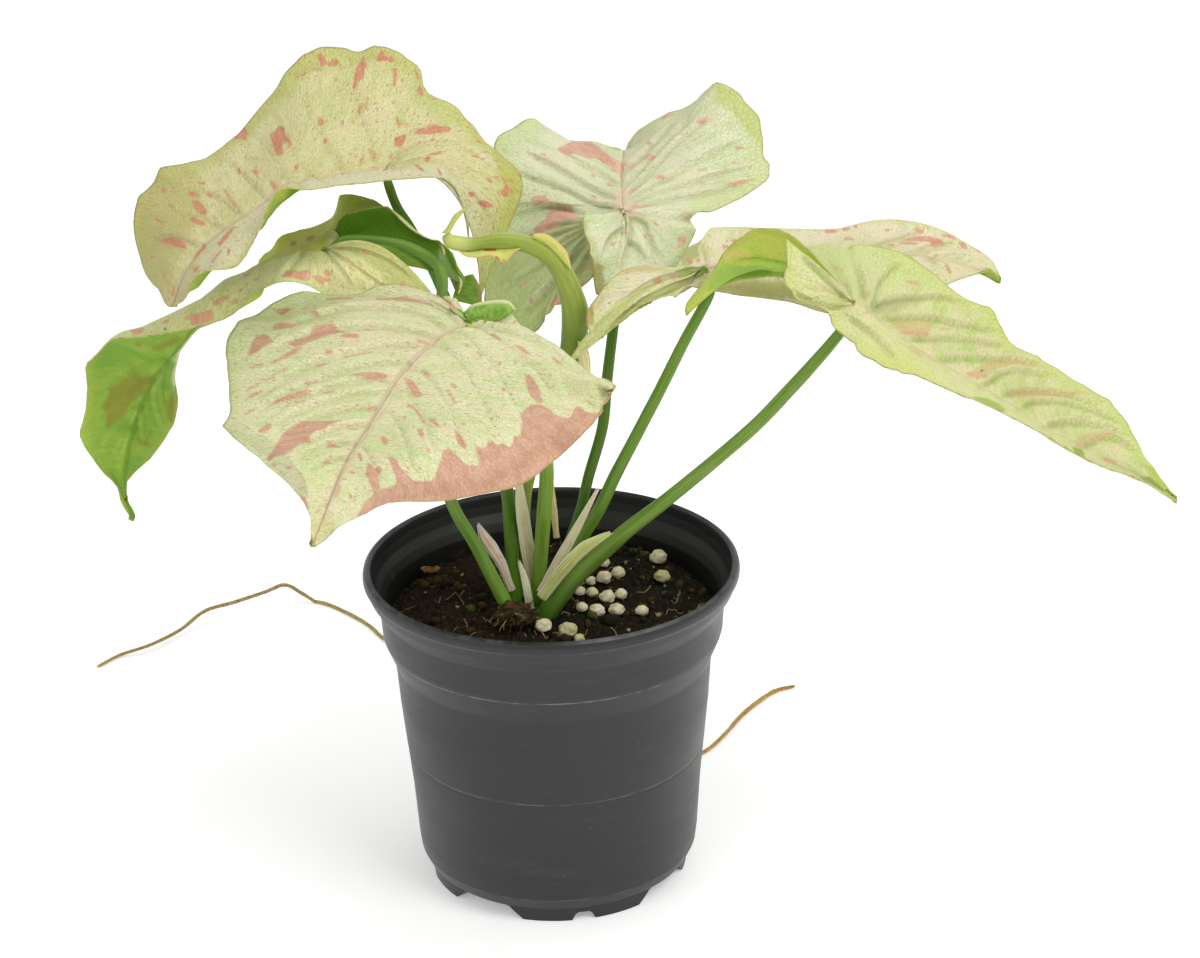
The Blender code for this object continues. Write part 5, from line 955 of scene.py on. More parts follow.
ZONES["leaf_left"]["under"] = [
    # the first underside patch is a darker green: painted shade on the underside of the lobe that curls up in front
    ([(320, 254), (330, 232), (340, 214), (390, 202), (446, 236), (462, 282), (456, 300), (420, 262), (380, 240), (340, 238)], (74, 108, 34), 0.95, 3),
    ([(440, 240), (448, 262), (462, 280), (458, 298), (446, 276), (438, 262)], (150, 168, 110), 0.6, 3),
    ([(192, 328), (180, 344), (173, 360), (170, 376), (173, 390), (178, 372), (180, 352), (192, 336)], (196, 208, 160), 0.9, 2.5),
    ([(262, 286), (268, 288), (256, 302), (238, 308), (246, 300)], (178, 190, 84), 0.9, 3),
    ([(100, 348), (120, 340), (140, 338), (130, 352), (104, 366), (92, 372)], (120, 158, 66), 0.6, 8),
]
ZONES["leaf_back"]["upper"] = [
    ([(480, 262), (506, 248), (548, 238), (584, 232), (602, 268), (580, 290), (536, 336), (484, 318)], (178, 190, 120), 0.65, 12),
    ([(566, 216), (584, 218), (586, 230), (566, 240), (546, 238), (560, 226)], (148, 152, 92), 0.75, 6),
    ([(712, 80), (740, 92), (762, 118), (764, 150), (752, 140), (738, 118), (716, 100)], (184, 194, 118), 0.8, 7),
    ([(690, 196), (724, 186), (764, 172), (768, 184), (720, 208), (690, 212)], (196, 206, 140), 0.5, 8),
    ([(676, 214), (700, 212), (690, 222)], (182, 164, 116), 0.8, 3),
    ([(592, 262), (602, 266), (606, 290), (592, 300)], (160, 150, 96), 0.8, 3),
    ([(612, 196), (634, 196), (640, 214), (628, 222), (612, 214)], (224, 196, 172), 0.6, 6),
]
ZONES["leaf_right"]["upper"] = [
    ([(790, 238), (840, 238), (900, 252), (940, 282), (900, 290), (850, 292), (815, 262)], (196, 208, 140), 0.6, 14),
    ([(862, 318), (892, 322), (960, 372), (1040, 420), (1110, 462), (1080, 458), (980, 402), (900, 366), (860, 346)], (216, 216, 156), 0.6, 8),
    ([(856, 340), (900, 352), (940, 380), (900, 376), (862, 358)], (204, 210, 128), 0.7, 6),
    ([(984, 304), (998, 312), (1012, 344), (1000, 336), (986, 316)], (190, 204, 110), 0.7, 5),
    ([(1112, 398), (1130, 424), (1150, 458), (1140, 462), (1122, 430)], (190, 206, 112), 0.6, 5),
    ([(1142, 466), (1156, 468), (1180, 502), (1160, 492)], (170, 188, 84), 0.85, 4),
    ([(1072, 446), (1082, 448), (1086, 458), (1076, 454)], (140, 172, 70), 0.9, 2),
    ([(974, 396), (988, 398), (1006, 410), (1000, 414), (980, 404)], (150, 178, 76), 0.85, 2),
    ([(1138, 476), (1150, 478), (1166, 492), (1150, 486)], (126, 160, 58), 0.9, 2),
    ([(868, 306), (890, 296), (930, 298), (900, 312), (876, 316)], (176, 174, 132), 0.6, 6),
    ([(880, 300), (860, 290), (866, 270), (884, 276)], (204, 200, 160), 0.4, 8),
]
ZONES["leaf_right"]["under"] = [
    ([(716, 268), (740, 258), (790, 262), (786, 274), (740, 280), (706, 290)], (150, 184, 80), 0.8, 5),
    ([(724, 252), (738, 246), (752, 254), (746, 262), (726, 260)], (218, 190, 116), 0.6, 6),
    ([(752, 232), (786, 234), (786, 262), (760, 256)], (192, 196, 92), 0.7, 6),
    ([(740, 280), (786, 276), (800, 300), (770, 296), (738, 290)], (174, 184, 86), 0.7, 5),
]
ZONES["leaf_back_right"]["upper"] = [
    ([(572, 358), (588, 336), (612, 306), (650, 286), (690, 276), (680, 296), (620, 322), (590, 350)], (184, 194, 116), 0.75, 8),
    ([(682, 250), (700, 242), (700, 256), (688, 268), (680, 266)], (160, 166, 104), 0.8, 4),
    ([(700, 284), (760, 280), (800, 284), (800, 300), (740, 296), (704, 290)], (172, 174, 96), 0.75, 6),
    ([(796, 232), (880, 222), (940, 236), (930, 250), (860, 240), (800, 240)], (226, 214, 190), 0.5, 8),
    ([(690, 262), (720, 256), (760, 258), (720, 274), (690, 276)], (226, 222, 186), 0.6, 5),
    ([(587, 306), (594, 306), (594, 326), (587, 324)], (160, 136, 60), 0.8, 2.5),
    ([(956, 268), (990, 262), (984, 270), (960, 278)], (214, 204, 160), 0.4, 4),
]
ZONES["leaf_front"]["upper"] = [
    ([(440, 334), (380, 330), (330, 342), (350, 352), (400, 350), (420, 356)], (220, 206, 174), 0.6, 8),
    ([(300, 440), (350, 450), (340, 480), (318, 500), (300, 470)], (196, 208, 144), 0.5, 12),
    ([(560, 372), (592, 382), (604, 396), (588, 404), (566, 390)], (196, 192, 142), 0.45, 8),
    ([(226, 346), (236, 344), (240, 400), (230, 410)], (196, 206, 140), 0.5, 6),
    ([(308, 520), (330, 512), (336, 528), (313, 546)], (190, 198, 126), 0.7, 5),
    ([(240, 318), (300, 292), (350, 298), (300, 306), (250, 326)], (198, 210, 150), 0.5, 8),
    ([(566, 380), (590, 380), (596, 392), (572, 396)], (190, 184, 140), 0.5, 5),
    ([(430, 486), (520, 478), (580, 430), (600, 416), (560, 456), (500, 486), (420, 500), (370, 512), (372, 506)], (226, 184, 152), 0.45, 5),
]

STEMS["young_leaf_stalk"] = (STEMS["young_leaf_stalk"][0], [12, 12, 12, 13, 14, 18, 24, 26, 22.5, 20, 18, 16.5, 15.5, 15, 12.5, 13, 9], 26)

# folds of the left lobe of the back leaf
MARKS["leaf_back"]["veins"] = list(MARKS["leaf_back"]["veins"]) + [
    ([(583, 224), (545, 236), (500, 250)], (0, 1)), ([(584, 231), (546, 258), (500, 286)], (0, 1)), ([(586, 240), (556, 276), (512, 320)], (0, 1)),
    ([(588, 252), (572, 276), (552, 300)], (0, 1)), ([(575, 206), (540, 205), (505, 214)], (0, 1)),
]
MARKS["leaf_back"]["dark"] = []
MARKS["leaf_front"]["dark"] = []
MARKS["leaf_back"]["pink"] = list(MARKS["leaf_back"]["pink"]) + [
    [(548, 302), (556, 298), (570, 290), (586, 278), (580, 288), (562, 303), (552, 306)], (540, 262, 548, 258, 0.9), (520, 286, 526, 282, 1.0), (512, 266, 516, 264, 0.8),
    (530, 302, 534, 298, 0.9), (552, 270, 556, 266, 0.8), (506, 246, 512, 244, 0.9), (536, 246, 542, 243, 0.8),
]

ZONES["leaf_left"]["late"] = [
    ([(250, 272), (262, 252), (276, 236), (300, 224), (326, 216), (338, 210), (336, 222), (330, 240), (320, 251), (300, 252), (272, 260)], (186, 184, 58), 0.94, 4),
    ([(334, 190), (352, 190), (374, 196), (394, 206), (368, 209), (350, 213), (336, 222)], (172, 182, 80), 0.90, 4),
    ([(290, 241), (297, 241), (297, 247), (291, 247)], (140, 86, 40), 0.7, 2),
    ([(306, 236), (314, 235), (314, 241), (307, 242)], (146, 92, 46), 0.6, 2),
    ([(352, 203), (366, 199), (384, 205), (366, 207)], (168, 132, 100), 0.45, 3),
]
MARKS["leaf_right"]["dark"] = [(980, 372, 982, 372.2, 0.8)]
MARKS["leaf_right"]["creases"] = list(MARKS["leaf_right"]["creases"])

# ---------------------------------------------------------------- leaf surfaces
BLADE_ROWS, FAN_ROWS, COLUMNS = 150, 90, 40
SKIN_T = 0.42


def stroke_distance(points, marks, far=30.0):
    """Signed distance (frame units) from each point to the nearest marking, negative inside."""
    best = np.full(len(points), far)
    for mark in marks:
        if isinstance(mark, tuple):
            a, b = np.array(mark[:2], float), np.array(mark[2:4], float)
            wide = mark[4]
            near = (points[:, 0] > min(a[0], b[0]) - far) & (points[:, 0] < max(a[0], b[0]) + far)
            near &= (points[:, 1] > min(a[1], b[1]) - far) & (points[:, 1] < max(a[1], b[1]) + far)
            if not near.any():
                continue
            p = points[near]
            ab = b - a
            t = np.clip((p - a) @ ab / max(ab @ ab, 1e-9), 0, 1)
            d = np.linalg.norm(p - a - t[:, None] * ab, axis=1) - wide
        else:
            ring = np.array(mark, float)
            near = (points > ring.min(0) - far).all(1) & (points < ring.max(0) + far).all(1)
            if not near.any():
                continue
            p = points[near]
            d = np.full(len(p), 1e9)
            inside = np.zeros(len(p), bool)
            for a, b in zip(ring, np.roll(ring, -1, axis=0)):
                ab = b - a
                t = np.clip((p - a) @ ab / max(ab @ ab, 1e-9), 0, 1)
                d = np.minimum(d, np.linalg.norm(p - a - t[:, None] * ab, axis=1))
                crosses = (a[1] > p[:, 1]) != (b[1] > p[:, 1])
                with np.errstate(divide="ignore", invalid="ignore"):
                    x = a[0] + (p[:, 1] - a[1]) / (b[1] - a[1]) * ab[0]
                inside ^= crosses & (p[:, 0] < x)
            d = np.where(inside, -d, d)
        best[near] = np.minimum(best[near], d)
    return best


def line_distance(points, line, side):
    """Distance to a line, positive on the given side, and the share along it."""
    line = np.array(line, float)
    if len(line) > 2:
        line = along(line, 24)
    best = np.full(len(points), 1e9)
    sign = np.ones(len(points))
    share = np.zeros(len(points))
    n = len(line) - 1
    for k in range(n):
        a, ab = line[k], line[k + 1] - line[k]
        t = (points - a) @ ab / max(ab @ ab, 1e-9)
        tc = np.clip(t, 0, 1)
        d = np.linalg.norm(points - a - tc[:, None] * ab, axis=1)
        across = np.array([-ab[1], ab[0]])
        if across @ np.array(side, float) < 0:
            across = -across
        s = np.sign((points - a) @ across)
        closer = d < best
        best = np.where(closer, d, best)
        sign = np.where(closer, s, sign)
        share = np.where(closer, (k + tc) / n, share)
    return best, sign, share


def refine_margin(name, side, rows, edge, w):
    """Moves the margin onto the finer outlines, keeping its depth."""
    coarse = np.array([r[2] for r in rows] + [LEAVES[name]["midrib"][-1]], float)
    for outline in OUTLINES.get((name, side), ()):
        fine = np.array(outline, float)
        cuts = np.linalg.norm(np.diff(fine, axis=0), axis=1)
        run = np.concatenate([[0], np.cumsum(cuts)])
        dense = np.linspace(0, run[-1], 900)
        spot = np.stack([np.interp(dense, run, fine[:, k]) for k in range(2)], 1)
        first = int(np.argmin(np.linalg.norm(coarse[:, :2] - fine[0], axis=1)))
        last = int(np.argmin(np.linalg.norm(coarse[:, :2] - fine[-1], axis=1)))
        anchor = [0.0]
        for i in range(first + 1, last):
            away = np.linalg.norm(spot - coarse[i, :2], axis=1) + np.where(dense < anchor[-1] + 2.0, 1e6, 0.0) + np.where(dense > anchor[-1] + 130.0, 1e5, 0.0)
            anchor.append(float(dense[int(np.argmin(away))]))
        anchor.append(run[-1])
        anchor = np.maximum.accumulate(np.array(anchor))
        inside = (w >= first) & (w <= last + 1e-9)
        k = np.clip(w[inside] - first, 0, len(anchor) - 1)
        s = np.interp(k, np.arange(len(anchor)), anchor)
        uv = np.stack([np.interp(s, run, fine[:, q]) for q in range(2)], 1)
        depth = edge[inside][:, 1]
        edge[inside] = np.array([at(a, b, y) for (a, b), y in zip(uv, depth)])
    return edge


def leaf_surface(leaf, name):
    """Upper skin of a leaf: verts (mm), faces, and numbers at each vertex."""
    leaf_name = name
    rib = np.array([at(*p) for p in leaf["midrib"]])
    fine = smooth_many(rib, np.linspace(0, len(rib) - 1, 60 * (len(rib) - 1) + 1))
    run = np.concatenate([[0], np.cumsum(np.linalg.norm(np.diff(fine, axis=0), axis=1))])
    length = run[-1]
    run = run / length
    spine = np.stack([np.interp(np.arange(BLADE_ROWS + 1) / BLADE_ROWS, run, fine[:, k]) for k in range(3)], 1)
    verts = [spine]
    out_share = [np.zeros(BLADE_ROWS + 1)]
    half_of = [np.zeros(BLADE_ROWS + 1)]
    uvs = [np.stack([np.zeros(BLADE_ROWS + 1), np.arange(BLADE_ROWS + 1) / BLADE_ROWS * length], 1)]
    faces = []
    count = BLADE_ROWS + 1
    t = np.arange(1, COLUMNS + 1) / COLUMNS
    for name in ("left", "right"):
        rows = leaf[name]
        shares = [r[0] for r in rows] + [1.0]
        mids = np.array([at(*r[1]) for r in rows] + [rib[-1]])
        edges = np.array([at(*r[2]) for r in rows] + [rib[-1]])
        last_fan = max(i for i, s in enumerate(shares) if s == 0)
        w_fan = last_fan * np.arange(FAN_ROWS) / FAN_ROWS
        w_blade = np.interp(np.arange(BLADE_ROWS) / BLADE_ROWS, shares[last_fan:], np.arange(last_fan, len(shares)))
        w = np.concatenate([w_fan, w_blade])
        roots = np.concatenate([np.zeros(FAN_ROWS, int), np.arange(BLADE_ROWS)])
        mid, edge = smooth_many(mids, w), smooth_many(edges, w)
        root = spine[roots]
        edge = refine_margin(leaf_name, name, rows, edge, w)
        seed = 3.1 if name == "left" else 8.4
        ripple = np.array([noise.noise(Vector((x * 0.9, seed, 0.3))) + 0.5 * noise.noise(Vector((x * 2.6, seed, 1.3))) for x in w])
        outward = edge - mid
        outward /= np.maximum(np.linalg.norm(outward, axis=1), 1e-6)[:, None]
        taper = np.clip((len(shares) - 1 - w) / 2.0, 0, 1)
        edge = edge + outward * (ripple * 0.16 * taper)[:, None]
        tt = t[None, :, None]
        grid = (root[:, None] * (1 - tt) * (1 - 2 * tt) + mid[:, None] * 4 * tt * (1 - tt) + edge[:, None] * tt * (2 * tt - 1))
        step = np.linalg.norm(np.diff(mid, axis=0), axis=1)
        place = np.concatenate([[0], np.cumsum(step)])
        place = place - place[FAN_ROWS]
        reach = np.linalg.norm(np.diff(np.concatenate([root[:, None], grid], 1), axis=1), axis=2).cumsum(1)
        verts.append(grid.reshape(-1, 3))
        out_share.append(np.tile(t, len(w)))
        half_of.append(np.full(len(w) * COLUMNS, -1.0 if name == "left" else 1.0))
        uvs.append(np.stack([reach.ravel(), np.repeat(place, COLUMNS)], 1))
        ids = count + np.arange(len(w) * COLUMNS).reshape(len(w), COLUMNS)
        full = np.concatenate([roots[:, None], ids], 1)
        quads = np.stack([full[:-1, :-1], full[1:, :-1], full[1:, 1:], full[:-1, 1:]], -1).reshape(-1, 4)
        tail = np.stack([full[-1, :-1], np.full(COLUMNS, BLADE_ROWS), full[-1, 1:]], -1)
        if name == "right":
            quads, tail = quads[:, ::-1], tail[:, ::-1]
        for q in quads.tolist():
            faces.append(q if len(set(q)) == 4 else [v for i, v in enumerate(q) if v != q[i - 1]])
        faces.extend(tail.tolist())
        count += len(w) * COLUMNS
    return np.concatenate(verts), faces, np.concatenate(out_share), np.concatenate(half_of), np.concatenate(uvs), length


def normals_of(verts, faces):
    tris = []
    for f in faces:
        tris.append(f[:3])
        if len(f) == 4:
            tris.append([f[0], f[2], f[3]])
    tris = np.array(tris)
    a, b, c = verts[tris[:, 0]], verts[tris[:, 1]], verts[tris[:, 2]]
    n = np.cross(b - a, c - a)
    out = np.zeros_like(verts)
    for k in range(3):
        np.add.at(out, tris[:, k], n)
    size = np.linalg.norm(out, axis=1)
    out /= np.maximum(size, 1e-12)[:, None]
    return out


def border_edges(faces):
    seen = {}
    for f in faces:
        for a, b in zip(f, f[1:] + f[:1]):
            key = (a, b) if a < b else (b, a)
            seen[key] = None if key in seen else (a, b)
    return [pair for pair in seen.values() if pair]


LEAF_RELIEF = {
    # name: (vein height mm, vein reach in frame units, fold depth mm)
    "leaf_upper_left": (0.55, 7.0, 0.0), "leaf_left": (0.7, 6.0, 0.0), "leaf_back": (1.15, 7.0, 0.0),
    "leaf_right": (1.3, 8.0, 0.0), "leaf_back_right": (0.8, 6.0, 0.0), "leaf_front": (1.05, 8.0, 2.2),
}


def make_leaf(name, mats):
    leaf, marks = LEAVES[name], MARKS[name]
    high, reach, fold = LEAF_RELIEF[name]
    verts, faces, share, half, uv, length = leaf_surface(leaf, name)
    frame_uv = to_frame(verts)
    normal = normals_of(verts, faces)
    relief = np.zeros(len(verts))
    crest = np.full(len(verts), 30.0)
    shade = np.zeros(len(verts))
    for line, side in marks["veins"]:
        d, sign, along_share = line_distance(frame_uv, line, side)
        ends = np.minimum(1.0, np.minimum(along_share * 8 + 0.35, (1 - along_share) * 5 + 0.02))
        s = d * sign
        profile = np.where(s < 0, np.exp(s / reach), np.exp(-(s / 1.3) ** 2))
        hollow = np.exp(-((s - 3.2) / 2.6) ** 2)
        relief += high * ends * (0.9 * profile - 0.75 * hollow) * (d < 26)
        crest = np.minimum(crest, d + 3.0 * (1 - ends))
        # painted shade in the hollow beside each vein, passed to the materials as the hollow attribute
        shade = np.maximum(shade, np.exp(-((s - 2.4) / 2.8) ** 2) * ends * (1 - 0.75 * along_share) * (s > -0.5))
    # midrib: a narrow groove above, a ridge beneath
    rib_line = np.array([p[:2] for p in leaf["midrib"]], float)
    rib_mm = uv[:, 0]
    on_blade = np.abs(half) > 0
    groove = np.exp(-(np.where(on_blade, rib_mm, 0.0) / 0.9) ** 2)
    relief -= 0.28 * groove
    # small uneven swells
    swell = noise_at(verts, 0.07, 5.0) * 0.9 + noise_at(verts, 0.19, 2.0) * 0.35
    relief += swell * ease(0.02, 0.3, share) * 0.8
    fade = 1.0 - 0.6 * ease(0.9, 1.0, share)
    verts = verts + normal * (relief * fade)[:, None]
    folded = np.full(len(verts), 30.0)
    for line in marks["creases"]:
        d, sign, along_share = line_distance(frame_uv, line, (0, 1))
        out = d * np.where(share > 0.6, sign, -1)
        keep = (along_share > 0.002) & (along_share < 0.998) & (share > 0.6)
        blend = np.minimum(1, np.minimum(along_share, 1 - along_share) * 14)
        push = np.clip(out, 0, 14) * keep * blend
        toward = sight(frame_uv[:, 0:1], frame_uv[:, 1:2])
        toward /= np.linalg.norm(toward, axis=1)[:, None]
        verts = verts + toward * (push * fold * 0.18)[:, None]
        folded = np.where(keep, np.minimum(folded, np.abs(d)), folded)
    pink = stroke_distance(frame_uv, marks["pink"])
    tan = stroke_distance(frame_uv, marks["tan"])
    dark = stroke_distance(frame_uv, marks["dark"])
    normal = normals_of(verts, faces)
    under = verts - normal * SKIN_T * (1 + 1.6 * np.exp(-(rib_mm / 0.8) ** 2) * on_blade + 1.6 * (~on_blade))[:, None]
    n = len(verts)
    all_faces = list(faces) + [[v + n for v in reversed(f)] for f in faces]
    rim = border_edges(faces)
    rim_faces = [[b, a, a + n, b + n] for a, b in rim]
    face_mats = [0] * len(faces) + [1] * len(faces) + [2] * len(rim_faces)
    two = lambda x: np.concatenate([x, x])
    top = np.concatenate([np.ones(n), np.zeros(n)])
    return make_mesh(
        name + "_blade", np.concatenate([verts, under]), all_faces + rim_faces, mats, replaces=(name,),
        uv=np.concatenate([uv, uv]),
        values=dict(pink=two(pink), tan=two(tan), dark=two(dark), crest=two(crest), fold=two(folded), share=two(share), half=two(half), top=top,
                    hollow=two(shade), **{f"{side}{k}": two(stroke_distance(frame_uv, [zone[0]])) for side in ("upper", "under", "late") for k, zone in enumerate(ZONES[name].get(side, ()))}),
        face_mats=face_mats)


# ---------------------------------------------------------------- leaf materials
LEAF_LOOK = {
    "leaf_upper_left": dict(base=(216, 212, 160), shade=(200, 202, 138), pale=(222, 216, 172), rib=(228, 214, 176), dip=(170, 168, 104), pink=(200, 132, 106),
                            pink2=(210, 148, 122), ring=(196, 158, 108), line=(196, 166, 118), freckle=(196, 134, 98), margin=(192, 196, 118), start=0.84,
                            under=(116, 156, 44), under2=(160, 174, 78), amount=1.45, rosy=0.30, deep=0.24, warm=0.2),
    "leaf_left": dict(base=(214, 210, 160), shade=(194, 198, 130), pale=(220, 214, 170), rib=(222, 214, 170), dip=(164, 160, 100), pink=(206, 146, 124),
                      pink2=(214, 164, 142), ring=(188, 146, 100), line=(206, 186, 136), freckle=(186, 130, 96), margin=(198, 202, 136), start=0.90,
                      under=(118, 154, 56), under2=(142, 166, 68), amount=1.15, rosy=0.35, deep=0.30, warm=0.2),
    "leaf_back": dict(base=(214, 216, 182), shade=(192, 204, 156), pale=(220, 216, 190), rib=(224, 216, 190), dip=(150, 160, 104), pink=(204, 152, 134),
                      pink2=(214, 172, 152), ring=(198, 166, 130), line=(196, 142, 122), freckle=(190, 150, 124), margin=(198, 206, 152), start=0.88,
                      under=(140, 168, 92), under2=(166, 180, 104), amount=0.95, rosy=0.42, deep=0.42, warm=0.35),
    "leaf_right": dict(base=(206, 210, 152), shade=(182, 198, 118), pale=(220, 204, 172), rib=(222, 206, 172), dip=(138, 156, 84), pink=(206, 158, 132),
                       pink2=(214, 172, 146), ring=(196, 170, 120), line=(214, 196, 160), freckle=(186, 160, 116), margin=(198, 206, 128), start=0.88,
                       under=(178, 196, 80), under2=(194, 204, 94), amount=0.80, rosy=0.50, deep=0.55, warm=0.25),
    "leaf_back_right": dict(base=(220, 214, 178), shade=(198, 202, 142), pale=(226, 218, 188), rib=(224, 216, 184), dip=(164, 160, 108), pink=(206, 140, 118),
                            pink2=(214, 162, 140), ring=(196, 150, 112), line=(210, 196, 154), freckle=(176, 130, 98), margin=(204, 206, 152), start=0.90,
                            under=(136, 164, 70), under2=(162, 178, 86), amount=0.85, rosy=0.45, deep=0.40, warm=0.25),
    "leaf_front": dict(base=(216, 214, 174), shade=(196, 208, 150), pale=(220, 216, 180), rib=(226, 216, 186), dip=(158, 166, 112), pink=(194, 146, 124),
                       pink2=(204, 162, 140), ring=(200, 164, 128), line=(192, 152, 126), freckle=(190, 142, 112), margin=(204, 210, 158), start=0.93,
                       under=(112, 150, 58), under2=(142, 170, 76), amount=1.35, rosy=0.40, deep=0.42, warm=0.35),
}


def leaf_materials(name):
    look = LEAF_LOOK[name]
    lift = {"leaf_upper_left": 1.0, "leaf_left": 1.15, "leaf_back": 1.06, "leaf_right": 1.05, "leaf_back_right": 1.045, "leaf_front": 1.06}[name]

    def tint(r, g, b):
        return srgb(min(250, r * lift), min(250, g * lift), min(250, b * lift))

    c = {k: tint(*v) for k, v in look.items() if isinstance(v, tuple)}

    def speckle(m, amount):
        """Short dashes along the veins, and rounder dots."""
        fine = m.noise(m.coords("UV", (0.34, 1.75, 1.0)), 1.0, 2.0, 0.6)
        dense = m.noise(m.coords("UV", (0.05, 0.07, 1)), 1.0, 2.0, 0.5)
        cut = m.math("SUBTRACT", 0.700 - 0.055 * amount, m.math("MULTIPLY", m.math("SUBTRACT", dense, 0.5), 0.20))
        small = m.ramp(m.math("SUBTRACT", fine, cut), 0.0, 0.022)
        dots = m.cells(m.coords("UV", (0.42, 0.80, 1.0)), 1.0)
        radius = m.math("MULTIPLY", m.math("SUBTRACT", dots.outputs["Color"], 0.64 - 0.10 * amount), 0.75)
        spot = m.ramp(m.math("SUBTRACT", radius, dots.outputs["Distance"]), -0.03, 0.05)
        tiny = m.cells(m.coords("UV", (1.3, 2.2, 1.0)), 1.0)
        radius = m.math("MULTIPLY", m.math("SUBTRACT", tiny.outputs["Color"], 0.58), 0.9)
        pin = m.ramp(m.math("SUBTRACT", radius, tiny.outputs["Distance"]), -0.04, 0.06)
        return small, spot, pin

    # upper side
    m = Nodes(name + "_upper")
    broad = m.noise(m.coords("UV", (0.035, 0.11, 1)), 1.0, 4.0, 0.55, 0.4)
    streak = m.noise(m.coords("UV", (0.07, 0.7, 1)), 1.0, 3.0, 0.6)
    green = m.ramp(m.math("ADD", m.math("MULTIPLY", broad, 0.65), m.math("MULTIPLY", streak, 0.35)), 0.41, 0.62)
    colour = m.mix(green, c["base"], c["shade"])
    blotch = m.ramp(m.noise(m.coords("UV", (0.10, 0.26, 1)), 1.0, 4.0, 0.65), 0.48, 0.62, 0.0, 0.5)
    colour = m.mix(blotch, colour, c["pale"])
    rose = m.ramp(m.noise(m.coords("UV", (0.05, 0.20, 2)), 1.0, 3.0, 0.55), 0.50, 0.68, 0.0, look["rosy"])
    colour = m.mix(rose, colour, tint(220, 198, 166))
    # margin
    edge_noise = m.noise(m.coords("UV", (0.1, 0.2, 1)), 1.0, 3.0)
    margin = m.ramp(m.math("ADD", m.attr("share"), m.math("MULTIPLY", m.math("SUBTRACT", edge_noise, 0.5), 0.25)), look["start"] - 0.10, look["start"] + 0.10, 0.0, 0.8)
    colour = m.mix(margin, colour, c["margin"])
    ragged = m.noise(m.coords("UV", (0.7, 1.5, 1)), 1.0, 4.0, 0.65)
    slow = m.noise(m.coords("UV", (0.14, 0.3, 1)), 1.0, 4.0, 0.6)
    for k, (_, tone, amount, soft) in enumerate(ZONES[name]["upper"]):
        d = m.math("ADD", m.attr(f"upper{k}"), m.math("MULTIPLY", m.math("SUBTRACT", slow, 0.5), soft * 2.2))
        colour = m.mix(m.ramp(d, soft * 0.6, -soft * 0.6, 0.0, amount), colour, tint(*tone))
    # ribs: a pale crest, partly the paler vein colour and partly a painted highlight, and painted shade in the hollow
    # beside it
    hollow = m.math("MULTIPLY", m.attr("hollow"), m.ramp(streak, 0.3, 0.7, 0.75, 1.0))
    colour = m.mix(m.math("MULTIPLY", hollow, look["deep"]), colour, c["dip"])
    rib = m.ramp(m.attr("crest"), 2.2, 0.1, 0.0, 0.45)
    colour = m.mix(rib, colour, c["rib"])
    fine_net = m.cells(m.coords("UV", (0.55, 1.0, 1)), 1.0, feature="DISTANCE_TO_EDGE")
    net = m.ramp(fine_net.outputs["Distance"], 0.09, 0.0, 0.0, 1.0)
    colour = m.mix(m.math("MULTIPLY", net, 0.13), colour, c["dip"])
    # freckles
    small, spot, pin = speckle(m, look["amount"])
    colour = m.mix(m.math("MULTIPLY", pin, 0.34), colour, c["freckle"])
    colour = m.mix(m.math("MULTIPLY", small, 0.40 + 0.25 * look["amount"]), colour, c["freckle"])
    colour = m.mix(m.math("MULTIPLY", spot, 0.62), colour, c["freckle"])
    # markings
    wobble = m.math("MULTIPLY", m.math("SUBTRACT", ragged, 0.5), 3.0)
    tan_d = m.math("ADD", m.attr("tan"), wobble)
    colour = m.mix(m.ramp(tan_d, 2.2, -2.2, 0.0, 0.62), colour, tint(200, 172, 122))
    for k, (_, tone, amount, soft) in enumerate(ZONES[name].get("late", ())):
        d = m.math("ADD", m.attr(f"late{k}"), m.math("MULTIPLY", m.math("SUBTRACT", slow, 0.5), soft * 2.2))
        colour = m.mix(m.ramp(d, soft * 0.6, -soft * 0.6, 0.0, amount), colour, tint(*tone))
    pink_d = m.math("ADD", m.attr("pink"), wobble)
    colour = m.mix(m.ramp(pink_d, 1.6, 0.2, 0.0, 0.40), colour, c["ring"])
    mottle = m.noise(m.coords("UV", (0.22, 0.5, 1)), 1.0, 4.0, 0.65)
    inner_tone = m.mix(m.ramp(mottle, 0.38, 0.62), c["pink"], c["pink2"])
    colour = m.mix(m.ramp(pink_d, 0.5, -0.5, 0.0, 0.92), colour, inner_tone)
    colour = m.mix(m.ramp(m.attr("dark"), 0.7, -0.4), colour, tint(86, 112, 62))
    # midrib
    rib_mm = m.new("ShaderNodeSeparateXYZ")
    m.link(m.coords("UV"), rib_mm.inputs[0])
    colour = m.mix(m.ramp(rib_mm.outputs["X"], 4.5, 0.4, 0.0, look["warm"]), colour, tint(222, 196, 172))
    colour = m.mix(m.ramp(rib_mm.outputs["X"], 0.42, 0.08, 0.0, 0.60), colour, c["line"])
    # painted shade along the creases
    fold = m.ramp(m.attr("fold"), 1.0, 0.0, 0.0, 0.45)
    colour = m.mix(fold, colour, tint(160, 146, 100))
    edge_line = m.ramp(m.attr("share"), 0.982, 0.999, 0.0, 0.5)
    colour = m.mix(edge_line, colour, tint(170, 158, 96))
    grain = m.noise(m.coords("UV", (5, 5, 1)), 1.0, 3.0)
    colour = m.mix(m.ramp(grain, 0.40, 0.66, 0.0, 0.12), colour, c["dip"])
    rough = m.ramp(grain, 0.3, 0.7, 0.48, 0.60)
    height = m.math("ADD", m.math("MULTIPLY", net, -0.9), m.math("MULTIPLY", grain, 0.45))
    height = m.math("ADD", height, m.math("MULTIPLY", slow, 2.4))
    bump = m.bump(height, 0.00030, 0.6)
    upper = m.out(colour, rough, bump, Specular_IOR_Level=0.12)

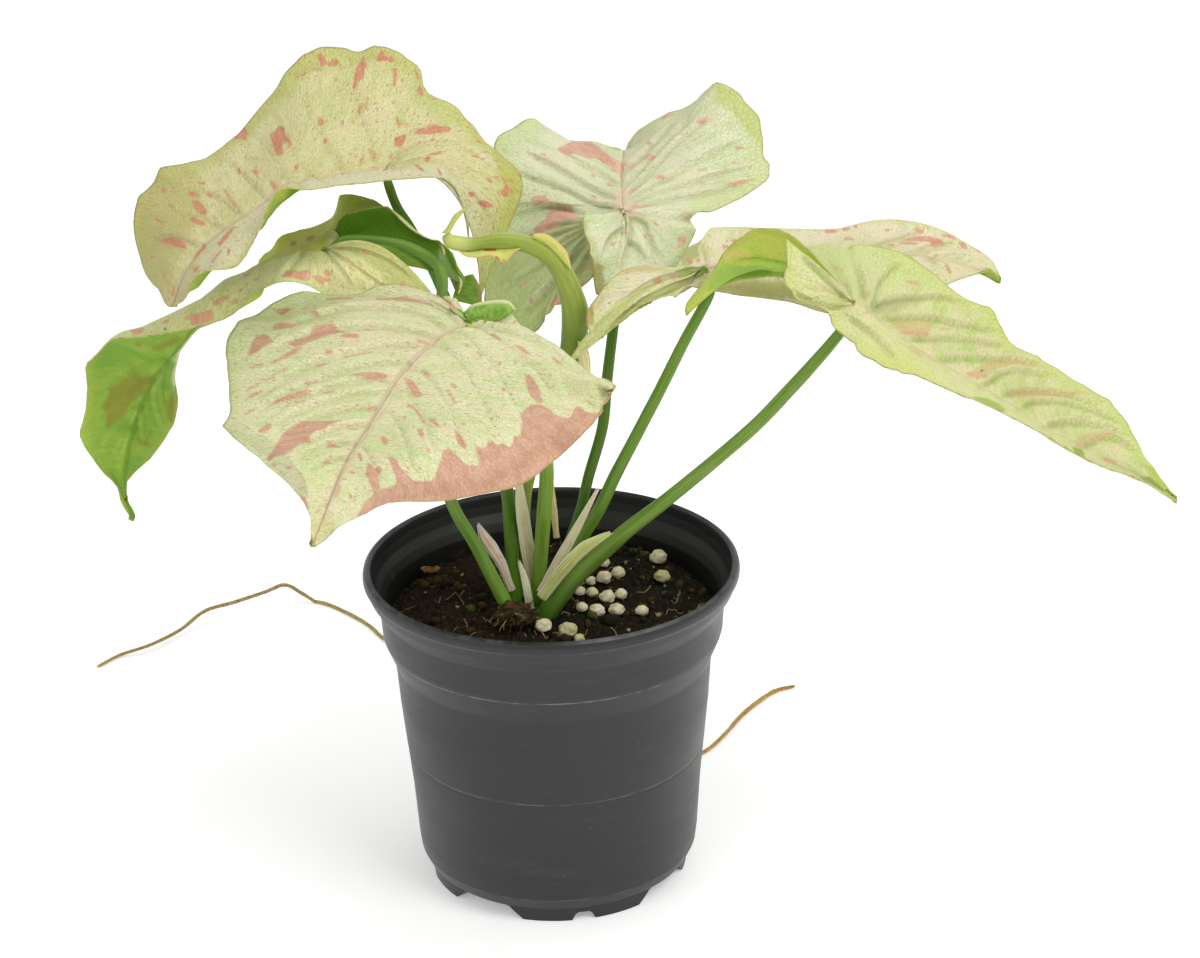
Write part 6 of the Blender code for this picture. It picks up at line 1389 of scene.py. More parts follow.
    # underside
    m = Nodes(name + "_under")
    broad = m.noise(m.coords("UV", (0.05, 0.14, 1)), 1.0, 4.0, 0.6, 0.5)
    colour = m.mix(m.ramp(broad, 0.36, 0.66), c["under"], c["under2"])
    streak = m.noise(m.coords("UV", (0.05, 0.8, 1)), 1.0, 3.0, 0.6)
    colour = m.mix(m.ramp(streak, 0.45, 0.75, 0.0, 0.30), colour, tint(156, 182, 100))
    slow = m.noise(m.coords("UV", (0.14, 0.3, 1)), 1.0, 4.0, 0.6)
    margin = m.ramp(m.attr("share"), 0.72, 0.97, 0.0, 0.45)
    colour = m.mix(margin, colour, tint(166, 178, 80))
    for k, (_, tone, amount, soft) in enumerate(ZONES[name]["under"]):
        d = m.math("ADD", m.attr(f"under{k}"), m.math("MULTIPLY", m.math("SUBTRACT", slow, 0.5), soft * 2.2))
        colour = m.mix(m.ramp(d, soft * 0.6, -soft * 0.6, 0.0, amount), colour, tint(*tone))
    rib = m.ramp(m.attr("crest"), 1.7, 0.1, 0.0, 0.4)
    colour = m.mix(rib, colour, tint(104, 140, 48))
    ragged = m.noise(m.coords("UV", (0.5, 1.0, 1)), 1.0, 4.0, 0.65)
    wobble = m.math("MULTIPLY", m.math("SUBTRACT", ragged, 0.5), 5.0)
    colour = m.mix(m.ramp(m.math("ADD", m.attr("tan"), wobble), 2.6, -2.6, 0.0, 0.75), colour, tint(134, 124, 56))
    colour = m.mix(m.ramp(m.math("ADD", m.attr("pink"), wobble), 1.6, -1.6, 0.0, 0.45), colour, tint(150, 132, 72))
    rib_mm = m.new("ShaderNodeSeparateXYZ")
    m.link(m.coords("UV"), rib_mm.inputs[0])
    colour = m.mix(m.ramp(rib_mm.outputs["X"], 0.9, 0.25, 0.0, 0.7), colour, tint(104, 136, 50))
    small, spot, pin = speckle(m, 0.4)
    colour = m.mix(m.math("MULTIPLY", spot, 0.35), colour, tint(140, 118, 60))
    fine_net = m.cells(m.coords("UV", (0.5, 0.9, 1)), 1.0, feature="DISTANCE_TO_EDGE")
    net = m.ramp(fine_net.outputs["Distance"], 0.12, 0.0, 0.0, 0.22)
    colour = m.mix(net, colour, tint(112, 148, 56))
    height = m.math("ADD", net, m.math("MULTIPLY", m.noise(m.coords("UV", (5, 5, 1)), 1.0, 2.0), 0.3))
    bump = m.bump(m.math("ADD", height, m.math("MULTIPLY", slow, 1.2)), 0.00025, 0.55)
    lower = m.out(colour, 0.5, bump, Specular_IOR_Level=0.18)

    # cut edge of the blade
    m = Nodes(name + "_rim")
    run = m.noise(m.coords("UV", (0.2, 0.35, 1)), 1.0, 3.0)
    colour = m.mix(m.ramp(run, 0.45, 0.62), srgb(188, 188, 120), srgb(172, 140, 98))
    pink_d = m.attr("pink")
    colour = m.mix(m.ramp(pink_d, 1.0, -1.0), colour, srgb(204, 150, 124))
    bump = m.bump(m.noise(m.coords("UV", (2, 4, 1)), 1.0, 3.0), 0.0002, 0.4)
    rim = m.out(colour, 0.5, bump)
    return [upper, lower, rim]


for leaf_name in LEAVES:
    make_leaf(leaf_name, leaf_materials(leaf_name))

# ---------------------------------------------------------------- peat height, as in the solid
def soil_z(x, y):
    r = math.hypot(x, y)
    lumps = 1.5 * noise.noise(Vector((x * 0.11, y * 0.11, 3.1))) + 0.8 * noise.noise(Vector((x * 0.27, y * 0.27, 7.7)))
    return SOIL_Z + 0.035 * y + lumps * min(1.0, (56.0 - r) / 14.0) - 3.2 * (r / 52.0) ** 7


def inner_radius(z):
    rs, zs = zip(*INNER)
    return float(np.interp(z, zs[1:], rs[1:]))


def top_under(x, y, r):
    ring = [(x + r * k * math.cos(a), y + r * k * math.sin(a)) for k in (0.0, 0.5, 1.0) for a in np.linspace(0, 2 * math.pi, 8, endpoint=False)]
    return max(soil_z(*p) for p in ring)


# ---------------------------------------------------------------- stalks
def stalk_material(name, tone, light, dark, foot, joint_tone, streak_amount=0.5):
    m = Nodes(name)
    streaks = m.noise(m.coords("UV", (0.05, 26.0, 1)), 1.0, 3.0, 0.6)
    broad = m.noise(m.coords("UV", (0.03, 3.0, 1)), 1.0, 3.0, 0.5)
    colour = m.mix(m.ramp(streaks, 0.35, 0.68, 0.0, streak_amount), srgb(*tone), srgb(*light))
    colour = m.mix(m.ramp(broad, 0.45, 0.7, 0.0, 0.55), colour, srgb(*dark))
    share = m.attr("share")
    wave = m.math("ADD", share, m.math("MULTIPLY", m.math("SUBTRACT", broad, 0.5), 0.14))
    colour = m.mix(m.ramp(wave, 0.17, 0.0, 0.0, 0.85), colour, srgb(*foot))
    colour = m.mix(m.ramp(wave, 0.955, 0.99, 0.0, 0.7), colour, srgb(*joint_tone))
    dots = m.cells(m.coords("UV", (0.5, 14.0, 1)), 1.0)
    speck = m.ramp(m.math("SUBTRACT", m.math("MULTIPLY", m.math("SUBTRACT", dots.outputs["Color"], 0.75), 0.35), dots.outputs["Distance"]), -0.02, 0.05, 0.0, 0.35)
    colour = m.mix(speck, colour, srgb(104, 92, 50))
    grain = m.noise(m.coords("UV", (2.5, 60.0, 1)), 1.0, 2.0)
    bump = m.bump(m.math("ADD", m.math("MULTIPLY", streaks, 0.6), m.math("MULTIPLY", grain, 0.4)), 0.00022, 0.6)
    return m.out(colour, m.ramp(grain, 0.3, 0.7, 0.38, 0.50), bump, Specular_IOR_Level=0.20)


STALK_LOOK = {
    # tone, lighter streak, darker, foot, joint
    "petiole_left": ((116, 150, 66), (148, 174, 94), (84, 120, 40), (116, 158, 46), (154, 178, 78)),
    "petiole_upper_left": ((96, 134, 46), (130, 160, 76), (66, 104, 30), (102, 150, 38), (144, 168, 64)),
    "petiole_front": ((122, 156, 60), (158, 184, 98), (88, 128, 36), (108, 156, 38), (196, 202, 120)),
    "petiole_back": ((84, 118, 40), (114, 148, 66), (56, 88, 24), (92, 136, 32), (154, 176, 82)),
    "petiole_back_right": ((106, 140, 54), (140, 168, 88), (72, 108, 32), (92, 140, 32), (154, 176, 82)),
    "petiole_right": ((112, 144, 58), (154, 178, 102), (76, 112, 36), (64, 102, 24), (178, 192, 102)),
}
ENDS = {"petiole_left": "leaf_left", "petiole_upper_left": "leaf_upper_left", "petiole_front": "leaf_front", "petiole_back": "leaf_back",
        "petiole_back_right": "leaf_back_right", "petiole_right": "leaf_right"}


def stalk_line(name):
    points, widths, _ = STEMS[name]
    world = [at(*p) for p in points]
    foot = world[0]
    need = soil_z(foot[0], foot[1]) + 0.5 + widths[0] * 0.16 * 0.6
    if foot[2] < need or foot[2] > need + 2.0:
        world[0] = world[1] + (world[1][2] - need) / max(1e-6, world[1][2] - foot[2]) * (foot - world[1])
    return world, [w * 0.3164 / 2 for w in widths]


for name in ENDS:
    world, radii = stalk_line(name)
    head = at(*LEAVES[ENDS[name]]["midrib"][0])
    down = world[0] - world[1]
    down = down / np.linalg.norm(down)
    # the foot runs into the peat, the head into the blade
    world = [world[0] + down * 5.0] + world + [head + np.array([0.0, 0.0, -0.2])]
    radii = [radii[0] * 1.06] + radii + [radii[-1] * 0.55]
    line = along(np.hstack([np.array(world), np.array(radii)[:, None]]), 190)
    steps, around = len(line), 30
    a = np.linspace(0, 2 * math.pi, around, endpoint=False)
    swing = 1.2 if name in ("petiole_front", "petiole_left") else 2.4
    ring = 1.0 + 0.035 * np.cos(2 * (a - swing)) - 0.10 * np.exp(-((np.mod(a - swing + math.pi, 2 * math.pi) - math.pi) / 0.34) ** 2)
    wave = 1.0 + 0.018 * np.array([noise.noise(Vector((k * 0.06, 1.7, len(name)))) for k in range(steps)])
    joint = 1.0 + 0.10 * np.exp(-((np.linspace(0, 1, steps) - 0.955) / 0.02) ** 2)
    r = line[:, 3][:, None] * ring[None, :] * (wave * joint)[:, None]
    verts, faces, share, turn, mm = tube_grid(line[:, :3], r, around)
    make_mesh(name + "_stalk", verts, faces, [stalk_material(name + "_green", *STALK_LOOK[name])], replaces=(name,),
              uv=np.stack([mm, turn], 1), values=dict(share=share))


# ---------------------------------------------------------------- young leaf, still rolled
def young_material():
    m = Nodes("young_leaf_green")
    streaks = m.noise(m.coords("UV", (0.06, 18.0, 1)), 1.0, 3.0, 0.6)
    broad = m.noise(m.coords("UV", (0.035, 2.2, 1)), 1.0, 4.0, 0.6, 0.5)
    share = m.attr("share")
    colour = m.mix(m.ramp(streaks, 0.35, 0.7, 0.0, 0.5), srgb(148, 162, 72), srgb(174, 184, 104))
    colour = m.mix(m.ramp(broad, 0.46, 0.72, 0.0, 0.7), colour, srgb(122, 148, 50))
    deep = m.math("MULTIPLY", m.ramp(share, 0.44, 0.56), m.ramp(share, 0.72, 0.58))
    colour = m.mix(m.math("MULTIPLY", deep, 0.62), colour, srgb(92, 130, 30))
    tip = m.ramp(share, 0.93, 0.975)
    colour = m.mix(m.math("MULTIPLY", tip, 0.75), colour, srgb(206, 212, 126))
    colour = m.mix(m.ramp(m.attr("seam"), 0.35, 0.9, 0.0, 0.55), colour, srgb(214, 206, 130))
    low = m.ramp(m.math("ADD", share, m.math("MULTIPLY", m.math("SUBTRACT", broad, 0.5), 0.12)), 0.30, 0.12, 0.0, 0.7)
    colour = m.mix(low, colour, srgb(112, 148, 52))
    smudge = m.ramp(m.noise(m.coords("UV", (0.16, 1.6, 1)), 1.0, 3.0, 0.6), 0.60, 0.72, 0.0, 0.28)
    colour = m.mix(smudge, colour, srgb(150, 140, 92))
    grain = m.noise(m.coords("UV", (2.0, 40.0, 1)), 1.0, 2.0)
    bump = m.bump(m.math("ADD", m.math("MULTIPLY", streaks, 0.6), m.math("MULTIPLY", grain, 0.4)), 0.00025, 0.6)
    return m.out(colour, m.ramp(grain, 0.3, 0.7, 0.42, 0.54), bump, Specular_IOR_Level=0.26)


def wing_material():
    m = Nodes("young_leaf_edge")
    streaks = m.noise(m.coords("UV", (0.4, 3.0, 1)), 1.0, 3.0, 0.6)
    colour = m.mix(m.ramp(streaks, 0.35, 0.7), srgb(214, 212, 120), srgb(196, 204, 108))
    colour = m.mix(m.ramp(m.attr("share"), 0.70, 1.0, 0.0, 0.8), colour, srgb(228, 182, 106))
    colour = m.mix(m.ramp(m.attr("mark"), 0.6, -0.4, 0.0, 0.9), colour, srgb(196, 96, 50))
    bump = m.bump(streaks, 0.0002, 0.5)
    return m.out(colour, 0.46, bump, Specular_IOR_Level=0.36)


YOUNG = young_material()
WING = wing_material()
world, radii = stalk_line("young_leaf_stalk")
down = (world[0] - world[1]) / np.linalg.norm(world[0] - world[1])
world = [world[0] + down * 5.0] + world
radii = [radii[0]] + radii
line = along(np.hstack([np.array(world), np.array(radii)[:, None]]), 260)
steps, around = len(line), 40
a = np.linspace(0, 2 * math.pi, around, endpoint=False)
k = np.linspace(0, 1, steps)
seam_at = 2.2 + 1.5 * k
gap = np.mod(a[None, :] - seam_at[:, None] + math.pi, 2 * math.pi) - math.pi
blade = ease(0.30, 0.44, k)[:, None]
seam = np.exp(-(gap / 0.20) ** 2) * blade
step_over = (0.10 * ease(-0.05, 0.10, gap) * np.exp(-np.clip(gap, 0, 9) / 0.8) - 0.05 * np.exp(-((gap + 0.16) / 0.12) ** 2)) * blade
body = 1.0 + step_over + 0.03 * np.sin(3 * a)[None, :] * blade
knob = 1.0 + 0.10 * np.exp(-((k - 0.965) / 0.018) ** 2) - 0.10 * np.exp(-((k - 0.925) / 0.016) ** 2)
verts, faces, share, turn, mm = tube_grid(line[:, :3], line[:, 3][:, None] * body * knob[:, None], around)
parts_v, parts_f = [verts], list(faces)
share_all, turn_all = [share], [turn]
seam_all = [np.concatenate([seam.ravel(), [0, 0]])]
mark_all = [np.full(len(verts), 9.0)]
mm_all = [mm]
face_mats = [0] * len(faces)
base = len(verts)


def ribbon(low, high, depth_low, depth_high, thick, steps, columns, bulge, marks=()):
    """A thin blade edge between two frame lines; both faces and a rim."""
    lo, hi = along(np.array(low, float), steps), along(np.array(high, float), steps)
    t = np.linspace(0, 1, columns)
    depth = depth_low + (depth_high - depth_low) * t
    rows = []
    for i in range(steps):
        uv = lo[i][None, :] * (1 - t)[:, None] + hi[i][None, :] * t[:, None]
        y = depth + bulge * np.sin(math.pi * t)
        rows.append(np.array([at(u, v, yy) for (u, v), yy in zip(uv, y)]))
    grid = np.array(rows)
    front = grid.reshape(-1, 3)
    back = front + np.array([0.0, thick, 0.0])
    ids = np.arange(steps * columns).reshape(steps, columns)
    quads = np.stack([ids[:-1, :-1], ids[1:, :-1], ids[1:, 1:], ids[:-1, 1:]], -1).reshape(-1, 4).tolist()
    n = steps * columns
    both = quads + [[v + n for v in reversed(q)] for q in quads]
    both += [[b, a, a + n, b + n] for a, b in border_edges(quads)]
    share = np.tile(t, steps)
    mark = stroke_distance(to_frame(front), list(marks)) if marks else np.full(n, 9.0)
    place = np.repeat(np.linspace(0, steps * 0.4, steps), columns)
    two = lambda x: np.concatenate([x, x])
    return np.concatenate([front, back]), both, two(share), two(place), two(mark)


def fold_material(name, tone, light, rim):
    m = Nodes(name)
    streaks = m.noise(m.coords("UV", (3.0, 0.5, 1)), 1.0, 4.0, 0.6)
    colour = m.mix(m.ramp(streaks, 0.35, 0.68), srgb(*tone), srgb(*light))
    colour = m.mix(m.ramp(m.attr("share"), 0.78, 0.97, 0.0, 0.9), colour, srgb(*rim))
    bump = m.bump(streaks, 0.0002, 0.6)
    return m.out(colour, 0.5, bump, Specular_IOR_Level=0.28)


# curled base of the front blade, and the folded ends beside the stalks
for fold_name, mat, args in (
        ("leaf_front_curl", fold_material("front_curl_green", (112, 152, 54), (150, 180, 86), (212, 212, 160)),
         ([(466, 318), (470, 322), (480, 322.5), (490, 322.5), (499, 320.5), (507, 317)], [(464, 312), (472, 305), (485, 301.5), (499, 300), (509, 301.5), (516, 309)],
          -29.2, -27.4, 0.45, 48, 12, -1.2)),
        ("leaf_left_end", fold_material("left_end_green", (104, 144, 46), (136, 166, 70), (168, 150, 92)),
         ([(452, 300), (455, 290), (458, 282), (462, 278), (467, 275.5)], [(481, 307), (482, 299), (481, 291), (478, 283), (473, 274.5)],
          3.4, 5.4, 0.4, 40, 12, -1.0))):
    v, f, s, p, mk = ribbon(*args)
    make_mesh(fold_name, v, f, [mat], uv=np.stack([s, p], 1), values=dict(share=s))

pieces = [
    ribbon([(534, 239), (546, 245), (556, 254), (564, 263), (570, 269)], [(533, 234.5), (539, 233.4), (548.7, 235.6), (557.2, 241.8), (564.5, 249), (568.1, 255), (571.4, 268)],
           -8.0, -8.6, 0.5, 30, 8, -0.5),
    ribbon([(455, 247), (470, 249), (490, 248), (505, 248), (520, 248)],
           [(457.9, 249.8), (460.3, 253), (466.3, 256.6), (478.5, 257.9), (488.2, 256), (495.4, 257.9), (500.3, 261.5), (505.1, 262.9), (510, 257.9), (514.8, 251.8), (520.5, 249)],
           -9.4, -11.6, 0.4, 44, 12, -0.8, marks=[(485, 249.5, 495, 249.3, 1.6), (467, 250, 469, 250.5, 1.4), (504, 260.5, 504.6, 261, 1.0), (496, 256.5, 499, 259, 0.8)]),
    ribbon([(442, 233), (446, 229), (450, 222), (454, 215.5), (460, 211), (466, 207.6), (470, 205)],
           [(449, 234), (452, 229), (455.5, 223), (458.5, 218.5), (463, 213), (467, 209.4), (470.2, 205.2)], -13.2, -13.9, 0.7, 30, 8, -0.9),
]
for v, f, s, p, mk in pieces:
    parts_f += [[i + base for i in face] for face in f]
    face_mats += [1] * len(f)
    parts_v.append(v)
    share_all.append(s)
    turn_all.append(s)
    seam_all.append(np.zeros(len(v)))
    mark_all.append(mk)
    mm_all.append(p)
    base += len(v)
make_mesh("young_leaf_rolled", np.concatenate(parts_v), parts_f, [YOUNG, WING], replaces=("young_leaf_stalk",),
          uv=np.stack([np.concatenate(mm_all), np.concatenate(turn_all)], 1),
          values=dict(share=np.concatenate(share_all), seam=np.concatenate(seam_all), mark=np.concatenate(mark_all)), face_mats=face_mats)


# ---------------------------------------------------------------- papery sheaths
def paper_material(name, tone, light, dark, edge):
    m = Nodes(name)
    fibres = m.noise(m.coords("UV", (0.05, 3.4, 1)), 1.0, 4.0, 0.65)
    broad = m.noise(m.coords("UV", (0.12, 0.5, 1)), 1.0, 3.0, 0.5)
    # tone, light and edge are made 1.13 times lighter: painted light for sheaths that lie in shade
    tone, light, edge = (tuple(min(252, v * 1.13) for v in c) for c in (tone, light, edge))
    colour = m.mix(m.ramp(fibres, 0.32, 0.68), srgb(*tone), srgb(*light))
    colour = m.mix(m.ramp(broad, 0.50, 0.75, 0.0, 0.4), colour, srgb(*dark))
    colour = m.mix(m.ramp(m.attr("share"), 0.62, 0.92, 0.0, 0.9), colour, srgb(*edge))
    lines = m.ramp(m.noise(m.coords("UV", (0.03, 9.0, 1)), 1.0, 2.0, 0.5), 0.56, 0.66, 0.0, 0.5)
    colour = m.mix(lines, colour, srgb(*dark))
    bump = m.bump(m.math("ADD", fibres, m.math("MULTIPLY", lines, 0.5)), 0.00035, 0.8)
    return m.out(colour, 0.62, bump, Specular_IOR_Level=0.3)


PAPER = {
    "sheath_pink": ((214, 176, 154), (236, 216, 198), (186, 112, 92), (250, 242, 228)),
    "sheath_low": ((232, 214, 174), (244, 232, 200), (186, 146, 106), (240, 230, 208)),
    "sheath_centre": ((226, 206, 160), (242, 228, 188), (190, 142, 98), (246, 236, 206)),
    "sheath_back": ((206, 188, 130), (222, 208, 156), (164, 110, 70), (226, 212, 168)),
    "sheath_long": ((216, 196, 148), (234, 220, 184), (180, 136, 92), (250, 244, 224)),
    "sheath_green": ((176, 180, 98), (204, 206, 140), (138, 148, 66), (236, 234, 204)),
    "young_leaf_sheath": ((206, 196, 142), (220, 212, 164), (184, 160, 100), (206, 184, 120)),
}


def make_sheath(name, line, widths):
    world = np.array([at(*p) for p in line])
    down = (world[0] - world[1]) / np.linalg.norm(world[0] - world[1])
    if name != "young_leaf_sheath":
        world = np.concatenate([[world[0] + down * 3.0], world])
        widths = [widths[0] * 1.05] + list(widths)
    steps, columns = 60, 17
    table = along(np.hstack([world, np.array(widths)[:, None]]), steps)
    seed = float(len(name)) * 1.7
    rows, share, place = [], [], []
    for i, row in enumerate(table):
        p, w = row[:3], row[3]
        ahead = table[min(i + 1, steps - 1)][:3] - table[max(i - 1, 0)][:3]
        ahead /= np.linalg.norm(ahead)
        side = np.cross(ahead, -FORWARD)
        side /= np.linalg.norm(side)
        front = np.cross(side, ahead)
        k = i / (steps - 1)
        for c in range(columns):
            s = 2 * c / (columns - 1) - 1
            torn = 0.10 * noise.noise(Vector((k * 7, seed, s * 0.5))) + 0.05 * noise.noise(Vector((k * 19, seed, s)))
            wide = w / 2 * (1.04 + torn)
            angle = s * 1.15
            flute = 0.10 * math.sin(s * 9 + seed) * w * 0.35
            lift = 0.35 * max(0, abs(s) - 0.8) * w
            end = 1.6 * noise.noise(Vector((s * 4.0, seed, 2.0))) * max(0.0, (k - 0.86) / 0.14)
            rows.append(p + side * wide * math.sin(angle) / math.sin(1.15) - front * (wide * (1 - math.cos(angle)) * 0.8 - flute - lift) + ahead * end)
            share.append(abs(s))
            place.append(k * 40)
    front_v = np.array(rows)
    ids = np.arange(steps * columns).reshape(steps, columns)
    quads = np.stack([ids[:-1, :-1], ids[:-1, 1:], ids[1:, 1:], ids[1:, :-1]], -1).reshape(-1, 4).tolist()
    normal = normals_of(front_v, quads)
    back_v = front_v - normal * 0.28
    n = len(front_v)
    faces = quads + [[v + n for v in reversed(q)] for q in quads] + [[b, a, a + n, b + n] for a, b in border_edges(quads)]
    share, place = np.array(share), np.array(place)
    two = lambda x: np.concatenate([x, x])
    make_mesh(name + "_paper", np.concatenate([front_v, back_v]), faces, [paper_material(name + "_fibre", *PAPER[name])],
              replaces=(name,),
              uv=np.stack([two(place), two(np.tile(np.linspace(0, 4, columns), steps))], 1), values=dict(share=two(share)))


SHEATHS.update({
    "sheath_pink": ([(509, 583, -4.5), (501, 563, -3.6), (492, 548, -2.8), (485, 538, -2.4), (478, 524, -2)], [2.6, 3.2, 3.8, 3.4, 0.7], None),
    "sheath_low": ([(529, 602, -8), (527, 590, -8), (524, 577, -7.4), (519, 562, -7)], [2.2, 2.2, 1.8, 0.7], None),
    "sheath_centre": ([(534, 592, 0), (529, 560, -2.5), (523, 518, -4), (519, 486, -4.5)], [3.0, 4.0, 3.9, 2.4], None),
    "sheath_back": ([(556, 530, 6), (554, 512, 6), (552, 496, 6), (551, 477, 6)], [1.8, 2.2, 2.2, 1.0], None),
    "sheath_long": ([(545, 586, -7.5), (559, 560, -6.8), (574, 534, -6), (598, 489, -5)], [2.9, 3.1, 2.7, 0.9], None),
    "sheath_green": ([(546, 592, -13.5), (562, 571, -14), (583, 549, -14), (609, 533, -13.5)], [3.4, 3.9, 3.7, 1.6], None),
})
for sheath_name, (line_points, line_widths, _) in SHEATHS.items():
    make_sheath(sheath_name, line_points, line_widths)


# ---------------------------------------------------------------- pot
def rounded(profile, radius):
    """Each corner of an open profile becomes a small arc."""
    out = [profile[0]]
    for i in range(1, len(profile) - 1):
        a, b, c = (np.array(p, float) for p in profile[i - 1:i + 2])
        la, lc = np.linalg.norm(a - b), np.linalg.norm(c - b)
        r = min(radius, la * 0.35, lc * 0.35)
        p, q = b + (a - b) / la * r, b + (c - b) / lc * r
        for t in (0.0, 0.33, 0.67, 1.0):
            out.append(tuple(p * (1 - t) ** 2 + b * 2 * t * (1 - t) + q * t * t))
    out.append(profile[-1])
    return out


def pot_material():
    m = Nodes("pot_plastic")
    spot = m.coords("Object", (1, 1, 1))
    pos = m.new("ShaderNodeSeparateXYZ")
    m.link(spot, pos.inputs[0])
    z = pos.outputs["Z"]
    cloud = m.noise(m.coords("Object", (18, 18, 30)), 1.0, 5.0, 0.6)
    fine = m.noise(m.coords("Object", (420, 420, 420)), 1.0, 3.0, 0.6)
    colour = m.mix(m.ramp(cloud, 0.35, 0.7), srgb(20, 20, 24), srgb(31, 31, 36))
    # dusty scuffs and smudges
    smear = m.noise(m.coords("Object", (26, 26, 90)), 1.0, 5.0, 0.7, 0.8)
    colour = m.mix(m.ramp(smear, 0.56, 0.74, 0.0, 0.20), colour, srgb(78, 78, 84))
    dark = m.noise(m.coords("Object", (14, 14, 26)), 1.0, 4.0, 0.6, 0.5)
    colour = m.mix(m.ramp(dark, 0.58, 0.72, 0.0, 0.4), colour, srgb(32, 32, 37))
    thin = m.noise(m.coords("Object", (190, 190, 1300)), 1.0, 3.0, 0.6, 2.4)
    colour = m.mix(m.ramp(thin, 0.66, 0.74, 0.0, 0.40), colour, srgb(104, 104, 110))
    # thin pale lines at the steps, and painted highlights along the lower edge and the top of the lip
    def band(at_z, half, amount, tone, prior):
        d = m.math("ABSOLUTE", m.math("SUBTRACT", z, at_z))
        wave = m.noise(m.coords("Object", (90, 90, 20)), 1.0, 4.0, 0.7)
        line = m.math("MULTIPLY", m.ramp(d, half, half * 0.3), m.ramp(wave, 0.40, 0.60, 0.05, amount))
        return m.mix(line, prior, tone)
    colour = band(0.0846, 0.00034, 0.75, srgb(120, 120, 126), colour)
    colour = band(0.0458, 0.00030, 0.60, srgb(106, 106, 112), colour)
    colour = band(0.0094, 0.00030, 0.50, srgb(100, 100, 106), colour)
    # painted highlights on the lip edges
    colour = band(0.1040, 0.00045, 0.45, srgb(80, 80, 86), colour)
    colour = band(0.1078, 0.00050, 0.55, srgb(96, 96, 102), colour)
    # crumbs of peat stuck on the collar, tan flecks
    flecks = m.cells(m.coords("Object", (150, 150, 150)), 1.0)
    size = m.math("MULTIPLY", m.math("SUBTRACT", flecks.outputs["Color"], 0.86), 0.9)
    fleck = m.ramp(m.math("SUBTRACT", size, flecks.outputs["Distance"]), -0.02, 0.03)
    high = m.ramp(z, 0.070, 0.100, 0.25, 1.0)
    colour = m.mix(m.math("MULTIPLY", fleck, high), colour, srgb(112, 92, 68))
    # inside: painted shade darkens the inner wall, most toward the peat, and peat dust lightens the ledge
    inner = m.attr("inner")
    colour = m.mix(m.math("MULTIPLY", inner, m.ramp(z, 0.104, 0.094, 0.65, 0.96)), colour, srgb(10, 10, 10))
    mud = m.noise(m.coords("Object", (120, 120, 160)), 1.0, 4.0, 0.65)
    mudm = m.math("MULTIPLY", m.math("MULTIPLY", m.ramp(mud, 0.62, 0.72), inner), m.ramp(z, 0.103, 0.095))
    colour = m.mix(m.math("MULTIPLY", mudm, 0.7), colour, srgb(96, 72, 46))
    rough = m.ramp(m.math("ADD", m.math("MULTIPLY", cloud, 0.5), m.math("MULTIPLY", smear, 0.5)), 0.3, 0.7, 0.33, 0.48)
    rough = m.math("MAXIMUM", rough, m.math("MULTIPLY", inner, 0.50))
    height = m.math("ADD", m.math("MULTIPLY", fine, 0.35), m.math("MULTIPLY", thin, 0.25))
    bump = m.bump(height, 0.00012, 0.5)
    return m.out(colour, rough, bump, Specular_IOR_Level=0.62)


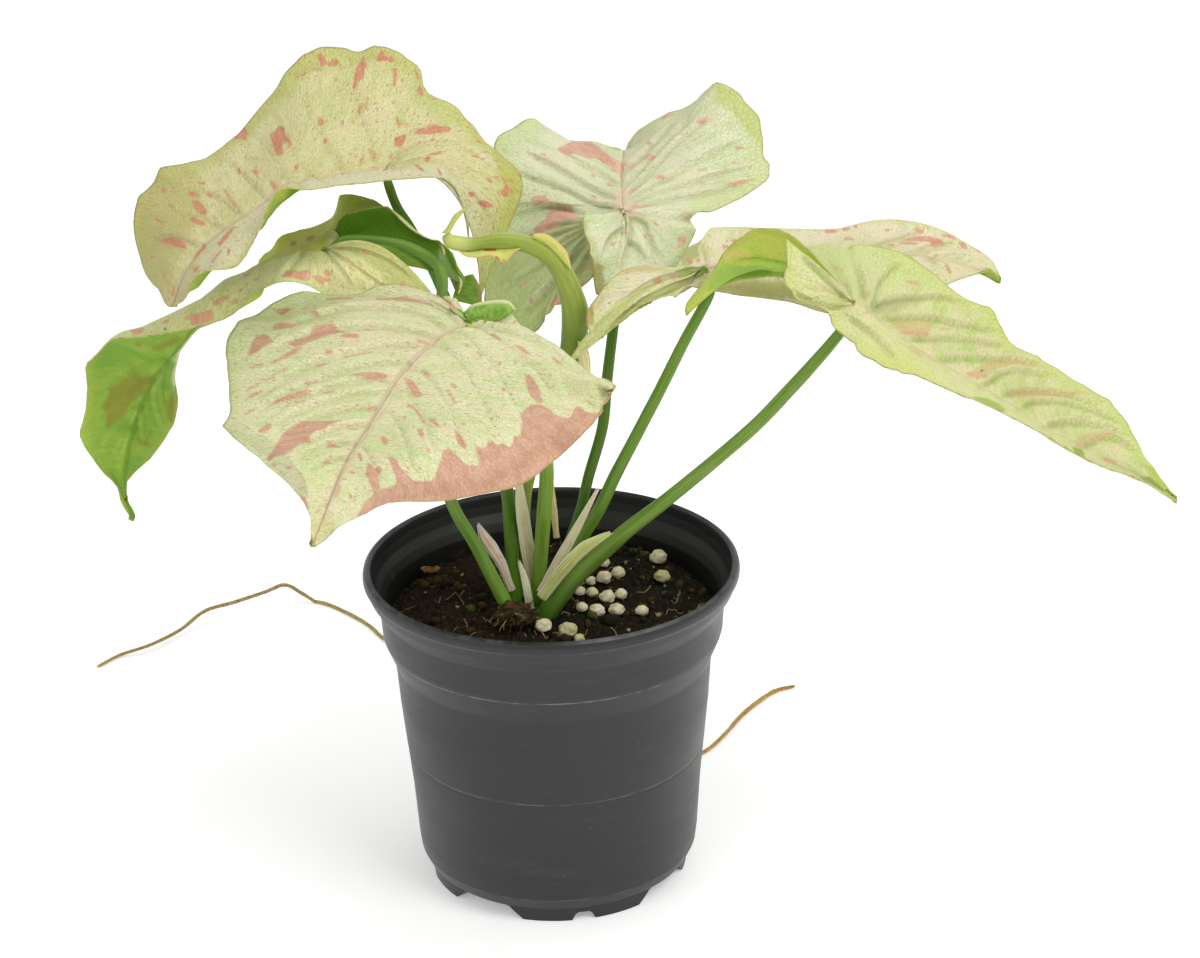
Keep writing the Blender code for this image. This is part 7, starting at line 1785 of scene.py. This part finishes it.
def make_pot():
    profile = OUTER + UNDER + INNER
    ring = rounded(OUTER[:-1] + [(42.2, 0.0)] + UNDER[:1], 0.35)
    under = rounded([UNDER[0]] + UNDER[1:], 0.3)
    inner = rounded(INNER + [OUTER[0]], 0.35)
    outline = ring[:-1] + under + inner[:-1] + [OUTER[0]]
    clean = [outline[0]]
    for p in outline[1:]:
        if math.hypot(p[0] - clean[-1][0], p[1] - clean[-1][1]) > 0.02:
            clean.append(p)
    clean[-1] = clean[0]
    around = 216
    a = np.linspace(0, 2 * math.pi, around, endpoint=False)
    verts, faces = [], []
    rings = []
    for r, z in clean[:-1]:
        if r < 1e-6:
            rings.append([len(verts)])
            verts.append((0.0, 0.0, z))
        else:
            rings.append(list(range(len(verts), len(verts) + around)))
            verts += [(r * math.cos(t), r * math.sin(t), z) for t in a]
    count = len(rings)
    for i in range(count):
        lo, hi = rings[i], rings[(i + 1) % count]
        if len(lo) == 1 and len(hi) == 1:
            continue
        for j in range(around):
            jn = (j + 1) % around
            if len(lo) == 1:
                faces.append([lo[0], hi[jn], hi[j]])
            elif len(hi) == 1:
                faces.append([lo[j], lo[jn], hi[0]])
            else:
                faces.append([lo[j], lo[jn], hi[jn], hi[j]])
    verts = np.array(verts)
    mesh = bpy.data.meshes.new("pot_body")
    mesh.from_pydata((verts * MM).tolist(), [], faces)
    bm = bmesh.new()
    bm.from_mesh(mesh)
    bmesh.ops.recalc_face_normals(bm, faces=bm.faces)
    bm.to_mesh(mesh)
    bm.free()
    obj = bpy.data.objects.new("pot_body", mesh)
    bpy.context.scene.collection.objects.link(obj)
    cut = bmesh.new()
    for k in range(4):
        for half_low, half_high, low, high, turn in ((11.5, 20.0, -1.0, FOOT_H, 56.0), (3.2, 6.0, -1.0, 3.0, 11.0)):
            middle = math.radians(turn + 90 * k)
            corner = []
            for z, half in ((low, half_high), (high, half_low)):
                for r in (34.0, 44.6):
                    for s in (-1, 1):
                        t = middle + s * math.radians(half)
                        corner.append(cut.verts.new(Vector((r * math.sin(t), -r * math.cos(t), z)) * MM))
            made = [cut.faces.new([corner[i] for i in f]) for f in ((0, 1, 3, 2), (4, 6, 7, 5), (0, 4, 5, 1), (2, 3, 7, 6), (0, 2, 6, 4), (1, 5, 7, 3))]
            edges = {e for f in made for e in f.edges}
            bmesh.ops.bevel(cut, geom=list(edges), offset=0.5 * MM, segments=2, affect="EDGES")
    bmesh.ops.recalc_face_normals(cut, faces=cut.faces)
    cutter_mesh = bpy.data.meshes.new("feet_cut")
    cut.to_mesh(cutter_mesh)
    cut.free()
    cutter = bpy.data.objects.new("feet_cut", cutter_mesh)
    bpy.context.scene.collection.objects.link(cutter)
    modifier = obj.modifiers.new("feet", "BOOLEAN")
    modifier.operation = "DIFFERENCE"
    modifier.solver = "EXACT"
    modifier.object = cutter
    bpy.context.view_layer.update()
    graph = bpy.context.evaluated_depsgraph_get()
    solid = bpy.data.meshes.new_from_object(obj.evaluated_get(graph))
    obj.modifiers.clear()
    obj.data = solid
    bpy.data.objects.remove(cutter, do_unlink=True)
    solid.name = "pot_body"
    co = np.zeros(len(solid.vertices) * 3)
    solid.vertices.foreach_get("co", co)
    co = co.reshape(-1, 3)
    radius = np.hypot(co[:, 0], co[:, 1]) * 1000
    height = co[:, 2] * 1000
    wall = np.interp(height, [p[1] for p in INNER[1:]], [p[0] for p in INNER[1:]])
    inner_side = ((radius < wall + 0.35) & (height > 6.0)).astype(np.float32)
    layer = solid.attributes.new("inner", "FLOAT", "POINT")
    layer.data.foreach_set("value", inner_side)
    solid.materials.clear()
    solid.materials.append(pot_material())
    solid.polygons.foreach_set("material_index", np.zeros(len(solid.polygons), np.int32))
    solid.polygons.foreach_set("use_smooth", np.ones(len(solid.polygons), bool))
    sharp = solid.attributes.get("sharp_edge") or solid.attributes.new("sharp_edge", "BOOLEAN", "EDGE")
    bm = bmesh.new()
    bm.from_mesh(solid)
    bm.edges.ensure_lookup_table()
    flags = np.array([len(e.link_faces) != 2 or e.calc_face_angle(0.0) > 0.6 for e in bm.edges], bool)
    bm.free()
    sharp.data.foreach_set("value", flags)
    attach(obj, "root")
    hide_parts("pot")
    return obj


make_pot()


# ---------------------------------------------------------------- peat
def blob(rng, detail=1):
    bm = bmesh.new()
    bmesh.ops.create_icosphere(bm, subdivisions=detail, radius=1.0)
    verts = np.array([v.co[:] for v in bm.verts])
    faces = [[v.index for v in f.verts] for f in bm.faces]
    bm.free()
    return verts, faces


def peat_material():
    m = Nodes("peat")
    at_xyz = m.coords("Object", (1, 1, 1))
    pos = m.new("ShaderNodeSeparateXYZ")
    m.link(at_xyz, pos.inputs[0])
    grain = m.noise(m.coords("Object", (700, 700, 700)), 1.0, 5.0, 0.7)
    broad = m.noise(m.coords("Object", (70, 70, 70)), 1.0, 4.0, 0.6)
    fibre = m.noise(m.coords("Object", (900, 160, 300)), 1.0, 3.0, 0.6, 1.2)
    colour = m.mix(m.ramp(grain, 0.32, 0.68), srgb(13, 11, 8), srgb(56, 46, 29))
    colour = m.mix(m.ramp(broad, 0.45, 0.65, 0.0, 0.6), colour, srgb(20, 17, 12))
    left = m.ramp(m.math("ADD", pos.outputs["X"], m.math("MULTIPLY", m.math("SUBTRACT", broad, 0.5), 0.03)), -0.004, -0.022, 0.0, 0.35)
    colour = m.mix(left, colour, srgb(58, 38, 26))
    colour = m.mix(m.ramp(fibre, 0.64, 0.72, 0.0, 0.5), colour, srgb(94, 74, 48))
    moss = m.noise(m.coords("Object", (320, 320, 320)), 1.0, 4.0, 0.7)
    side = m.ramp(pos.outputs["X"], 0.000, 0.020, 0.35, 1.0)
    colour = m.mix(m.math("MULTIPLY", m.ramp(moss, 0.56, 0.66, 0.0, 0.75), side), colour, srgb(56, 66, 28))
    dust = m.cells(m.coords("Object", (620, 620, 620)), 1.0)
    speck = m.ramp(m.math("SUBTRACT", m.math("MULTIPLY", m.math("SUBTRACT", dust.outputs["Color"], 0.86), 1.4), dust.outputs["Distance"]), -0.02, 0.04, 0.0, 0.8)
    colour = m.mix(speck, colour, srgb(150, 140, 104))
    bump = m.bump(m.math("ADD", grain, m.math("MULTIPLY", fibre, 0.5)), 0.0009, 0.9)
    return m.out(colour, m.ramp(grain, 0.3, 0.7, 0.78, 0.98), bump, Specular_IOR_Level=0.25)


def crumb_material():
    m = Nodes("peat_crumbs")
    tone = m.attr("tone")
    grain = m.noise(m.coords("Object", (1400, 1400, 1400)), 1.0, 3.0, 0.6)
    colour = m.mix(m.ramp(tone, 0.0, 0.55), srgb(24, 20, 13), srgb(84, 66, 42))
    colour = m.mix(m.ramp(tone, 0.72, 0.78), colour, srgb(88, 100, 44))
    colour = m.mix(m.ramp(tone, 0.90, 0.93), colour, srgb(170, 150, 110))
    colour = m.mix(m.ramp(grain, 0.35, 0.7, 0.0, 0.5), colour, srgb(30, 23, 16))
    bump = m.bump(grain, 0.0005, 0.9)
    return m.out(colour, 0.88, bump, Specular_IOR_Level=0.25)


def make_peat():
    rings, around = ((100, 260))
    verts = [(0.0, 0.0, soil_z(0, 0))]
    a = np.linspace(0, 2 * math.pi, around, endpoint=False)
    faces = []
    for i in range(1, rings + 1):
        share = i / rings
        for t in a:
            r = 54.0 * share ** 0.92
            x, y = r * math.cos(t), r * math.sin(t)
            rr = math.hypot(x, y)
            rough = 1.7 * noise.noise(Vector((x * 0.55, y * 0.55, 1.0))) + 1.1 * noise.noise(Vector((x * 1.3, y * 1.3, 4.0))) + 0.5 * noise.noise(Vector((x * 2.7, y * 2.7, 9.0)))
            ridge = 0.5 * abs(noise.noise(Vector((x * 0.9, y * 0.9, 14.0))))
            z = soil_z(x, y) + rough + ridge
            if i == rings:
                z = soil_z(x, y) - 1.2
            limit = inner_radius(z) - 0.05
            if r > limit:
                x, y = x * limit / r, y * limit / r
            verts.append((x, y, z))
    top = len(verts)
    for depth in (70.0, 40.0):
        r = inner_radius(depth) - 0.4
        verts += [(r * math.cos(t), r * math.sin(t), depth) for t in a]
    verts.append((0, 0, 40.0))
    levels = rings + 2
    for j in range(around):
        jn = (j + 1) % around
        faces.append([0, 1 + j, 1 + jn])
        for i in range(levels - 1):
            lo, hi = 1 + i * around, 1 + (i + 1) * around
            faces.append([lo + j, hi + j, hi + jn, lo + jn])
        last = 1 + (levels - 1) * around
        faces.append([last + jn, last + j, len(verts) - 1])
    make_mesh("peat_surface", verts, faces, [peat_material()], replaces=("soil",))


def soil_top(x, y):
    rough = 1.7 * noise.noise(Vector((x * 0.55, y * 0.55, 1.0))) + 1.1 * noise.noise(Vector((x * 1.3, y * 1.3, 4.0)))
    return soil_z(x, y) + rough + 0.5 * abs(noise.noise(Vector((x * 0.9, y * 0.9, 14.0))))


def make_crumbs():
    base_v, base_f = blob(RNG, 2)
    small_v, small_f = blob(RNG, 1)
    verts, faces, tone = [], [], []
    count = 0
    number = 850
    for i in range(number):
        r = 50.5 * math.sqrt(RNG.uniform(0.0, 1.0))
        t = RNG.uniform(0, 2 * math.pi)
        x, y = r * math.cos(t), r * math.sin(t)
        size = 0.35 + 1.5 * RNG.uniform() ** 3.2
        bv, bf = (base_v, base_f) if size > 0.9 else (small_v, small_f)
        seed = RNG.uniform(0, 90)
        warp = np.array([1 + 0.45 * noise.noise(Vector((v[0] * 1.4 + seed, v[1] * 1.4, v[2] * 1.4))) for v in bv])
        scale = size * RNG.uniform(0.6, 1.3, 3)
        turn = RNG.uniform(0, math.pi)
        c, s = math.cos(turn), math.sin(turn)
        v = bv * warp[:, None] * scale
        v = np.stack([v[:, 0] * c - v[:, 1] * s, v[:, 0] * s + v[:, 1] * c, v[:, 2]], 1)
        z = soil_top(x, y) + scale[2] * 0.35
        reach = inner_radius(z) - size * 1.5
        if r > reach:
            x, y = x * reach / r, y * reach / r
        verts.append(v + np.array([x, y, z]))
        faces += [[k + count for k in f] for f in bf]
        green = RNG.uniform() < (0.34 if x > -8 else 0.14)
        pale = RNG.uniform() < 0.06
        tone.append(np.full(len(bv), 0.96 if pale else 0.82 if green else RNG.uniform(0.0, 0.6)))
        count += len(bv)
    # fine roots and fibres lying in the peat
    for i in range(90):
        r = 48 * math.sqrt(RNG.uniform(0.0, 1.0))
        t = RNG.uniform(0, 2 * math.pi)
        x, y = r * math.cos(t), r * math.sin(t)
        heading = RNG.uniform(0, 2 * math.pi)
        path = []
        for k in range(9):
            path.append((x, y, soil_top(x, y) + 0.25 + 0.5 * RNG.uniform()))
            heading += RNG.uniform(-0.5, 0.5)
            x += math.cos(heading) * 0.85
            y += math.sin(heading) * 0.85
            out = math.hypot(x, y)
            if out > 50.5:
                x, y = x * 50.5 / out, y * 50.5 / out
                heading += 1.6
        line = along(np.array(path), 18)
        v, f, *_ = tube_grid(line, np.full(18, RNG.uniform(0.08, 0.2)), 6)
        verts.append(v)
        faces += [[k + count for k in face] for face in f]
        tone.append(np.full(len(v), 0.96 if RNG.uniform() < 0.45 else 0.5))
        count += len(v)
    make_mesh("peat_crumbs", np.concatenate(verts), faces, [crumb_material()], values=dict(tone=np.concatenate(tone)))


make_peat()
make_crumbs()


# ---------------------------------------------------------------- granules
def granule_material():
    m = Nodes("granule")
    tone = m.attr("tone")
    grain = m.noise(m.coords("Object", (900, 900, 900)), 1.0, 4.0, 0.65)
    broad = m.noise(m.coords("Object", (240, 240, 240)), 1.0, 3.0, 0.5)
    colour = m.mix(m.ramp(grain, 0.3, 0.7), srgb(240, 230, 202), srgb(222, 208, 172))
    colour = m.mix(m.ramp(broad, 0.5, 0.68, 0.0, 0.6), colour, srgb(196, 176, 132))
    colour = m.mix(m.ramp(tone, 0.5, 1.0, 0.0, 0.6), colour, srgb(172, 170, 112))
    pits = m.cells(m.coords("Object", (1500, 1500, 1500)), 1.0)
    pit = m.ramp(pits.outputs["Distance"], 0.28, 0.08, 0.0, 1.0)
    colour = m.mix(m.math("MULTIPLY", pit, 0.35), colour, srgb(140, 128, 100))
    bump = m.bump(m.math("SUBTRACT", m.math("MULTIPLY", grain, 0.6), pit), 0.00020, 0.6)
    return m.out(colour, 0.72, bump, Specular_IOR_Level=0.35)


GRANULE = granule_material()
placed = []
for number, (u, v, width) in enumerate(GRANULES, 1):
    r = width * 0.3164 * 0.5
    low = at_height(u, v, SOIL_Z + r)
    x, y = low[0], low[1]
    reach = 49.6 - r
    if math.hypot(x, y) > reach:
        x, y = x * reach / math.hypot(x, y), y * reach / math.hypot(x, y)
    for _ in range(60):
        clash = False
        for (ox, oy, orr) in placed:
            d = math.hypot(x - ox, y - oy)
            if d < r + orr + 0.45:
                push = (r + orr + 0.5 - d)
                x += (x - ox) / max(d, 1e-6) * push
                y += (y - oy) / max(d, 1e-6) * push
                clash = True
        if not clash:
            break
    placed.append((x, y, r))
    z = top_under(x, y, r) + r + 0.55
    bm = bmesh.new()
    bmesh.ops.create_icosphere(bm, subdivisions=4 if width > 13 else 3, radius=1.0)
    unit = np.array([p.co[:] for p in bm.verts])
    faces = [[p.index for p in f.verts] for f in bm.faces]
    bm.free()
    seed = number * 3.7
    warp = np.array([1.04 + 0.24 * noise.noise(Vector((d[0] * 1.3 + seed, d[1] * 1.7, d[2] * 1.7))) + 0.03 * noise.noise(Vector((d[0] * 3.2 + seed, d[1] * 4, d[2] * 4)))
                     + 0.02 * noise.noise(Vector((d[0] * 9 + seed, d[1] * 9, d[2] * 9))) for d in unit])
    size = np.array([r * 1.07, r * (0.94 + 0.16 * ((number * 7) % 5) / 5), r * 0.86])
    make_mesh(f"granule_{number:02d}_bead", unit * warp[:, None] * size + np.array([x, y, z - 0.55 - r * 0.16]), faces, [GRANULE],
              replaces=(f"granule_{number:02d}",), values=dict(tone=np.full(len(unit), 1.0 if number in (2, 16, 17) else ((number * 5) % 7) / 12)))


# ---------------------------------------------------------------- crown stub, litter, roots
def bark_material(name, tone, light, dark):
    m = Nodes(name)
    fibre = m.noise(m.coords("Object", (260, 260, 900)), 1.0, 4.0, 0.65, 0.6)
    grain = m.noise(m.coords("Object", (1300, 1300, 1300)), 1.0, 3.0, 0.6)
    colour = m.mix(m.ramp(fibre, 0.35, 0.65), srgb(*tone), srgb(*light))
    colour = m.mix(m.ramp(grain, 0.5, 0.72, 0.0, 0.7), colour, srgb(*dark))
    bump = m.bump(m.math("ADD", fibre, grain), 0.0008, 0.9)
    return m.out(colour, 0.85, bump, Specular_IOR_Level=0.25)


def make_stub():
    base = at_height(516, 622, SOIL_Z + 2.0)
    centre = np.array([base[0], base[1], top_under(base[0], base[1], 6.0) + 4.3])
    bm = bmesh.new()
    bmesh.ops.create_icosphere(bm, subdivisions=5, radius=1.0)
    unit = np.array([p.co[:] for p in bm.verts])
    faces = [[p.index for p in f.verts] for f in bm.faces]
    bm.free()
    warp = np.array([1.0 + 0.25 * noise.noise(Vector((d[0] * 1.7 + 5, d[1] * 1.7, d[2] * 1.7))) + 0.22 * noise.noise(Vector((d[0] * 5, d[1] * 5, d[2] * 2.0)))
                     + 0.09 * noise.noise(Vector((d[0] * 13, d[1] * 13, d[2] * 6))) for d in unit])
    verts = [unit * warp[:, None] * np.array([6.0, 4.6, 3.9]) + centre]
    mats = [0] * len(faces)
    count = len(unit)
    rng = np.random.RandomState(5)
    for k in range(34):
        t = rng.uniform(0, 2 * math.pi)
        start = centre + np.array([4.6 * math.cos(t), 3.6 * math.sin(t), rng.uniform(-1.0, 3.0)])
        path = [start]
        heading = np.array([math.cos(t), math.sin(t), rng.uniform(-0.4, 0.5)])
        for s in range(7):
            heading = heading + rng.uniform(-0.45, 0.45, 3) + np.array([0, 0, -0.12])
            heading /= np.linalg.norm(heading)
            nxt = path[-1] + heading * rng.uniform(0.5, 0.95)
            nxt[2] = max(nxt[2], soil_top(nxt[0], nxt[1]) + 0.1)
            path.append(nxt)
        line = along(np.array(path), 16)
        v, f, *_ = tube_grid(line, np.linspace(0.22, 0.07, 16) * rng.uniform(0.7, 1.3), 6)
        verts.append(v)
        faces += [[i + count for i in face] for face in f]
        mats += [1 if k % 3 == 0 else 0] * len(f)
        count += len(v)
    make_mesh("crown_stub_bark", np.concatenate(verts), faces,
              [bark_material("stub_bark", (52, 40, 28), (92, 74, 50), (26, 20, 15)), bark_material("rootlet", (150, 140, 96), (176, 168, 120), (104, 88, 60))],
              replaces=("crown_stub",), face_mats=mats)


def make_litter():
    scrap = at_height(424, 564, SOIL_Z + 3.0)
    centre = np.array([scrap[0] + 2.0, scrap[1], top_under(scrap[0] + 2, scrap[1], 3.4) + 1.6])
    steps = 18
    rows = []
    for i in range(steps):
        for j in range(steps):
            x, y = 2 * i / (steps - 1) - 1, 2 * j / (steps - 1) - 1
            d = math.hypot(x, y)
            k = max(abs(x), abs(y)) / max(d, 1e-6) if d > 0 else 1
            x, y = x * k, y * k
            edge = 1 + 0.25 * noise.noise(Vector((x * 2, y * 2, 4.0)))
            z = 0.7 * noise.noise(Vector((x * 2.1, y * 2.1, 8.0))) + 0.5 * x * x
            rows.append(centre + np.array([x * 3.2 * edge, y * 2.2 * edge, z]))
    top = np.array(rows)
    ids = np.arange(steps * steps).reshape(steps, steps)
    quads = np.stack([ids[:-1, :-1], ids[1:, :-1], ids[1:, 1:], ids[:-1, 1:]], -1).reshape(-1, 4).tolist()
    low = top - np.array([0, 0, 0.6])
    n = len(top)
    faces = quads + [[v + n for v in reversed(q)] for q in quads] + [[b, a, a + n, b + n] for a, b in border_edges(quads)]
    make_mesh("litter_scrap_bark", np.concatenate([top, low]), faces, [bark_material("litter", (120, 84, 52), (156, 116, 76), (70, 48, 30))],
              replaces=("litter_scrap",))


def root_material(name, tone, light, dark, tip):
    m = Nodes(name)
    rings = m.noise(m.coords("UV", (0.9, 2.0, 1)), 1.0, 4.0, 0.65)
    long = m.noise(m.coords("UV", (0.08, 9.0, 1)), 1.0, 3.0, 0.6)
    colour = m.mix(m.ramp(long, 0.35, 0.65), srgb(*tone), srgb(*light))
    colour = m.mix(m.ramp(rings, 0.48, 0.66, 0.0, 0.8), colour, srgb(*dark))
    colour = m.mix(m.ramp(m.attr("share"), 0.06, 0.0, 0.0, 0.8), colour, srgb(*tip))
    bump = m.bump(m.math("ADD", rings, m.math("MULTIPLY", long, 0.6)), 0.0005, 0.9)
    return m.out(colour, m.ramp(rings, 0.3, 0.7, 0.5, 0.68), bump, Specular_IOR_Level=0.35)


def make_root(name, points, radii, material, steps, around=14):
    table = along(np.hstack([np.array(points), np.array(radii)[:, None]]), steps)
    table[:, 2] = np.maximum(table[:, 2], table[:, 3] + 0.05)
    a = np.linspace(0, 2 * math.pi, around, endpoint=False)
    r = np.zeros((steps, around))
    for i in range(steps):
        lump = 1 + 0.14 * noise.noise(Vector((i * 0.12, 3.0, len(name)))) + 0.08 * noise.noise(Vector((i * 0.45, 7.0, 1.0)))
        for j in range(around):
            r[i, j] = table[i, 3] * (lump + 0.10 * noise.noise(Vector((i * 0.25, math.cos(a[j]) * 1.5, math.sin(a[j]) * 1.5))))
    r[:3] *= np.array([0.35, 0.7, 0.9])[:, None]
    r[-3:] *= np.array([0.9, 0.7, 0.35])[:, None]
    verts, faces, share, turn, mm = tube_grid(table[:, :3], r, around)
    verts[:, 2] = np.maximum(verts[:, 2], 0.04)
    make_mesh(name + "_skin", verts, faces, [material], replaces=(name,), uv=np.stack([mm, turn], 1), values=dict(share=share))


def make_roots():
    floor = 0.75
    left = [at_height(97, 667, floor), at_height(120, 655, 1.0), at_height(150, 645, 3.0)]
    left += [at(180, 630, 172), at(205, 611, 182), at(235, 602, 190), at(265, 592, 196), at(285, 585, 200), at(303, 594, 200), at(325, 608, 197)]
    left += [at(350, 622, 187), at(370, 633, 176), at_height(385, 639, 1.0)]
    end = left[-1]
    left += [np.array([end[0] + 12, end[1] - 16, floor]), np.array([-38.0, 122.0, floor]), np.array([-28.0, 92.0, floor]),
             np.array([-22.0, 62.0, floor]), np.array([-18.0, 50.0, 0.95])]
    make_root("root_left", left, [0.5, 0.6, 0.62, 0.65, 0.68, 0.7, 0.7, 0.72, 0.7, 0.7, 0.7, 0.7, 0.72, 0.72, 0.72, 0.72, 0.72, 0.7],
              root_material("root_tan", (164, 138, 78), (190, 166, 104), (110, 96, 60), (200, 160, 90)), 420)
    right = [at_height(795, 686, 0.8), at_height(775, 691, 0.85), at_height(755, 704, 0.9), at_height(740, 717, 0.9),
             at_height(725, 734, 0.85), at_height(707, 750, 0.8)]
    end = right[-1]
    right += [np.array([end[0] - 9, end[1] - 8, 0.8]), np.array([31.0, 50.0, 0.85]), np.array([22.0, 46.5, 0.9])]
    make_root("root_right", right, [0.55, 0.75, 0.8, 0.75, 0.65, 0.65, 0.7, 0.7, 0.7],
              root_material("root_orange", (188, 142, 66), (206, 170, 100), (140, 98, 44), (150, 112, 66)), 220)


make_stub()
make_litter()
make_roots()


# ---------------------------------------------------------------- floor, light, camera
def make_floor():
    n = 60
    edge = np.linspace(-14000, 14000, n)
    verts = [(x, y + 900, 0.0) for x in edge for y in edge]
    ids = np.arange(n * n).reshape(n, n)
    quads = np.stack([ids[:-1, :-1], ids[1:, :-1], ids[1:, 1:], ids[:-1, 1:]], -1).reshape(-1, 4)
    mesh = bpy.data.meshes.new("floor")
    mesh.from_pydata((np.array(verts) * MM).tolist(), [], quads.tolist())
    m = Nodes("floor_white")
    cloud = m.noise(m.coords("Object", (1.5, 1.5, 1.5)), 1.0, 2.0)
    colour = m.mix(m.ramp(cloud, 0.3, 0.7), srgb(250, 250, 250), srgb(246, 246, 246))
    bump = m.bump(m.noise(m.coords("Object", (300, 300, 300)), 1.0, 2.0), 0.0001, 0.15)
    m.shader.inputs["Emission Color"].default_value = (1.0, 1.0, 1.0, 1.0)
    mesh.materials.append(m.out(colour, 0.75, bump, Specular_IOR_Level=0.10, Emission_Strength=0.30))
    obj = bpy.data.objects.new("floor", mesh)
    bpy.context.scene.collection.objects.link(obj)
    obj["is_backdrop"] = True


def area(name, place, aim, size, power, tone=(1, 1, 1)):
    data = bpy.data.lights.new(name, "AREA")
    data.shape = "DISK"
    data.size = size
    data.energy = power
    data.color = tone
    obj = bpy.data.objects.new(name, data)
    bpy.context.scene.collection.objects.link(obj)
    obj.location = place
    obj.rotation_euler = (Vector(aim) - Vector(place)).to_track_quat("-Z", "Y").to_euler()
    return obj


make_floor()
world = bpy.data.worlds.new("studio")
bpy.context.scene.world = world
world.use_nodes = True
world.node_tree.nodes["Background"].inputs["Color"].default_value = (1.0, 1.0, 1.0, 1.0)
world.node_tree.nodes["Background"].inputs["Strength"].default_value = 0.72
area("key", (0.75, -0.70, 1.20), (0, 0, 0.16), 0.8, 9.6)
area("fill", (-0.9, -0.9, 0.9), (0, 0, 0.15), 1.2, 3.4)
area("top", (0.35, 0.35, 1.6), (0, 0, 0.1), 1.2, 5.0)

camera_data = bpy.data.cameras.new("camera")
camera_data.sensor_fit = "HORIZONTAL"
camera_data.sensor_width = 36.0
camera_data.lens = 36.0 * FRAME_F / 1200.0
camera_data.clip_start = 0.01
camera = bpy.data.objects.new("camera", camera_data)
bpy.context.scene.collection.objects.link(camera)
from mathutils import Matrix

turn = Matrix((SIDE.tolist(), UP.tolist(), (-FORWARD).tolist())).transposed()
camera.matrix_world = Matrix.Translation(Vector(EYE * MM)) @ turn.to_4x4()
bpy.context.scene.camera = camera
bpy.context.scene.view_settings.view_transform = "Standard"
bpy.context.scene.view_settings.look = "None"

low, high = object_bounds()
